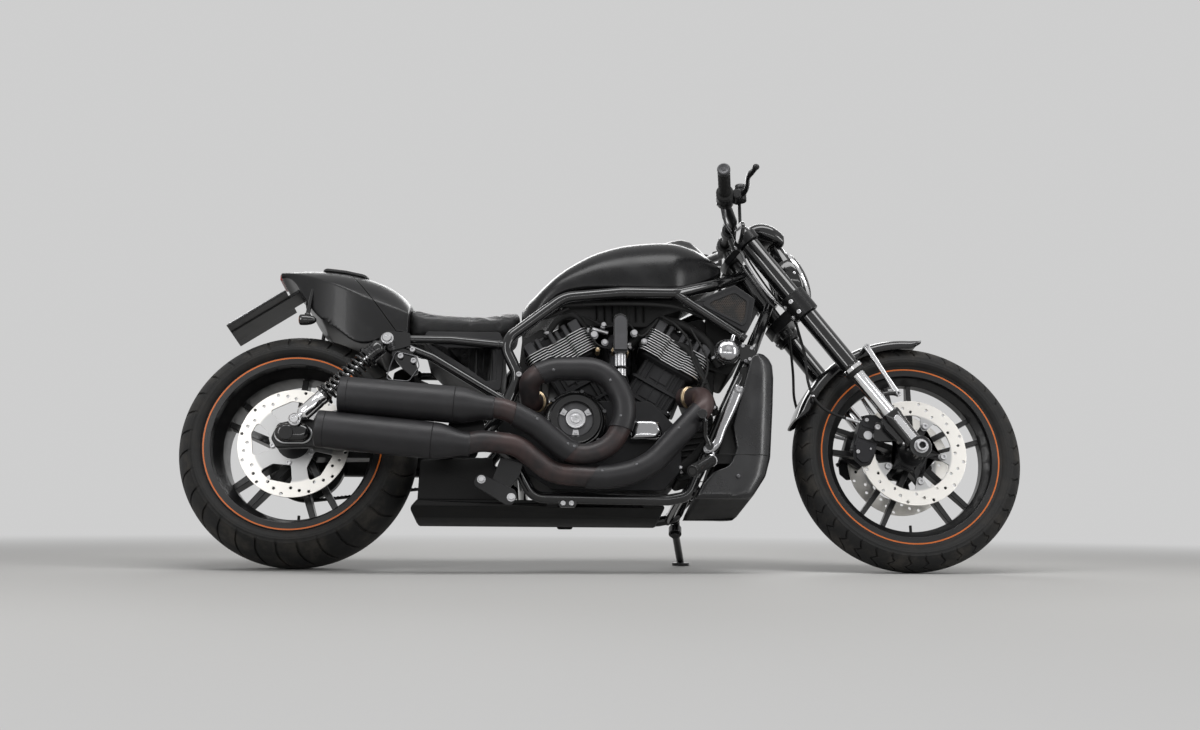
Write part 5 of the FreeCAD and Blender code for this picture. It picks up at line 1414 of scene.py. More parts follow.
def fin_outline():
    """Outline of a fin: a rounded rectangle, its sides stepped in over the middle third."""
    out = rounded_rect(HEAD_HALF_X, HEAD_HALF_Y, 22)
    dense = []
    for (xa, ya), (xb, yb) in zip(out, out[1:] + out[:1]):
        dense.append((xa, ya))
        if abs(ya - yb) < 1e-6 and abs(abs(ya) - HEAD_HALF_Y) < 1e-6:
            stops = (-35, -27, 30, 38) if xb > xa else (38, 30, -27, -35)
            low = math.copysign(HEAD_HALF_Y - FIN_RECESS, ya)
            dense += [(stops[0], ya), (stops[1], low), (stops[2], low), (stops[3], ya)]
    return dense


def build_cylinders():
    """Finned cylinders with their lugs and bolts."""
    heads, grey = Shape(), Shape()
    outline = fin_outline()
    lug_base = FIN_START + FIN_PITCH * FIN_COUNT - 6
    bolts = []
    for sign in (-1, 1):
        at = cylinder_frame(sign)
        outward = at(0, 0, 1) - at(0, 0, 0)

        def stack(half_x, half_y, radius, levels):
            """A casting with rounded corners through (s, inset) levels."""
            heads.skin([[at(x, y, s) for x, y in rounded_rect(half_x - inset, half_y - inset, radius)]
                        for s, inset in levels])

        for k in range(FIN_COUNT):
            s = FIN_START + FIN_PITCH * k
            rings = []
            for ds, inset in ((0.0, 1.2), (1.0, 0.0), (FIN_T - 1.0, 0.0), (FIN_T, 1.2)):
                rings.append([at(x * (1 - inset / HEAD_HALF_X), y * (1 - inset / HEAD_HALF_Y), s + ds)
                              for x, y in outline])
            for face in heads.skin(rings):
                face.material_index = int(len(face.verts) == 4)
        stack(84, 106, 14, [(266, 10), (274, 0), (352, 0)])
        stack(88, 104, 16, [(350, 2), (352, 0), (370, 0), (376, 4), (379, 10)])
        stack(72, 94, 20, [(374, 0), (381, 0), (385, 2), (387, 6)])
        # jacket of the barrel: joint flanges and upright ribs
        stack(68, 94, 10, [(120, 4), (124, 0), (270, 0)])
        stack(76, 100, 12, [(150, 3), (152, 0), (159, 0), (161, 3)])
        stack(76, 102, 12, [(204, 3), (206, 0), (213, 0), (215, 3)])
        for side in (-1, 1):
            for x, wide in ((-58, 5), (-40, 4), (-4, 4), (30, 5), (44, 5), (58, 5)):
                reach = at(x, side * 99, 266) - at(x, side * 99, 124)
                heads.prism([at(x - wide / 2, side * 92, 124), at(x + wide / 2, side * 92, 124),
                             at(x + wide / 2 - 1, side * 99, 126), at(x - wide / 2 + 1, side * 99, 126)],
                            reach)
            for s0, s1 in ((226, 262), (166, 200)):
                heads.prism([at(x, side * 92, s) for x, s in ((-30, s0), (22, s0), (22, s1), (-30, s1))],
                            ACROSS * (side * 5))
            # lug columns between the top fin and the cam cover
            for x0, x1, tall, out in ((-86, -58, 34, 119), (-50, -38, 36, 116), (-10, 4, 36, 116),
                                      (10, 22, 30, 112), (34, 48, 36, 116), (54, 84, 34, 119)):
                rows = []
                for s, inset in ((lug_base, 0), (lug_base + tall - 2, 0), (lug_base + tall, 2)):
                    a, b, far = x0 + inset, x1 - inset, out - inset
                    rows.append([at(x, side * y, s) for x, y in ((a, 88), (b, 88), (b, far - 2), (b - 2, far),
                                                                 (a + 2, far), (a, far - 2))])
                grey.skin(rows)
            bolts += [(at(x, side * 98, 372), outward, 6.5) for x in (-76, 0, 76)]
        bolts += [(at(x, -97.5, 160), outward, 4.5) for x in (-66, 66)]
    heads.finish("cylinder_castings", "chassis", "engine_black", "fin_edge", stands_for=["cylinders"])
    grey.finish("cylinder_lugs", "chassis", "engine_grey")
    fasteners("cylinder_bolts", "chassis", "socket", "satin_steel", bolts)


def scaled_outline(outline, share):
    """An outline drawn in towards the mean of its corners."""
    cx = sum(p[0] for p in outline) / len(outline)
    cz = sum(p[1] for p in outline) / len(outline)
    return [(cx + (x - cx) * share, cz + (z - cz) * share) for x, z in outline]


STARTER_Y = -166.0                     # outer face of the starter's housing
CLUTCH, ALTERNATOR = Vector((760, 0, 382)), Vector((880, 0, 330))


def build_covers():
    """Crankcase with its side covers, clutch window and screws."""
    refined("crankcase_casting", "chassis", "engine_black", "crankcase", bevel=2.0, angle=32)
    # right side: clutch cover with its window, left side: dished alternator cover
    case = Shape()
    case.lathe(CLUTCH - ACROSS * 118, -ACROSS, [(0, 92), (10, 92), (26, 90.5), (40, 87), (50, 82), (55, 78),
                                                (57.4, 74), (58, 70), (58, 68)], 64)
    case.lathe(CLUTCH - ACROSS * 170, -ACROSS, [(0, 70), (12, 70), (16, 69), (18, 66.5), (18.5, 63),
                                                (17.5, 50), (15, 47.6), (9, 46.8)], 64)
    case.lathe(ALTERNATOR + ACROSS * 162, ACROSS, [(-44, 104), (0, 104), (6, 103), (11, 99.5), (14.5, 94),
                                                   (16, 88), (15, 70), (12, 66), (12, 40), (15, 36),
                                                   (16, 30), (16, 0)], 64)
    case.lathe((738, 158, 330), ACROSS, [(-38, 62), (-6, 62), (0, 56), (2, 50), (2, 0)], 48)
    case.finish("side_covers", "chassis", "cover_gloss", angle=28, stands_for=["engine_covers"])
    # turned silver hub and the clutch spring plate behind its ring
    hub = Shape()
    hub.lathe(CLUTCH - ACROSS * 176, -ACROSS, [(0, 46.4), (3, 46.4), (3.4, 45), (3.4, 29)], 48)
    hub.finish("clutch_window", "chassis", "engine_grey")
    silver = Shape()
    silver.lathe(CLUTCH - ACROSS * 176, -ACROSS, [(0, 27), (11, 27), (12.6, 26), (13.2, 24), (13.2, 17.5),
                                                  (11.6, 16.6), (11.6, 13.4), (13.4, 12.4), (14.2, 10),
                                                  (14.2, 4.5), (13, 4), (13, 0)], 48)
    c = CLUTCH - ACROSS * 179
    for k in range(3):
        t = math.radians(120 * k + 30)
        r = Vector((math.cos(t), 0, math.sin(t)))
        q = Vector((-r.z, 0, r.x))
        silver.prism([c + r * 30 - q * 7, c + r * 44 - q * 9, c + r * 44 + q * 9, c + r * 30 + q * 7],
                     (0, -5, 0))
        silver.rod(c + r * 38, c + r * 38 - ACROSS * 8, 4.2, count=16, edge=0.8)
    silver.finish("clutch_hub", "chassis", "satin_steel")
    fasteners("cover_screws", "chassis", "socket", "dark_steel",
              bolt_circle(CLUTCH - ACROSS * 172.5, -ACROSS, 82, 6, 18, 5.2)
              + bolt_circle(ALTERNATOR + ACROSS * 174.5, ACROSS, 96, 8, 10, 5.2))
    outline = [(904, 332), (988, 332), (999, 356), (983, 390), (918, 390), (903, 360)]
    housing = Shape()
    rounds = [24, 18, 16, 24, 20, 18]
    levels = ((-40, 1.0), (-20, 1.0), (-14, 0.98), (-9, 0.94), (-5, 0.88), (-2, 0.78), (0, 0.64), (1.0, 0.46),
              (1.4, 0.2))
    housing.skin([[(x, STARTER_Y - out, z)
                   for x, z in soft_corners(scaled_outline(outline, share), rounds, 6)]
                  for out, share in levels])
    housing.finish("starter_housing", "chassis", "smoked_chrome", angle=60, stands_for=["starter_cover"])


POST_X, POST_Y = 883, -150


def build_coolant():
    """Coolant post: black capsule with a grey inset over a fluted bright neck."""
    post = Shape()
    for radius, y, depth, z0, z1 in ((19.5, -169, 26, 573, 690), (17.2, -171.5, 3, 580, 683)):
        ring = [(POST_X + radius * math.cos(t), z1 - radius + radius * math.sin(t))
                for t in [math.pi * k / 12 for k in range(13)]]
        ring += [(POST_X - radius, z0 + 4), (POST_X + radius, z0 + 4)]
        post.slot = 0 if radius > 18 else 1
        post.prism([(x, y, z) for x, z in ring], (0, depth if radius > 18 else -depth, 0))
    post.finish("coolant_post_cap", "chassis", "cover_gloss", "engine_grey", bevel=1.2,
                stands_for=["coolant_post"])
    neck = Shape()
    path = bend_path([(POST_X, POST_Y, 578), (POST_X, POST_Y, 500), (POST_X, -118, 440)], [0, 30, 0])
    for offset in (-9.5, 0.0, 9.5):
        neck.tube([p + Vector((offset, -4 if offset == 0 else 0, 0)) for p in path], 6.4, 16)
    neck.tube(path, 12.0, 24)
    neck.finish("coolant_neck_flutes", "chassis", "satin_steel", stands_for=["coolant_neck"])
    bands = Shape()
    for z in (540, 512):
        bands.collar((POST_X, POST_Y, z), (POST_X, POST_Y, z - 5), 20, 13, 32, 1)
    bands.rod((POST_X, POST_Y, 600), (POST_X, -40, 640), 17, count=28)
    bands.finish("coolant_bands", "chassis", "rubber_black")


# Front end

FORK_RAKE = math.radians(36.9)
LEG_DIR = Vector((-math.sin(FORK_RAKE), 0, math.cos(FORK_RAKE)))
LEG_OUT = Vector((math.cos(FORK_RAKE), 0, math.sin(FORK_RAKE)))
FORK_HALF = 122.0
LOW_YOKE_S, TOP_YOKE_S = 520.0, 762.0


def leg(s, side=-1, out=0.0, across=0.0):
    """A place on a fork leg: s up from the axle, out ahead of it, across away from the wheel."""
    return FRONT_AXLE + LEG_DIR * s + LEG_OUT * out + ACROSS * ((FORK_HALF + across) * side)


def build_fork():
    """Fork legs with seals, feet, yokes, bolts and the front axle."""
    black, bright, foot, inset, seal = (Shape() for _ in range(5))
    spots = []
    for side in (-1, 1):
        black.lathe(leg(290, side), LEG_DIR, [(0, 23), (0, 27), (2, 27.4), (8, 27.4), (9, 27), (496, 27),
                                              (500, 25.6), (501, 24), (507, 23.6), (509, 22), (509, 10),
                                              (506, 9), (506, 0)], 56)
        bright.lathe(leg(278, side), LEG_DIR, [(0, 22.2), (0, 29.6), (1.4, 31), (9.6, 31), (11, 29.6),
                                               (12, 27.2), (12, 22.2)], 56, loop=True)
        bright.lathe(leg(100, side), LEG_DIR, [(0, 21.5), (170, 21.5), (180, 21.5)], 48)
        seal.lathe(leg(264, side), LEG_DIR, [(0, 21.8), (0, 23.6), (3, 27), (12, 28.2), (14, 28.2),
                                             (14, 21.8)], 48, loop=True)
        rings = []
        for s, grow in ((-30, 13), (-27, 18), (-20, 21.5), (-6, 23.5), (40, 22.5), (96, 24.2), (108, 25.6),
                        (122, 25.6), (126, 24)):
            rings.append([leg(s, side, a, b) for a, b in rounded_rect(grow, grow, grow * 0.62)])
        foot.skin(rings)
        foot.lathe(leg(0, side), (0, side, 0), [(-29, 24), (-29, 29.5), (-27, 31), (25, 31), (27, 29.5),
                                                (27, 17), (24, 16), (24, 11)], 48, loop=True)
        # cast web with a lightening slot behind the leg, and the ear that carries the caliper
        web = [leg(30, side, -18), leg(116, side, -22), leg(128, side, -30), leg(96, side, -40),
               leg(40, side, -34)]
        foot.prism([p + ACROSS * (side * -8) for p in web], (0, side * 16, 0))
        ear = [(FRONT_AXLE.x + x, side * 96, FRONT_AXLE.z + z) for x, z in
               soft_corners([(-30, 24), (-62, 86), (-112, 78), (-122, 22)], 12)]
        foot.prism(ear, (0, side * 16, 0))
        inset.prism([leg(66 + math.copysign(34, s) + s, side, out, 21) for s, out in ring_of(9, 24)],
                    (0, side * 5, 0))
        spots += [(leg(s, side, -24, 4), -LEG_OUT, 5.5) for s in (12, 34)]
        spots += [((FRONT_AXLE.x + x, side * 112, FRONT_AXLE.z + z), (0, side, 0), 8.0)
                  for x, z in ((-60, 70), (-108, 62))]
        spots.append((leg(797, side), LEG_DIR, 9.0))
    black.finish("fork_tube_outer", "steering", "gloss_black", stands_for=["fork_outer_tubes"])
    bright.finish("fork_tube_inner", "steering", "chrome")
    seal.finish("fork_seals", "steering", "rubber_black")
    foot.finish("fork_feet", "steering", "gloss_black", bevel=1.6, stands_for=["fork_lowers"])
    inset.finish("fork_foot_insets", "steering", "polished_alloy", bevel=1.2)
    fasteners("fork_bolts", "steering", "socket", "satin_steel", spots)
    for which in ("lower", "upper"):
        refined(which + "_clamp", "steering", "satin_black", which + "_yoke", bevel=3.0, steps=3)
    clamps = []
    for side in (-1, 1):
        for s in (LOW_YOKE_S - 20, LOW_YOKE_S + 16):
            clamps += [(leg(s, side, -36, -3), -LEG_OUT, 7.5),
                       (leg(s, side, -24, 27), LEG_OUT * -0.55 + ACROSS * side * 0.85, 6.5)]
        clamps += [(leg(TOP_YOKE_S, side, -33, -6), -LEG_OUT, 7.0),
                   ((1222, side * 52, 1014), (0.2, 0, 0.98), 6.0),
                   ((1200, side * 52, 1013), (-0.2, 0, 0.98), 6.0)]
    fasteners("clamp_bolts", "steering", "socket", "satin_steel", clamps)
    axle, socket = Shape(), Shape()
    for side in (-1, 1):
        out = Vector((0, side, 0))
        axle.lathe(FRONT_AXLE + out * 60, out, [(0, 10), (88, 10), (88, 19), (90, 20.5), (93, 19.5),
                                                (93, 0)], 36)
        axle.lathe(FRONT_AXLE + out * 152, out,
                   [(0, 16), (9, 16), (11.5, 14.5), (11.5, 9.5), (2, 9), (2, 0)], 24)
        # painted shade: a matt black hexagon at the floor of each axle end's recess stands for the dark
        # inside of its hex socket
        socket.rod(FRONT_AXLE + out * 154, FRONT_AXLE + out * 156.5, 8.8, count=6)
    axle.finish("front_axle_nuts", "steering", "satin_steel", bevel=0.8, stands_for=["front_axle"])
    socket.finish("front_axle_sockets", "steering", "matt_black")


def caliper_place(axle, angle, reach, side):
    """Places on a caliper: r away from the axle, s round the disc, y away from the wheel."""
    t = math.radians(angle)
    radial, along = Vector((math.cos(t), 0, math.sin(t))), Vector((-math.sin(t), 0, math.cos(t)))
    return lambda r, s, y: axle + radial * (reach + r) + along * s + ACROSS * (side * y)


def build_calipers():
    """Brake calipers with covers, bridges, badges and bolts."""
    refined("front_caliper_bodies", "steering", "caliper_grey", "front_calipers", bevel=4.0, steps=4)
    refined("rear_caliper_body", "chassis", "caliper_grey", "rear_caliper", bevel=3.0, steps=3)
    cover, band, badge = Shape(), Shape(), Shape()
    bolts = []
    for side in (-1, 1):
        at = caliper_place(FRONT_AXLE, 162, 137, side)
        for reach in (-66, 88):
            lobe = math.copysign(1, reach)
            outline = soft_corners([(-30, 15 * lobe), (31, 15 * lobe), (32, 0.5 * reach), (18, 0.88 * reach),
                                    (-6, reach), (-28, 0.88 * reach), (-33, 0.5 * reach)], 9)
            for y, grow in ((84, 1.0), (90, 0.8)):
                middle = 0.5 * (15 * lobe + reach)
                cover.prism([at(r * grow, middle + (s - middle) * grow, y) for r, s in outline],
                            (0, side * 8, 0))
            bolts += [(at(16, 0.62 * reach, 98), (0, side, 0), 5.6),
                      (at(-16, 0.4 * reach, 98), (0, side, 0), 2.8)]
        band.prism([at(r, s, 94) for r, s in soft_corners([(-27, -15), (27, -15), (27, 15), (-27, 15)], 5)],
                   (0, side * 4, 0))
        badge.lathe(at(1, 0, 97), (0, side, 0), [(0, 12.5), (1.6, 12.5), (2.4, 11.6), (2.4, 10.2),
                                                 (1.5, 9.8), (1.5, 0)], 40)
        band.rod(at(24, 46, 84), at(34, 56, 84), 6, count=20, edge=1)
    cover.finish("caliper_covers", "steering", "caliper_grey", bevel=1.6)
    band.finish("caliper_bridges", "steering", "satin_black", bevel=1.2)
    badge.finish("caliper_badges", "steering", "satin_steel")
    fasteners("caliper_bolts", "steering", "socket", "satin_steel", bolts)
    at = caliper_place(REAR_AXLE, 22, 128, -1)
    fasteners("rear_caliper_bolts", "chassis", "socket", "satin_steel",
              [(at(r, s, 122), -ACROSS, 5.5) for r, s in ((4, 34), (4, -34), (-16, 0))])


FENDER_ENDS = (8.0, -73.0)             # degrees ahead of the top
FENDER_R, FENDER_T, FENDER_HALF, FENDER_SKIRT = 340.6, 4.6, 74.0, 29.0


def build_fender():
    """A glossy blade crowned across the tyre, with a rolled lip, and its polished struts."""
    blade = Shape()
    rings = []
    count = 64
    for k in range(count + 1):
        share = k / count
        turn = math.radians(FENDER_ENDS[0] + (FENDER_ENDS[1] - FENDER_ENDS[0]) * share)
        end = min(share, 1 - share) * count
        skirt = FENDER_SKIRT * min(1.0, (end + 0.6) / 5) ** 0.6
        wide = FENDER_HALF * (1 - 0.05 * max(0.0, 1 - end / 3))
        outer, inner = [], []
        for i in range(25):
            a = math.pi * i / 24
            y = wide * math.copysign(abs(math.cos(a)) ** 0.72, math.cos(a))
            lift = abs(math.sin(a)) ** 0.6
            outer.append((y, FENDER_R - skirt + skirt * lift))
            inner.append((y * (1 - 4.5 / wide), FENDER_R - FENDER_T - skirt + skirt * lift))
        section = outer + list(reversed(inner))
        rings.append([FRONT_AXLE + Vector((r * math.sin(turn), y, r * math.cos(turn))) for y, r in section])
    blade.skin(rings)
    blade.finish("front_fender_blade", "steering", "gloss_black", angle=45, stands_for=["front_fender"])
    strut, arm = Shape(), Shape()
    spots = []
    for side in (-1, 1):
        hip, knee, foot = (FRONT_AXLE + Vector((x, side * y, z)) for x, y, z in
                           ((-128, 124, 293), (-48, 124, 156), (-100, 124, 150)))
        along = (knee - hip).normalized()
        wide = along.cross(ACROSS)
        ring = []
        for p, w in ((hip - along * 6, 5), (hip, 9), (hip + along * 20, 8), (knee - along * 60, 6.5),
                     (knee - along * 12, 8), (knee + along * 8, 6)):
            ring.append([p + wide * a + ACROSS * b for a, b in rounded_rect(w, 5.0, 3.6, 3)])
        strut.skin(ring)
        arm.rod(hip + ACROSS * (side * 4), Vector((hip.x, side * 66, hip.z)), 7.0, edge=1)
        arm.tube(flow([knee, knee + Vector((-20, 0, 2)), foot], 5), 7.2, 18)
        arm.ball(knee, 8.6, 18)
        spots += [(p + ACROSS * (side * 4.6), (0, side, 0), 6.5) for p in (hip, knee)]
    strut.finish("fender_struts", "steering", "polished_alloy", bevel=0.8)
    arm.finish("fender_arms", "steering", "gloss_black")
    fasteners("fender_bolts", "steering", "socket", "satin_steel", spots)


BAR_R, GRIP_R = 12.7, 17.0
BAR_PATH = [(1212, 0, 992), (1212, 120, 992), (1176, 215, 1010), (1146, 396, 1014)]


def bar_point(k, side):
    """A corner of the bar's path, on one side of the bike."""
    x, y, z = BAR_PATH[k]
    return Vector((x, y * side, z))


def build_bars():
    """Handlebar with grips, switch housings, fluid pots, levers, cables, mirrors and brake hoses."""
    bar = Shape()
    path = [bar_point(k, -1) for k in (3, 2, 1)] + [bar_point(k, 1) for k in (0, 1, 2, 3)]
    bar.tube(bend_path(path, [0, 60, 50, 0, 50, 60, 0]), BAR_R, 32)
    bar.finish("handlebar_tube", "steering", "satin_black", stands_for=["handlebar"])
    rubber, caps, house, lever, pot, steel = (Shape() for _ in range(6))
    spots = []
    for side in (-1, 1):
        a, b = bar_point(2, side), bar_point(3, side)
        d = (b - a).normalized()
        start = b - d * 124
        profile = [(0, 13), (0, 22), (1, 24), (5, 24), (6.5, 21), (8, 17)]
        for k in range(28):
            s = 12 + 3.9 * k
            profile += [(s, GRIP_R), (s + 2.6, GRIP_R), (s + 2.9, GRIP_R - 0.9), (s + 3.6, GRIP_R - 0.9)]
        rubber.lathe(start - d * 6, d, profile + [(124, GRIP_R), (130, GRIP_R - 0.6), (130, 13)], 40,
                     loop=True)
        caps.lathe(b, d, [(0, 13), (0, 17.6), (11, 17.6), (13.4, 16), (14, 14), (13, 12.5), (12.6, 6),
                          (13.4, 5), (13.4, 0)], 40)
        s0, s1 = start - d * 62, start - d * 10
        fore = Vector((1, 0, 0.1)).normalized()
        house.lathe(s0, d, [(0, 14), (0, 22), (2.5, 24.5), (25, 24.9), (25.6, 23.6), (26.4, 23.6), (27, 24.9),
                            (49, 24.5), (52, 22), (52, 14)], 40, loop=True)
        house.lathe(s0 + fore * 34 + d * 6, d, [(0, 0), (0, 12), (2, 14.6), (44, 15), (46, 13), (46, 0)], 28)
        house.block((s0 + s1) / 2 + fore * 16, (44, 22, 21))
        for lift, run in ((14, 14), (2, 30), (-10, 16)):
            house.block(s0 + d * run - fore * 18 + UP * lift, (13, 9, 8))
        root = s0 + fore * 44 + d * 26
        pot.lathe(root - UP * 14, UP, [(0, 0), (0, 15), (2, 16.4), (33, 16.4), (34, 15.4), (35, 15.4),
                                       (36, 17), (45, 17), (48, 15.5), (48, 0)], 36)
        spots += [(root + UP * 34 + AHEAD * x, UP, 2.6) for x in (-10, 10)]
        spots += [(s0 + fore * 28 + d * run + UP * 11, fore + UP * 0.2, 3.2) for run in (10, 34)]
        blade = flow([s1 + fore * a + d * b for a, b in ((40, -14), (56, 8), (63, 40), (66, 92), (78, 122),
                                                         (87, 144))], 5)
        widths = np.interp(np.linspace(0, 1, len(blade)), [0, 0.1, 0.4, 0.8, 1], [8, 10, 10.5, 10, 9.5])
        rows = lever.rings(blade, list(widths), 16)
        for p, row in zip(blade, rows):
            for q in row:
                q -= fore * ((q - p).dot(fore) * 0.42)
        lever.skin(rows)
        lever.ball(blade[-1], 9.6, 18, (1, 1, 0.85))
        steel.rod(s1 + fore * 40 - d * 14 - UP * 12, s1 + fore * 40 - d * 14 + UP * 12, 4.5, edge=0.8)
        steel.rod(s0 + fore * 34 + d * 4, s0 + fore * 34 + d * 8, 9, count=6)
        top = s0 + d * 12 + fore * 40
        lever.rod(top - UP * 8, top - UP * 74, 4.6, edge=0.6)
        # cables from the switch housing down behind the fork
        for k, (drop, x, y, r) in enumerate(((28, 1262, 66, 3.4), (40, 1272, 74, 2.8))):
            line = flow([s0 + d * 8 - UP * 20 - fore * (4 + 6 * k), s0 - d * (16 + drop) - UP * 44,
                         Vector((1216, side * (y + 46), 948)), Vector((x - 2, side * y, 880)),
                         Vector((x + 52, side * (y - 8), 800)), Vector((1372, side * 52, 752))], 9)
            (rubber if k else steel).tube(line, r, 10)
            steel.tube(line[:6], r + 1.5, 14)
    rubber.finish("grip_rubbers", "steering", "rubber_black", angle=50, stands_for=["grips"])
    caps.finish("grip_ends", "steering", "engine_grey")
    house.finish("switch_housings", "steering", "satin_black", bevel=1.2, stands_for=["hand_controls"])
    pot.finish("fluid_pots", "steering", "satin_black", bevel=0.6)
    lever.finish("levers", "steering", "satin_black")
    steel.finish("control_cables", "steering", "satin_steel")
    fasteners("control_screws", "steering", "dome", "satin_steel", spots)
    refined("mirror_shells", "steering", "gloss_black", "mirrors", bevel=3.0, steps=4, angle=50)
    glass = Shape()
    for side in (-1, 1):
        places = [p for p in (UNBIKE @ v.co * 1000 for v in NODES["mirrors"].data.vertices) if p.y * side > 0]
        low, high = (Vector([end(p[i] for p in places) for i in range(3)]) for end in (min, max))
        centre, half = (low + high) / 2, (high - low - Vector((7, 7, 7))) / 2
        glass.skin([[(low.x + dx, centre.y + half.y * y * g, centre.z + half.z * z * g)
                     for y, z in ring_of(1, 36)] for dx, g in ((0.6, 1.0), (-0.5, 0.97))])
    glass.finish("mirror_glass", "steering", "chrome")
    # brake hoses as bent tubes with their steel ends
    hose, ends = Shape(), Shape()
    for side in (-1, 1):
        points = [(1392.8, 40, 742.3), (1411, 88, 600), (1411, 95, 530), (1424, 96, 480), (1452, 96, 444),
                  (1494, 96, 424), (1575, 90, 402)]
        path = bend_path([(x, y * side, z) for x, y, z in points], [0, 130, 180, 100, 87, 160, 0], 5.0)
        hose.tube(stretch_of(path, 0.06, 0.93), 4.0, 14)
        ends.tube(stretch_of(path, 0.03, 0.075), 5.2, 14)
        ends.tube(stretch_of(path, 0.86, 0.95), 5.2, 14)
        ends.collar(path[len(path) // 2], path[len(path) // 2] + Vector((0, 0, -5)), 6.5, 4.0, 20, 0.6)
    hose.finish("brake_hose_lines", "steering", "rubber_black", stands_for=["brake_hoses"])
    ends.finish("brake_hose_ends", "steering", "satin_steel")


LAMP_C = Vector((1412, 0, 868))
LAMP_N = Vector((math.cos(math.radians(25)), 0, math.sin(math.radians(25))))
LAMP_U = Vector((-LAMP_N.z, 0, LAMP_N.x))


def lamp_rings(table, count=56):
    """Ellipses round the lamp's axis from (distance, half height, half width)."""
    return [[LAMP_C + LAMP_N * a + LAMP_U * (h * c) + ACROSS * (w * s) for c, s in ring_of(1, count)]
            for a, h, w in table]


def build_lamp():
    """Headlamp with its cowl, rim, bowl, glass and bulb, and the instrument."""
    shell, rim, bowl, glass, bulb = (Shape() for _ in range(5))
    shell.skin(lamp_rings([(-72, 30, 26), (-71.5, 42, 36), (-68, 50, 43), (-62, 60, 51), (-54, 69, 59),
                           (-44, 76, 64.5), (-32, 82.5, 69.5), (-20, 85.5, 71.5), (-10, 86.5, 72.4),
                           (-8, 85, 71), (-8, 82, 68)]), caps=False)
    shell.skin(lamp_rings([(-72, 30, 26), (-72.5, 1, 1)]), caps=False)
    shell.rod((1396, 0, 745), (1396, 0, 815), 10)
    # cowl that closes the gap between the bucket and the instrument shell
    cowl = Shape()
    spots = lamp_rings([(-14, 83, 69), (-30, 80, 66)], 40)
    points = [p for ring in spots for p in ring]
    for centre, reach in (((1372, 0, 850), (28, 52, 62)), ((1352, 0, 956), (22, 44, 26))):
        for i in range(1, 10):
            a = math.pi * i / 10
            points += [Vector(centre) + Vector((reach[0] * x, reach[1] * math.cos(a), reach[2] * z))
                       for x, z in ring_of(math.sin(a), 20)]
    verts = [cowl.bm.verts.new(p) for p in points]
    bmesh.ops.convex_hull(cowl.bm, input=verts)
    bmesh.ops.delete(cowl.bm, geom=[v for v in cowl.bm.verts if not v.link_faces], context="VERTS")
    cowl.finish("headlamp_cowl", "steering", "gloss_black", angle=60)
    rim.skin(lamp_rings([(-8, 84, 70), (-8, 87.4, 73.4), (-6, 88, 74), (-2, 88, 74), (1, 86.6, 72.6),
                         (1.6, 84.5, 70.5), (1.2, 82.6, 68.6), (-2, 81.4, 67.4)]), loop=True)
    bowl.skin(lamp_rings([(-3, 82, 68), (-12, 75, 62), (-24, 62, 51), (-36, 42, 34), (-43, 22, 19),
                          (-45, 12, 11), (-47, 11, 10), (-45, 24, 20), (-38, 45, 37), (-26, 65, 54),
                          (-14, 78, 65), (-5, 84, 70)]), loop=True)
    glass.skin(lamp_rings([(0.6, 82.4, 68.4), (6, 79.5, 65.5), (10, 76, 62), (14.5, 66, 54), (18, 54, 44),
                           (21, 34, 28), (22, 20, 16), (22.4, 1, 1)]), caps=False)
    glass.skin(lamp_rings([(0.6, 82.4, 68.4), (0.6, 79.4, 65.4), (4, 76.5, 63), (8, 73, 60), (12, 63, 52),
                           (15, 52, 43), (18, 32, 26), (19, 18, 15), (19.4, 1, 1)]), caps=False)
    bulb.lathe(LAMP_C - LAMP_N * 44, LAMP_N, [(0, 10), (16, 10), (17, 9), (17, 8), (26, 8), (30, 5.5),
                                              (31, 0)], 24)
    shell.finish("headlamp_bucket", "steering", "gloss_black", angle=50, stands_for=["headlamp"])
    rim.finish("headlamp_rim", "steering", "chrome", angle=45)
    bowl.finish("headlamp_reflector", "steering", "chrome", angle=60)
    glass.finish("headlamp_glass", "steering", "lens_glass", angle=60, stands_for=["headlamp_lens"])
    bulb.finish("headlamp_bulb", "steering", "satin_steel")
    fasteners("headlamp_screws", "steering", "dome", "satin_steel",
              both_sides([(LAMP_C - LAMP_N * 20 + ACROSS * 70.5, (0, 1, -0.1), 5.0)]))
    refined("instrument_shell", "steering", "gloss_black", "instrument_pod", bevel=5.0, steps=4, angle=24)
    dial = Shape()
    face = Vector((-0.30, 0, 0.954)).normalized()
    dial.lathe(DIAL_CENTRE, face, [(0, 33), (1.6, 33), (2.4, 31.5), (2.0, 30.5), (1.2, 30)], 44, loop=True)
    dial.finish("dial_bezel", "steering", "chrome")
    plate = Shape()
    plate.lathe(DIAL_CENTRE, face, [(0, 30.4), (1.3, 30.4), (1.5, 0)], 44)
    plate.finish("dial_face", "steering", "dial_face")


# Running gear and frame

SHOCK_LOW, SHOCK_TOP = Vector((21, -202, 364)), Vector((253, -202, 592))


def coil_path(base, axis, radius, turns, pitch, per_turn=16):
    """Points of a helix round an axis."""
    side = axis.cross(ACROSS).normalized()
    other = axis.cross(side)
    out = []
    for k in range(int(turns * per_turn) + 1):
        t = 2 * math.pi * k / per_turn
        lift = pitch * k / per_turn
        out.append(base + axis * lift + side * (radius * math.cos(t)) + other * (radius * math.sin(t)))
    return out


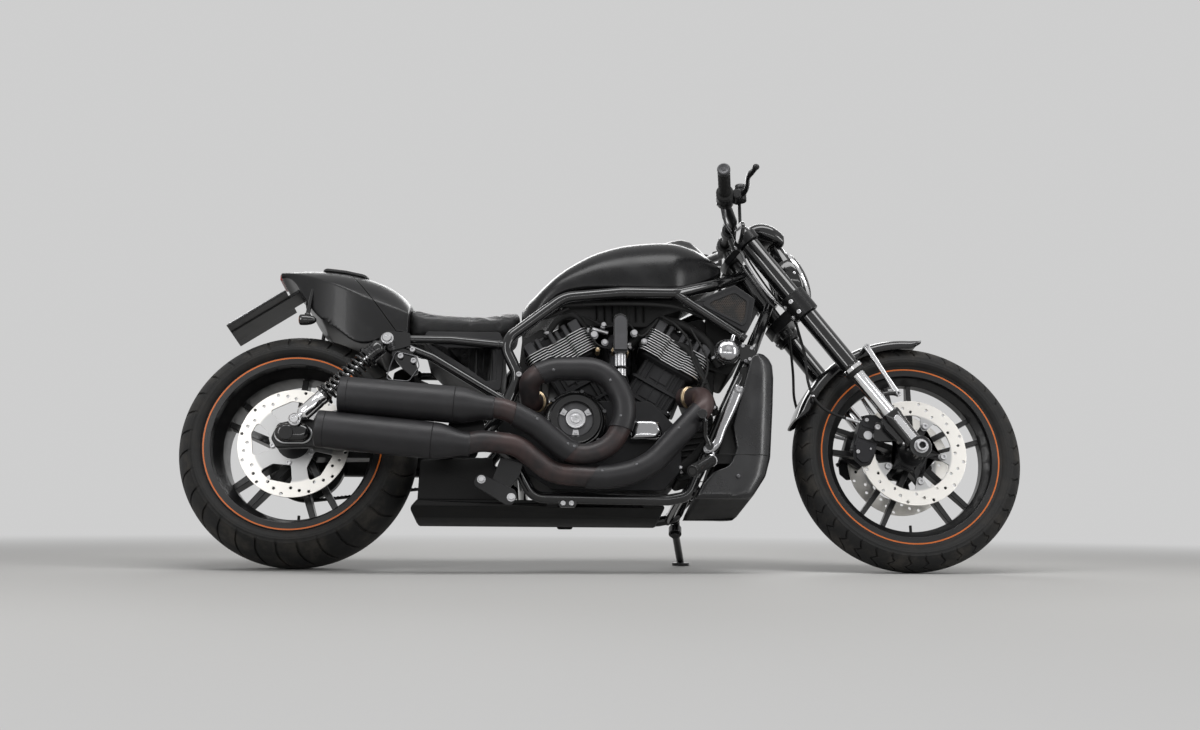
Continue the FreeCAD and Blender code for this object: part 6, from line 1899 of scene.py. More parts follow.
def build_shocks():
    """Shock absorbers with coil springs."""
    bright, black, spring, cup = Shape(), Shape(), Shape(), Shape()
    for side in (-1, 1):
        low, top = (Vector((p.x, -side * p.y, p.z)) for p in (SHOCK_LOW, SHOCK_TOP))
        d = (top - low).normalized()
        length = (top - low).length
        out = Vector((0, side, 0))
        bright.lathe(low - out * 15, out, [(0, 8.4), (0, 16), (1.2, 17), (28.8, 17), (30, 16), (30, 8.4)],
                     36, loop=True)
        bright.lathe(low + d * 14, d, [(0, 9), (4, 13), (12, 19.4), (16, 20), (66, 20), (68, 19), (70, 19),
                                       (72, 20), (88, 20), (88, 9)], 44, loop=True)
        bright.lathe(low + d * 100, d, [(0, 7), (length - 166, 7)], 20)
        black.lathe(low + d * 96, d, [(0, 9), (0, 25), (2, 29.4), (7, 30), (9, 27.5), (10, 22), (13, 20),
                                      (13, 9)], 44, loop=True)
        for s in (102, length - 82):
            black.lathe(low + d * s, d, [(0, 8), (0, 24), (1, 25.6), (3.4, 25.6), (4, 24), (4, 8)], 36,
                        loop=True)
        black.lathe(top - d * 74, d, [(0, 9), (0, 28.6), (1.5, 30), (6.5, 30), (8, 28), (8, 24.4), (10, 23),
                                      (14, 23), (15, 21.6), (18, 21.6), (19, 23), (22, 23), (23, 21.6),
                                      (26, 21.6), (27, 23), (44, 23), (48, 21), (52, 15), (58, 12), (58, 9)],
                    44, loop=True)
        spring.tube(coil_path(low + d * 111, d, 22.8, 9, (length - 74 - 115) / 9), 3.9, 10)
        cup.lathe(top - out * 15, out, [(0, 8.4), (0, 16), (1.2, 17), (28.8, 17), (30, 16), (30, 8.4)], 36,
                  loop=True)
        for p in (low, top):
            cup.lathe(p + out * 16, out, [(0, 0), (0, 12.6), (2, 13), (6, 13), (9, 11), (9, 6.2), (4, 5.6),
                                          (4, 0)], 30)
            bright.rod(p - out * 16, Vector((p.x, side * 181, p.z)), 7.5)
    bright.finish("shock_bodies", "chassis", "chrome", stands_for=["shock_absorbers", "shock_bolts"])
    black.finish("shock_collars", "chassis", "gloss_black")
    spring.finish("shock_coils", "chassis", "gloss_black", angle=60, stands_for=["shock_springs"])
    cup.finish("shock_eyes", "chassis", "polished_alloy")


BELT_Y = 138
BELT_ENDS = ((REAR_AXLE, 109.0), (Vector((600, 0, 338)), 45.0))    # centre and radius at each end


def build_swingarm():
    """Swingarm with its caps, axle ends, sprocket and toothed belt."""
    refined("swingarm_beams", "chassis", "satin_black", "swingarm", bevel=6.0, steps=4, angle=40)
    cap, ring, ends = Shape(), Shape(), Shape()
    for side in (-1, 1):
        rows = []
        for y, grow in ((178, 0), (198, 0), (205, -2), (209.5, -6), (211.6, -11), (212, -18)):
            rows.append([Vector(((34 if c > 0 else -6) + (26 + grow) * c, side * y,
                                 REAR_AXLE.z + 4 + (24 + grow) * s)) for c, s in ring_of(1, 40)])
        cap.skin(rows)
        loop = [Vector((p.x + (p.x - 14) * 0.04, side * 181.5, p.z)) for p in rows[0]]
        ring.tube(loop, 2.6, 10, closed=True)
        foot = REAR_AXLE + ACROSS * (side * 180)
        ends.lathe(foot, (0, side, 0), [(0, 12), (17, 15), (19, 19), (32.6, 19), (34, 17.6), (34, 0)], 40)
    # dark edge and bolts of the mufflers' hanger plate
    edge = soft_corners([(250, 486), (262, 530), (274, 566), (330, 552), (338, 524), (312, 482)], 12)
    hanger = Shape()
    hanger.tube([(x, -184, z) for x, z in edge], 1.4, 8, closed=True)
    hanger.finish("hanger_edge", "chassis", "dark_steel")
    fasteners("hanger_bolts", "chassis", "socket", "satin_steel",
              [((x, -184, z), (0, -1, 0), 8.0) for x, z in ((287, 552), (322, 539))])
    cap.finish("swingarm_end_caps", "chassis", "gloss_black", angle=50)
    ring.finish("swingarm_cap_rings", "chassis", "satin_steel")
    ends.finish("rear_axle_ends", "chassis", "gloss_black", stands_for=["rear_axle"])
    refined("sprocket_wheel", "chassis", "dark_steel", "drive_sprocket", bevel=1.0)
    refined("belt_band", "chassis", "belt_rubber", "drive_belt", bevel=0.8)
    # teeth on the inside of the belt, laid round its own path
    teeth = Shape()
    (a, ra), (b, rb) = BELT_ENDS
    base, lift = math.atan2(b.z - a.z, b.x - a.x), math.asin((ra - rb) / (b - a).length)
    up, low = base + math.pi / 2 - lift, base - math.pi / 2 + lift

    def out(t):
        return Vector((math.cos(t), 0, math.sin(t)))

    line = []
    for centre, r, first, last, steps in ((a, ra, up, low + 2 * math.pi, 46), (b, rb, low, up, 13)):
        turns = [first + (last - first) * k / steps for k in range(steps + 1)]
        line += [(centre + out(t) * r, t) for t in turns]
    for r0, r1, t in ((ra, rb, low), (ra, rb, up)):
        line += [((a + out(t) * r0).lerp(b + out(t) * r1, k / 54), t) for k in range(1, 54)]
    for p, t in line:
        teeth.block(p - out(t) * 0.6 + ACROSS * BELT_Y, (2.6, 19, 5.5), Matrix.Rotation(-t, 3, "Y"))
    teeth.finish("belt_teeth", "chassis", "belt_rubber")


RAIL = [(1251, -18, 866), (1150, -120, 796), (1034, -168, 752), (890, -168, 752), (727, -168, 734),
        (560, -168, 600), (606, -168, 505), (560, -168, 395), (504, -168, 325)]
DOWN = [(1322, -24, 768), (1255, -130, 605), (1145, -150, 373), (1062, -150, 180), (1010, -150, 170),
        (648, -150, 174), (598, -168, 268), (508, -168, 341)]
RAKE, TRAIL = math.radians(34), 142
HEAD_FOOT = 765                        # height of the head tube's lower end


def build_frame():
    """Frame tubes with their weld beads, plates, head tube and bolts."""
    frame_shape, bolts = Shape(), []
    for side in (-1, 1):
        for points, bends, r in ((RAIL, [0, 60, 70, 120, 90, 50, 60, 60, 0], 16.0),
                                 (DOWN, [0, 60, 120, 40, 40, 50, 60, 0], 15.0),
                                 ([(566, -168, 592), (420, -166, 606), (262, -166, 606)], [0, 60, 0], 12.0),
                                 ([(572, -168, 432), (371, -166, 556), (270, -166, 596)], [0, 60, 0], 12.0)):
            frame_shape.tube(bend_path([(x, -side * y, z) for x, y, z in points], bends, 5.0), r, 28)
        for a, b, r in (((1034, 168, 752), (1232, 146, 628), 12), ((727, 168, 734), (727, 0, 734), 11),
                        ((620, 150, 226), (620, 0, 226), 14), ((1040, 150, 174), (1040, 0, 174), 12),
                        ((292, 164, 621), (292, 0, 621), 10)):
            frame_shape.rod((a[0], side * a[1], a[2]), (b[0], side * b[1], b[2]), r, count=24)
        # weld beads where the tubes meet
        for p, axis, r in (((566, 168, 592), (-0.99, -0.01, 0.1), 12),
                           ((572, 168, 432), (-0.85, 0, 0.52), 12),
                           ((1048, 166, 743), (0.85, -0.09, -0.53), 12),
                           ((1232, 146, 628), (-0.85, 0.09, 0.53), 12)):
            axis = Vector((axis[0], side * axis[1], axis[2])).normalized()
            c = Vector((p[0], side * p[1], p[2])) + axis * 15
            frame_shape.lathe(c - axis * 3, axis, [(0, r), (1.5, r + 1.8), (4, r + 2.2), (6, r + 1), (7, r)],
                              24)
        plate = soft_corners([(228, 588), (258, 566), (312, 582), (312, 618), (252, 624), (232, 612)], 10)
        frame_shape.prism([(x, side * 154, z) for x, z in plate], (0, side * 32, 0))
        # carrier plate ahead of the shock's upper eye
        lug = soft_corners([(268, 586), (318, 566), (338, 506), (318, 498), (292, 520), (262, 556)], 9)
        frame_shape.prism([(x, side * 172, z) for x, z in lug], (0, side * 8, 0))
        tab = ((1062, 196), (1078, 236), (1094, 226), (1080, 188))
        frame_shape.prism([(x, side * 136, z) for x, z in tab], (0, side * 28, 0))
        bolts += [((x, side * y, z), (0, side, 0), r) for x, y, z, r in (
            (318, 180, 572, 7.5), (728, 162, 156, 7), (750, 162, 156, 7), (560, 182, 395, 8.5),
            (606, 182, 505, 8), (1190, 160, 470, 7), (1112, 166, 300, 7), (500, 181, 330, 12))]
        tongue = soft_corners([(712, 178), (766, 178), (762, 146), (718, 146)], 8)
        frame_shape.prism([(x, side * 154, z) for x, z in tongue], (0, side * 7, 0))
    rake = Vector((-math.sin(RAKE), 0, math.cos(RAKE)))
    low = Vector((FRONT_AXLE.x + TRAIL, 0, 0)) + rake * (HEAD_FOOT / rake.z)
    frame_shape.lathe(low, rake, [(0, 12), (0, 27), (1, 30), (9, 30), (10, 28), (144, 28), (145, 30),
                                  (153, 30), (154.4, 27), (154.4, 12)], 40, loop=True)
    gusset = soft_corners([(1150, 800), (1250, 862), (1300, 772), (1262, 700)], 10)
    frame_shape.prism([(x, -7, z) for x, z in gusset], (0, 14, 0))
    frame_shape.finish("frame_tubes", "chassis", "gloss_black", angle=40, stands_for=["frame"])
    fasteners("frame_bolts", "chassis", "socket", "satin_steel", bolts)


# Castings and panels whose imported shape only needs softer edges: name, body, finish, node, bevel, angle
SOFTENED = (
    ("side_panel_covers", "chassis", "panel_grey", "side_panels", 1.6, 30),
    ("belly_pan_tray", "chassis", "matt_black", "belly_pan", 4.0, 30),
    ("radiator_core", "chassis", "radiator_fins", "radiator", 2.0, 30),
    ("foot_levers", "chassis", "gloss_black", "foot_controls", 1.0, 40),
    ("side_stand_leg", "stand", "gloss_black", "side_stand", 1.6, 35),
    ("side_stand_bracket", "chassis", "gloss_black", "stand_bracket", 1.6, 35),
    ("throttle_housing", "chassis", "engine_grey", "throttle_body", 1.5, 35),
    ("plate_carrier", "chassis", "satin_black", "plate_holder", 1.2, 30),
    ("plate_blank_sheet", "chassis", "plate_blank", "number_plate", 0.7, 30),
    ("tail_lamp_lens", "chassis", "lamp_red", "tail_lamp", 2.0, 30),
)
ARM_BOLTS = ((1200, 467), (1112, 300))


def build_softened():
    """The softened nodes, and the control arms and pegs in front of the case."""
    for name, body, finish, node, bevel, angle in SOFTENED:
        refined(name, body, finish, node, bevel=bevel, angle=angle, steps=3)
    pegs, rings, arms = Shape(), Shape(), Shape()
    for side in (-1, 1):
        line = flow([(1204, side * 182, 478), (1182, side * 183, 424), (1154, side * 183, 362),
                     (1136, side * 183, 318), (1112, side * 183, 299)], 8)
        radii = np.interp(np.linspace(0, 1, len(line)), [0, 0.08, 0.5, 0.85, 1], [15, 16, 13, 14, 17])
        rows = arms.rings(line, list(radii), 28)
        for p, row in zip(line, rows):
            for q in row:
                q.y = p.y + (q.y - p.y) * 0.8
        arms.skin(rows)
        for x, z in ARM_BOLTS:
            arms.lathe((x, side * 165, z), (0, side, 0), [(0, 0), (0, 12), (28, 12), (30, 11), (30, 0)], 32)
        a, b = Vector((1118, side * 224, 262)), Vector((1052, side * 336, 206))
        d = (b - a).normalized()
        profile = [(0, 9), (0, 13.6), (2, 15.2), (9, 15.6)]
        for k in range(12):
            profile += [(11 + 9 * k, 15.6), (12.5 + 9 * k, 14.2), (15.5 + 9 * k, 14.2), (17 + 9 * k, 15.6)]
        profile += [((b - a).length - 6, 15.6), ((b - a).length, 14), ((b - a).length, 9)]
        pegs.lathe(a, d, profile, 32, loop=True)
        rings.collar(a - d * 2, a + d * 4, 16.4, 10, 32, 1.2)
    arms.finish("control_arm_bars", "chassis", "smoked_chrome", angle=50, stands_for=["control_arms"])
    fasteners("control_arm_bolts", "chassis", "socket", "satin_steel",
              [((x, side * 195, z), (0, side, 0), 8.5) for side in (-1, 1) for x, z in ARM_BOLTS])
    pegs.finish("peg_rubbers", "chassis", "rubber_black", angle=40)
    rings.finish("peg_collars", "chassis", "chrome")


# height and station of the shroud's rear and front edges
SHROUD_REAR = [(174, 1082), (190, 1088), (214, 1101), (246, 1130), (259, 1166), (276, 1180), (312, 1194),
               (340, 1190), (373, 1184), (420, 1196), (480, 1216), (540, 1234), (572, 1243), (582, 1258),
               (589, 1274)]
SHROUD_FRONT = [(174, 1226), (186, 1240), (210, 1256), (240, 1275), (292, 1290), (360, 1296), (440, 1303),
                (520, 1308), (556, 1306), (574, 1296), (589, 1276)]
SHROUD_FOOT, SHROUD_TOP = 174.0, 589.0
CHEEK_Y, DUCT_Y = 171.6, 156.0
CHEEK_SHARES = (0, 0.01, 0.03, 0.06, 0.1, 0.18, 0.3, 0.42, 0.54, 0.66, 0.76, 0.84, 0.9, 0.94, 0.97, 0.99, 1)


def build_shroud():
    """Rounded cheeks over the sides of the shroud; the ducting between them keeps clear of their faces."""
    bm = node_copy("radiator_shroud")
    for v in bm.verts:
        p = UNBIKE @ v.co * 1000
        p.y = math.copysign(min(abs(p.y), DUCT_Y - max(0.0, p.x - 1220) * 0.3), p.y)
        v.co = BIKE @ (p / 1000)
    duct = bpy.data.meshes.new("shroud_duct")
    bm.to_mesh(duct)
    bm.free()
    crisp(duct, 30.0)
    round_edges(place_piece("shroud_duct", duct, "chassis", ["matt_black"], ["radiator_shroud"]), 3.0, 30)
    cheeks = Shape()
    rear_z, rear_x = zip(*SHROUD_REAR)
    front_z, front_x = zip(*SHROUD_FRONT)
    for side in (-1, 1):
        rows = []
        for k in range(73):
            z = SHROUD_FOOT + (SHROUD_TOP - SHROUD_FOOT) * k / 72
            x0, x1 = np.interp(z, rear_z, rear_x), np.interp(z, front_z, front_x)
            ends = min(z - SHROUD_FOOT, SHROUD_TOP - z)
            row, back = [], []
            for t in CHEEK_SHARES:
                x = x0 + (x1 - x0) * t
                edge = max(0.0, 1 - min(x - x0, ends) / 9.0)
                nose = max(0.0, 1 - (x1 - x) / 26.0)
                y = CHEEK_Y - 9 * (1 - math.sqrt(max(0.0, 1 - edge ** 2)))
                y -= 14 * (1 - math.sqrt(max(0.0, 1 - nose ** 2))) + 20 * max(0.0, (x - 1200) / 108) ** 1.6
                y += 3.0 * math.exp(-((x1 - x - 34) / 12.0) ** 2) - 3.0
                row.append((x, side * y, z))
                back.append((x, side * min(y - 2, 150.0 - 24 * max(0.0, (x - 1200) / 108) ** 1.6), z))
            rows.append(row + back[::-1])
        cheeks.skin(rows)
    cheeks.finish("shroud_cheeks", "chassis", "shroud_black", angle=50)
    seam = Shape()
    for side in (-1, 1):
        seam.tube([(1110, side * 167, 293), (1180, side * 168.6, 293), (1240, side * 165.8, 293.5),
                   (1262, side * 163.4, 294), (1280, side * 154, 294)], 1.3, 8)
    fins = Shape()
    for k in range(30):
        fins.block((1242 + 0.48 * k, 0, 300 + 8 * k), (6, 236, 1.6))
    fins.finish("radiator_fin_rows", "chassis", "satin_steel")
    seam.finish("shroud_seams", "chassis", "matt_black")
    fasteners("shroud_screws", "chassis", "dome", "dark_steel",
              both_sides([((1226, -173.4, 556), (0, -1, 0), 5.5), ((1196, -173.4, 232), (0, -1, 0), 5.5)]))


def build_horn():
    """Horn with its bands and bolts."""
    dome, band = Shape(), Shape()
    base = Vector((1179, -132, 589))
    dome.lathe(base, (0, -1, 0), [(0, 22), (6, 31), (12, 34.4), (15, 35), (22, 35), (25, 34.4), (27, 33),
                                  (29, 31.6), (33, 31), (38, 28.6), (42, 24), (45, 17), (47, 10), (47.5, 0)],
               56)
    dome.rod((1186, -148, 604), (1204, -150, 650), 7.5, edge=1)
    band.collar(base - ACROSS * 10, base - ACROSS * 21.5, 36.4, 30, 48, 1)
    band.collar(base - ACROSS * 28, base - ACROSS * 30.5, 33, 28, 48, 0.8)
    plate = soft_corners([(1212, 612), (1250, 606), (1262, 570), (1238, 552), (1214, 566)], 9)
    band.prism([(x, -158, z) for x, z in plate], (0, 8, 0))
    dome.finish("horn_shell", "chassis", "smoked_chrome", angle=50, stands_for=["horn"])
    band.finish("horn_bands", "chassis", "gloss_black", bevel=0.8)
    fasteners("horn_bolt", "chassis", "hex", "satin_steel", [(base - ACROSS * 47, -ACROSS, 6.5)])
    fasteners("horn_plate_bolts", "chassis", "socket", "satin_steel",
              [((x, -158, z), (0, -1, 0), 5.0) for x, z in ((1222, 604), (1246, 598), (1240, 566))])


def build_scoops():
    """Side scoops with their framed mesh screens."""
    refined("scoop_shells", "chassis", "panel_black", "side_scoops", bevel=4.0, steps=4, angle=35)
    opening = [(1092, 728), (1204, 776), (1250, 742), (1238, 672), (1226, 656)]
    border, screen = Shape(), Shape()
    for side in (-1, 1):
        outer, inner = (soft_corners(scaled_outline(opening, s), 12) for s in (0.90, 0.74))
        border.skin([[(x, side * y, z) for x, z in outline]
                     for outline, y in ((outer, 157), (outer, 160.6), (inner, 160.6), (inner, 157))],
                    loop=True)
        screen.prism([(x, side * 157, z) for x, z in inner], (0, side * 1.6, 0))
    border.finish("scoop_borders", "chassis", "panel_grey", bevel=0.8)
    screen.finish("scoop_screens", "chassis", "mesh_screen")


def build_tail_details():
    """Pillion pad, indicators, the number plate's strip and screws, and wires."""
    pad = Shape()
    rings = []
    for k in range(25):
        x = 44 + 128 * k / 24
        end = min(x - 44, 172 - x)
        soft = 1 - 0.22 * max(0.0, 1 - end / 16) ** 2
        top = float(np.interp(x, [-6, 52, 108, 165, 237], [852, 852, 846, 834, 806]))
        rings.append(shell_ring(x, 66 * soft, top - 9, top - 6, top + 2.6 * soft, fold=2.0, count=28,
                                power=5.0))
    pad.skin(rings)
    pad.finish("pillion_pad", "chassis", "seat_vinyl", angle=60)
    lamp, lens = Shape(), Shape()
    for side in (-1, 1):
        c = Vector((20, 128 * side, 672))
        lamp.lathe(c, AHEAD, [(-19, 0), (-19, 13.6), (-17, 14.6), (-10, 15), (0, 14.6), (12, 12.6), (20, 9.4),
                              (25, 5), (27, 0)], 32)
        lens.lathe(c, AHEAD, [(-22, 0), (-21.6, 6), (-20.4, 11), (-18, 13.4), (-16, 13.4), (-16, 0)], 32)
        lamp.tube(flow([c, c + Vector((4, -2 * side, 40)), c + Vector((10, -8 * side, 92))], 6),
                  [6.5 - 1.6 * k / 12 for k in range(13)], 18)
        lamp.collar(c + Vector((1, 0, 12)), c + Vector((1.5, 0, 18)), 8.4, 4, 20, 0.8)
    lamp.finish("indicator_pods", "chassis", "gloss_black", angle=50, stands_for=["rear_indicators"])
    lens.finish("indicator_lenses", "chassis", "lamp_amber")
    # frame strip round the blank plate and its screws
    top, foot = Vector((-12, 0, 793)), Vector((-204, 0, 661))
    d = (foot - top).normalized()
    n = Vector((d.z, 0, -d.x))
    n = n if n.z > 0 else -n
    span = (foot - top).length
    strip = Shape()

    def on(run, y, off):
        return top + d * run + ACROSS * y + n * off

    way = math.copysign(1, (UNBIKE @ NODES["number_plate"].data.vertices[0].co * 1000 - top).dot(n))
    corners = [on(run, y, 12.4 * way) for run, y in ((50, -77), (50, 77), (span - 6, 77), (span - 6, -77),
                                                     (50, -77))]
    strip.tube(bend_path(corners, [0, 6, 6, 6, 0], 2.0), 1.5, 8)
    spots = [(on(run, y, 11.2 * way), n * way, 4.5) for run in (70, span - 26) for y in (-56, 56)]
    strip.finish("plate_strip", "chassis", "satin_steel")
    fasteners("plate_screws", "chassis", "dome", "satin_steel", spots)
    wire = Shape()
    wire.tube(flow([(18, -60, 770), (8, -78, 742), (14, -90, 716), (24, -104, 742), (34, -112, 772)], 7),
              2.6, 10)
    wire.collar((2, -58, 762), (2, -64, 762), 8.5, 5.5, 24, 1)
    wire.finish("tail_wires", "chassis", "rubber_black")


# hoses and cables of the engine bay: points of each and its radius
HOSES = (
    (((905, -66, 620), (960, -92, 668), (1030, -108, 690), (1120, -112, 640), (1166, -104, 560)), 13),
    (((1010, -96, 640), (1072, -112, 610), (1104, -118, 548), (1130, -110, 480), (1150, -104, 420)), 10),
    (((676, -100, 640), (714, -112, 690), (760, -112, 700), (806, -96, 652)), 9),
    (((1166, -120, 360), (1120, -128, 330), (1082, -118, 290), (1040, -100, 262)), 15),
)
CABLES = (
    (((700, -150, 716), (820, -154, 722), (960, -154, 724), (1050, -150, 716), (1130, -134, 690)), 5.5),
    (((780, -124, 700), (846, -134, 664), (902, -132, 676), (944, -126, 640), (990, -128, 690)), 3.0),
    (((824, -118, 690), (800, -128, 650), (822, -134, 610), (858, -126, 600)), 2.6),
    (((1000, -128, 700), (1042, -136, 668), (1078, -134, 620), (1090, -128, 560), (1120, -138, 500)), 3.6),
    (((1080, -140, 660), (1124, -150, 560), (1100, -150, 470), (1060, -140, 400)), 3.0),
    (((620, -140, 640), (648, -146, 668), (700, -150, 690), (740, -146, 712)), 4.2),
)


def build_bay():
    """What fills the engine bay behind the heads: airbox, hoses, plugs and cables."""
    box, hose, plug, brass, cable = (Shape() for _ in range(5))
    box.plate([(700, 690), (760, 748), (1070, 756), (1060, 724), (990, 700), (960, 672), (800, 672),
               (770, 690)], -112, 112, 16)
    box.plate([(800, 560), (812, 676), (952, 676), (962, 560), (915, 470), (846, 470)], 34, 108, 14)
    for k in range(7):
        box.block((820 + 22 * k, -114, 712), (6, 6, 56))
    box.plate([(1130, 560), (1132, 716), (1196, 760), (1236, 730), (1232, 600), (1190, 540)], -86, 96, 12)
    box.plate([(1040, 236), (1052, 420), (1110, 452), (1150, 430), (1120, 262)], -64, 64, 14)
    for k in range(9):
        box.block((1084 + 3 * k, -66, 280 + 17 * k), (74, 6, 6), Matrix.Rotation(math.radians(-8), 3, "Y"))
    box.plate([(1046, 560), (1066, 700), (1124, 716), (1160, 640), (1148, 470), (1100, 420)], -70, 96, 16)
    box.plate([(596, 470), (612, 640), (668, 676), (716, 640), (660, 560), (652, 470)], -78, 96, 16)
    for path, r in HOSES:
        line = flow(path, 8)
        hose.tube(line, r, 20)
        for s in (0.06, 0.92):
            k = int(s * (len(line) - 1))
            ahead = (line[k + 1] - line[k]).normalized()
            plug.collar(line[k], line[k] + ahead * 8, r + 2.2, r - 1, 28, 0.8)
            plug.block(line[k] + ahead * 4 - ACROSS * (r + 3), (7, 6, 7))
    # T-shaped fitting, plugs and the small caps between the heads
    for x, z, r, long in ((812, 640, 10, 26), (842, 620, 8, 20), (924, 648, 9, 22), (952, 626, 7, 16),
                          (838, 668, 7, 30)):
        plug.rod((x, -112, z), (x, -112 - long, z), r, count=24, edge=1.2)
        plug.collar((x, -112 - long * 0.5, z), (x, -112 - long * 0.5 - 4, z), r + 2, r - 1, 24, 0.6)
    plug.rod((800, -118, 664), (852, -118, 650), 6.5, count=20, edge=1)
    for x, z in ((866, 596), (902, 590), (822, 596)):
        brass.rod((x, -96, z), (x, -124, z + 3), 6.5, count=6, edge=0.8)
        brass.rod((x, -122, z + 3), (x, -132, z + 4), 4, count=18, edge=0.6)
    for path, r in CABLES:
        line = flow(path, 9)
        cable.tube(line, r, 12)
        for k in range(6, len(line) - 4, 9):
            ahead = (line[k + 1] - line[k]).normalized()
            cable.collar(line[k], line[k] + ahead * 3.5, r + 1.3, r - 0.6, 16, 0.4)
    box.finish("airbox", "chassis", "matt_black", bevel=3.0)
    hose.finish("coolant_hoses", "chassis", "rubber_black", angle=60)
    plug.finish("hose_clamps", "chassis", "satin_steel")
    brass.finish("brass_plugs", "chassis", "collar_brass")
    cable.finish("bay_cables", "chassis", "rubber_black", angle=60)


FLOOR_HALF = 14.0
FLOOR_FADE = (1.1, 3.4)                    # where the floor starts to fade and where it is gone, in metres
CAMERA_PLACE = (0.65958, -3.5, 0.2)        # from the rear axle's foot, and over the floor, in metres
CAMERA_SHIFT = 0.048
# softboxes: name, place, aimed at, width, height, power
SOFTBOXES = (
    ("key_overhead", (0.1, -1.0, 2.9), (0.0, 0.0, 0.5), 3.4, 0.9, 62.0),
    ("rear_strip", (-2.2, -2.4, 1.5), (-0.3, 0.0, 0.5), 0.5, 1.8, 23.0),
    ("front_strip", (2.6, -1.9, 1.4), (0.5, 0.0, 0.5), 0.5, 2.0, 25.0),
    ("low_strip", (0.2, -3.0, 0.95), (0.0, 0.0, 0.4), 3.2, 0.18, 9.0),
    ("back_strip", (0.0, 2.6, 2.0), (0.0, 0.0, 0.6), 3.0, 0.8, 36.0),
)


def build_stage(settings):
    """Floor, softboxes, world and the camera fitted to the photograph."""
    scene = bpy.context.scene
    scene.view_settings.view_transform = "Standard"
    pale = settings.background
    floor = bpy.data.meshes.new("studio_floor")
    floor.from_pydata([(x * FLOOR_HALF, y * FLOOR_HALF, 0) for x, y in ((-1, -1), (1, -1), (1, 1), (-1, 1))],
                      [], [(0, 1, 2, 3)])
    ground = bpy.data.objects.new("studio_floor", floor)
    scene.collection.objects.link(ground)
    # near the object the floor is shaded and keeps its shadow; far off it fades into the background
    s = Shader("floor_pale")
    speck = s.noise(30.0, 4.0)
    s.finish(color=s.mix(speck * 0.2, settings.floor_colour, tuple(0.92 * c for c in settings.floor_colour)),
             roughness=0.7, specular=0.2)
    x, y, _ = s.split(s.coordinates())
    reach = (x * x * 0.5 + y * y).root()
    glow = s.tree.nodes.new("ShaderNodeEmission")
    glow.inputs["Color"].default_value = (pale, pale, pale, 1.0)
    blend = s.tree.nodes.new("ShaderNodeMixShader")
    s.put(blend.inputs[0], reach.smooth(*FLOOR_FADE))
    s.tree.links.new(s.surface.outputs[0], blend.inputs[1])
    s.tree.links.new(glow.outputs[0], blend.inputs[2])
    s.tree.links.new(blend.outputs[0], s.out.inputs[0])
    floor.materials.append(s.material)
    world = bpy.data.worlds.new("studio")
    scene.world = world
    world.use_nodes = True
    tree = world.node_tree
    back = tree.nodes["Background"]
    path = tree.nodes.new("ShaderNodeLightPath")
    seen = path.outputs["Is Camera Ray"]
    for kind in ("Is Glossy Ray", "Is Transmission Ray"):
        either = tree.nodes.new("ShaderNodeMath")
        either.operation = "MAXIMUM"
        tree.links.new(seen, either.inputs[0])
        tree.links.new(path.outputs[kind], either.inputs[1])
        seen = either.outputs[0]
    level = tree.nodes.new("ShaderNodeMapRange")
    level.inputs["To Min"].default_value = settings.ambient
    level.inputs["To Max"].default_value = pale
    tree.links.new(seen, level.inputs["Value"])
    tree.links.new(level.outputs[0], back.inputs["Strength"])
    back.inputs["Color"].default_value = (1.0, 1.0, 1.0, 1.0)
    for name, place, target, wide, tall, power in SOFTBOXES:
        lamp = bpy.data.lights.new(name, "AREA")
        lamp.shape = "RECTANGLE"
        lamp.size, lamp.size_y, lamp.energy = wide, tall, power * settings.light_level
        holder = bpy.data.objects.new(name, lamp)
        scene.collection.objects.link(holder)
        aim = (Vector(target) - Vector(place)).to_track_quat("-Z", "Y")
        holder.matrix_world = Matrix.LocRotScale(Vector(place), aim, None)
    camera = bpy.data.cameras.new("photo_view")
    camera.sensor_width = 36.0
    camera.sensor_fit = "HORIZONTAL"
    camera.lens = settings.lens
    camera.shift_y = CAMERA_SHIFT
    camera.clip_end = 60.0
    rig = bpy.data.objects.new("photo_view", camera)
    scene.collection.objects.link(rig)
    yaw, pitch, roll = settings.yaw, settings.pitch, settings.roll
    ahead = Vector((math.sin(yaw) * math.cos(pitch), math.cos(yaw) * math.cos(pitch), math.sin(pitch)))
    right = Vector((math.cos(yaw), -math.sin(yaw), 0))
    up = right.cross(ahead)
    right, up = right * math.cos(roll) + up * math.sin(roll), up * math.cos(roll) - right * math.sin(roll)
    origin = BIKE @ Vector((0, 0, 0))
    place = Vector((origin.x + CAMERA_PLACE[0], origin.y + CAMERA_PLACE[1], CAMERA_PLACE[2]))
    rig.matrix_world = Matrix((
        (right.x, up.x, -ahead.x, place.x), (right.y, up.y, -ahead.y, place.y),
        (right.z, up.z, -ahead.z, place.z), (0, 0, 0, 1)))
    scene.camera = rig


# The add-on


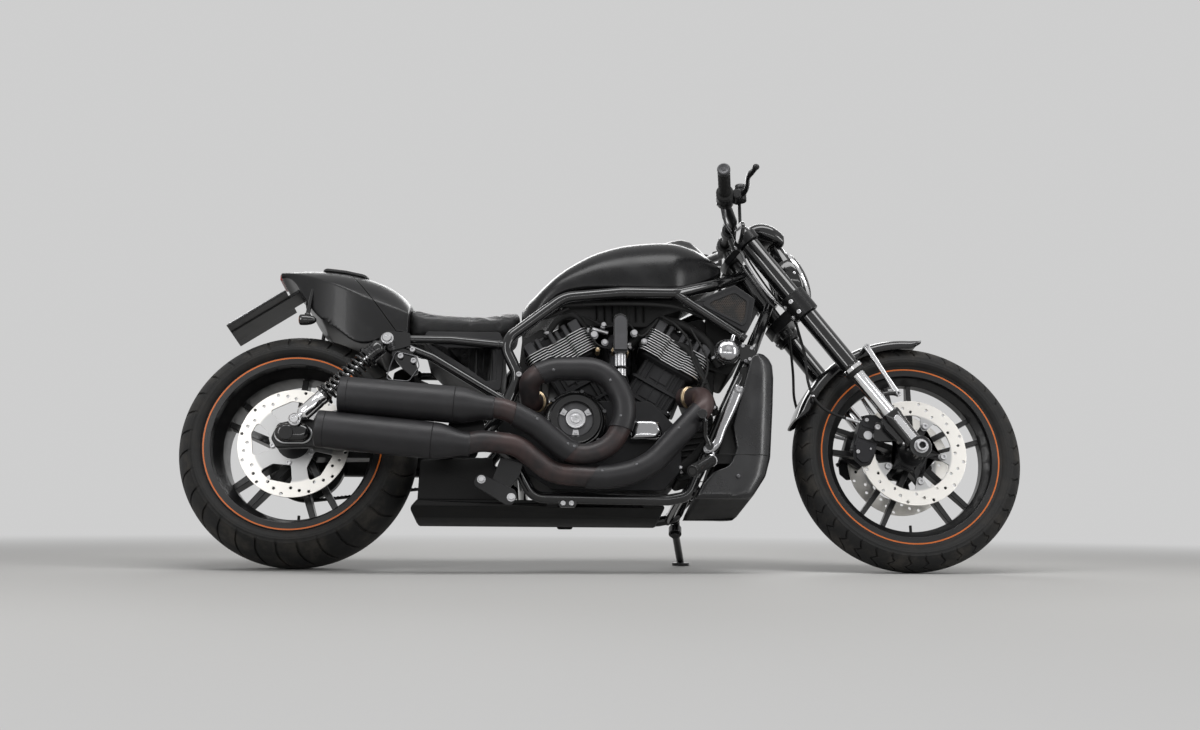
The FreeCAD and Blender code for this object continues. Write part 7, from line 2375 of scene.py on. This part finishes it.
class StageSettings(bpy.types.PropertyGroup):
    """What the stage takes."""

    floor_colour: bpy.props.FloatVectorProperty(
        name="Floor colour", description="Colour of the plain studio floor", subtype="COLOR", size=3,
        min=0.0, max=1.0, default=(0.50, 0.495, 0.485))
    background: bpy.props.FloatProperty(
        name="Background", description="Brightness of the plain background", default=0.62, min=0.0)
    ambient: bpy.props.FloatProperty(
        name="Ambient light", description="Brightness of the soft light from all round", default=0.17,
        min=0.0)
    light_level: bpy.props.FloatProperty(
        name="Light level", description="Factor on the power of every softbox", default=1.0, min=0.0)
    lens: bpy.props.FloatProperty(
        name="Lens", description="Focal length for a 36 mm wide sensor", default=38.14, min=5.0,
        unit="CAMERA")
    yaw: bpy.props.FloatProperty(
        name="Camera heading", description="Turn of the camera to the right", subtype="ANGLE", default=0.0487)
    pitch: bpy.props.FloatProperty(
        name="Camera pitch", description="Tilt of the camera above level", subtype="ANGLE", default=0.0596)
    roll: bpy.props.FloatProperty(
        name="Camera roll", description="Roll of the camera about its own line of sight", subtype="ANGLE",
        default=0.0088)


def tyre_settings(radius, bead, grooves, start, path):
    """The properties that one tyre takes, all in millimetres."""
    number = bpy.props.FloatProperty
    return {
        "tyre_radius": number(name="Tyre radius", description="Radius over the tread, in millimetres",
                              default=radius, min=100.0),
        "bead_radius": number(name="Bead radius", default=bead, min=50.0,
                              description="Radius where the wall meets the rim, in millimetres"),
        "grooves": bpy.props.IntProperty(name="Grooves", description="Grooves on each side, once round",
                                         default=grooves, min=4),
        "groove_width": number(name="Groove width", description="Width of a groove in millimetres",
                               default=7.5),
        "groove_depth": number(name="Groove depth", description="Depth of a groove in millimetres",
                               default=5.0),
        "groove_start": number(name="Groove start", default=start, min=0.0, max=1.0,
                               description="Share of the half tread left without grooves"),
        "groove_path": bpy.props.FloatVectorProperty(
            name="Groove path", size=len(path), default=path,
            description="How far a groove runs round the tyre, from the middle to the shoulder"),
    }


class FrontTyreSettings(bpy.types.PropertyGroup):
    """What the front tyre takes."""

    __annotations__ = tyre_settings(324.8, 242.0, 40, 0.08, (34.0, 22.0, 12.0, -8.0, 8.0, -4.0))


class RearTyreSettings(bpy.types.PropertyGroup):
    """What the rear tyre takes."""

    __annotations__ = tyre_settings(325.0, 229.0, 32, 0.18, (34.0, 30.0, 19.0, 9.0, 2.0, 0.0))


class MOTORCYCLE_OT_stage(bpy.types.Operator):
    """Build the floor, the lights and the camera"""

    bl_idname = "motorcycle.stage"
    bl_label = "Studio"

    def execute(self, context):
        build_stage(context.scene.cruiser_stage)
        return {"FINISHED"}


class MOTORCYCLE_OT_finishes(bpy.types.Operator):
    """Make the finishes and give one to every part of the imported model"""

    bl_idname = "motorcycle.finishes"
    bl_label = "Finishes"

    def execute(self, context):
        build_materials()
        dress_nodes()
        return {"FINISHED"}


class MOTORCYCLE_OT_tyres(bpy.types.Operator):
    """Cut the grooves of both tyres"""

    bl_idname = "motorcycle.tyres"
    bl_label = "Tyres"

    def execute(self, context):
        build_tyres(context)
        return {"FINISHED"}


class MOTORCYCLE_OT_wheels(bpy.types.Operator):
    """Soften the wheel castings and add the valves"""

    bl_idname = "motorcycle.wheels"
    bl_label = "Wheels"

    def execute(self, context):
        build_wheels()
        return {"FINISHED"}


class MOTORCYCLE_OT_discs(bpy.types.Operator):
    """Drill the brake discs and bolt them to the wheels"""

    bl_idname = "motorcycle.discs"
    bl_label = "Brake discs"

    def execute(self, context):
        build_discs()
        return {"FINISHED"}


class MOTORCYCLE_OT_tank(bpy.types.Operator):
    """Sweep the tank shell with its raised crest"""

    bl_idname = "motorcycle.tank"
    bl_label = "Tank"

    def execute(self, context):
        build_tank()
        return {"FINISHED"}


class MOTORCYCLE_OT_tail(bpy.types.Operator):
    """Round off the tail cowl and part its seat cover"""

    bl_idname = "motorcycle.tail"
    bl_label = "Tail"

    def execute(self, context):
        build_tail()
        return {"FINISHED"}


class MOTORCYCLE_OT_seat(bpy.types.Operator):
    """Swell the seat pad and sew its channels"""

    bl_idname = "motorcycle.seat"
    bl_label = "Seat"

    def execute(self, context):
        build_seat()
        return {"FINISHED"}


class MOTORCYCLE_OT_pipes(bpy.types.Operator):
    """Bend the two header pipes and lay their heat shields"""

    bl_idname = "motorcycle.pipes"
    bl_label = "Exhaust pipes"

    def execute(self, context):
        build_pipes()
        return {"FINISHED"}


class MOTORCYCLE_OT_mufflers(bpy.types.Operator):
    """Turn the two mufflers and their bracket"""

    bl_idname = "motorcycle.mufflers"
    bl_label = "Mufflers"

    def execute(self, context):
        build_mufflers()
        return {"FINISHED"}


class MOTORCYCLE_OT_cylinders(bpy.types.Operator):
    """Cast the finned cylinders with their lugs and ribs"""

    bl_idname = "motorcycle.cylinders"
    bl_label = "Cylinders"

    def execute(self, context):
        build_cylinders()
        return {"FINISHED"}


class MOTORCYCLE_OT_covers(bpy.types.Operator):
    """Turn the engine's side covers and the clutch window"""

    bl_idname = "motorcycle.covers"
    bl_label = "Engine covers"

    def execute(self, context):
        build_covers()
        return {"FINISHED"}


class MOTORCYCLE_OT_coolant(bpy.types.Operator):
    """Build the coolant post and its fluted neck"""

    bl_idname = "motorcycle.coolant"
    bl_label = "Coolant post"

    def execute(self, context):
        build_coolant()
        return {"FINISHED"}


class MOTORCYCLE_OT_fork(bpy.types.Operator):
    """Turn the fork tubes, their feet, clamps and axle nuts"""

    bl_idname = "motorcycle.fork"
    bl_label = "Fork"

    def execute(self, context):
        build_fork()
        return {"FINISHED"}


class MOTORCYCLE_OT_calipers(bpy.types.Operator):
    """Build the two-piece calipers with their bolts and blank badges"""

    bl_idname = "motorcycle.calipers"
    bl_label = "Calipers"

    def execute(self, context):
        build_calipers()
        return {"FINISHED"}


class MOTORCYCLE_OT_fender(bpy.types.Operator):
    """Sweep the fender blade and its polished struts"""

    bl_idname = "motorcycle.fender"
    bl_label = "Front fender"

    def execute(self, context):
        build_fender()
        return {"FINISHED"}


class MOTORCYCLE_OT_bars(bpy.types.Operator):
    """Bend the handlebar and dress it with grips, housings, levers, cables and hoses"""

    bl_idname = "motorcycle.bars"
    bl_label = "Bars"

    def execute(self, context):
        build_bars()
        return {"FINISHED"}


class MOTORCYCLE_OT_lamp(bpy.types.Operator):
    """Build the headlamp with its rim, reflector and glass, and the instrument dial"""

    bl_idname = "motorcycle.lamp"
    bl_label = "Headlamp"

    def execute(self, context):
        build_lamp()
        return {"FINISHED"}


class MOTORCYCLE_OT_shocks(bpy.types.Operator):
    """Wind the springs and turn the shock bodies"""

    bl_idname = "motorcycle.shocks"
    bl_label = "Shock absorbers"

    def execute(self, context):
        build_shocks()
        return {"FINISHED"}


class MOTORCYCLE_OT_swingarm(bpy.types.Operator):
    """Round the swingarm, cap its ends and cut the belt's teeth"""

    bl_idname = "motorcycle.swingarm"
    bl_label = "Swingarm"

    def execute(self, context):
        build_swingarm()
        return {"FINISHED"}


class MOTORCYCLE_OT_frame_tubes(bpy.types.Operator):
    """Bend the frame tubes with their plates, beads and bolts"""

    bl_idname = "motorcycle.frame_tubes"
    bl_label = "Frame"

    def execute(self, context):
        build_frame()
        return {"FINISHED"}


class MOTORCYCLE_OT_softened(bpy.types.Operator):
    """Soften the remaining castings and panels and sleeve the foot pegs"""

    bl_idname = "motorcycle.softened"
    bl_label = "Castings and panels"

    def execute(self, context):
        build_softened()
        return {"FINISHED"}


class MOTORCYCLE_OT_shroud(bpy.types.Operator):
    """Round the radiator shroud and lay the radiator's fins"""

    bl_idname = "motorcycle.shroud"
    bl_label = "Radiator shroud"

    def execute(self, context):
        build_shroud()
        return {"FINISHED"}


class MOTORCYCLE_OT_horn(bpy.types.Operator):
    """Turn the horn and its bands"""

    bl_idname = "motorcycle.horn"
    bl_label = "Horn"

    def execute(self, context):
        build_horn()
        return {"FINISHED"}


class MOTORCYCLE_OT_scoops(bpy.types.Operator):
    """Frame the side scoops and set their screens"""

    bl_idname = "motorcycle.scoops"
    bl_label = "Side scoops"

    def execute(self, context):
        build_scoops()
        return {"FINISHED"}


class MOTORCYCLE_OT_tail_details(bpy.types.Operator):
    """Lay the pillion pad and build the indicators and the plate's frame"""

    bl_idname = "motorcycle.tail_details"
    bl_label = "Tail details"

    def execute(self, context):
        build_tail_details()
        return {"FINISHED"}


class MOTORCYCLE_OT_bay(bpy.types.Operator):
    """Fill the engine bay with its airbox, hoses, plugs and cables"""

    bl_idname = "motorcycle.bay"
    bl_label = "Engine bay"

    def execute(self, context):
        build_bay()
        return {"FINISHED"}


OPERATORS = (
    MOTORCYCLE_OT_stage,
    MOTORCYCLE_OT_finishes,
    MOTORCYCLE_OT_tyres,
    MOTORCYCLE_OT_wheels,
    MOTORCYCLE_OT_discs,
    MOTORCYCLE_OT_tank,
    MOTORCYCLE_OT_tail,
    MOTORCYCLE_OT_seat,
    MOTORCYCLE_OT_pipes,
    MOTORCYCLE_OT_mufflers,
    MOTORCYCLE_OT_cylinders,
    MOTORCYCLE_OT_covers,
    MOTORCYCLE_OT_coolant,
    MOTORCYCLE_OT_fork,
    MOTORCYCLE_OT_calipers,
    MOTORCYCLE_OT_fender,
    MOTORCYCLE_OT_bars,
    MOTORCYCLE_OT_lamp,
    MOTORCYCLE_OT_shocks,
    MOTORCYCLE_OT_swingarm,
    MOTORCYCLE_OT_frame_tubes,
    MOTORCYCLE_OT_softened,
    MOTORCYCLE_OT_shroud,
    MOTORCYCLE_OT_horn,
    MOTORCYCLE_OT_scoops,
    MOTORCYCLE_OT_tail_details,
    MOTORCYCLE_OT_bay,
)
GROUPS = (
    ("cruiser_stage", StageSettings),
    ("front_tyre", FrontTyreSettings),
    ("rear_tyre", RearTyreSettings),
)


class MOTORCYCLE_PT_panel(bpy.types.Panel):
    """List the steps and the sizes of the motorcycle's dressing"""

    bl_idname = "MOTORCYCLE_PT_panel"
    bl_label = "Motorcycle"
    bl_space_type = "VIEW_3D"
    bl_region_type = "UI"
    bl_category = "Motorcycle"

    def draw(self, context):
        for name, group in GROUPS:
            box = self.layout.box()
            for key in group.__annotations__:
                box.prop(getattr(context.scene, name), key)
        for operator in OPERATORS:
            self.layout.operator(operator.bl_idname)


def register():
    """Register the settings, the operators and the panel."""
    for name, group in GROUPS:
        bpy.utils.register_class(group)
        setattr(bpy.types.Scene, name, bpy.props.PointerProperty(type=group))
    for operator in OPERATORS:
        bpy.utils.register_class(operator)
    bpy.utils.register_class(MOTORCYCLE_PT_panel)


def unregister():
    """Take away what register added."""
    bpy.utils.unregister_class(MOTORCYCLE_PT_panel)
    for operator in reversed(OPERATORS):
        bpy.utils.unregister_class(operator)
    for name, group in reversed(GROUPS):
        delattr(bpy.types.Scene, name)
        bpy.utils.unregister_class(group)


def main():
    """Run every step in order."""
    register()
    for operator in OPERATORS:
        area, name = operator.bl_idname.split(".")
        getattr(getattr(bpy.ops, area), name)()


if __name__ == "__main__":
    main()
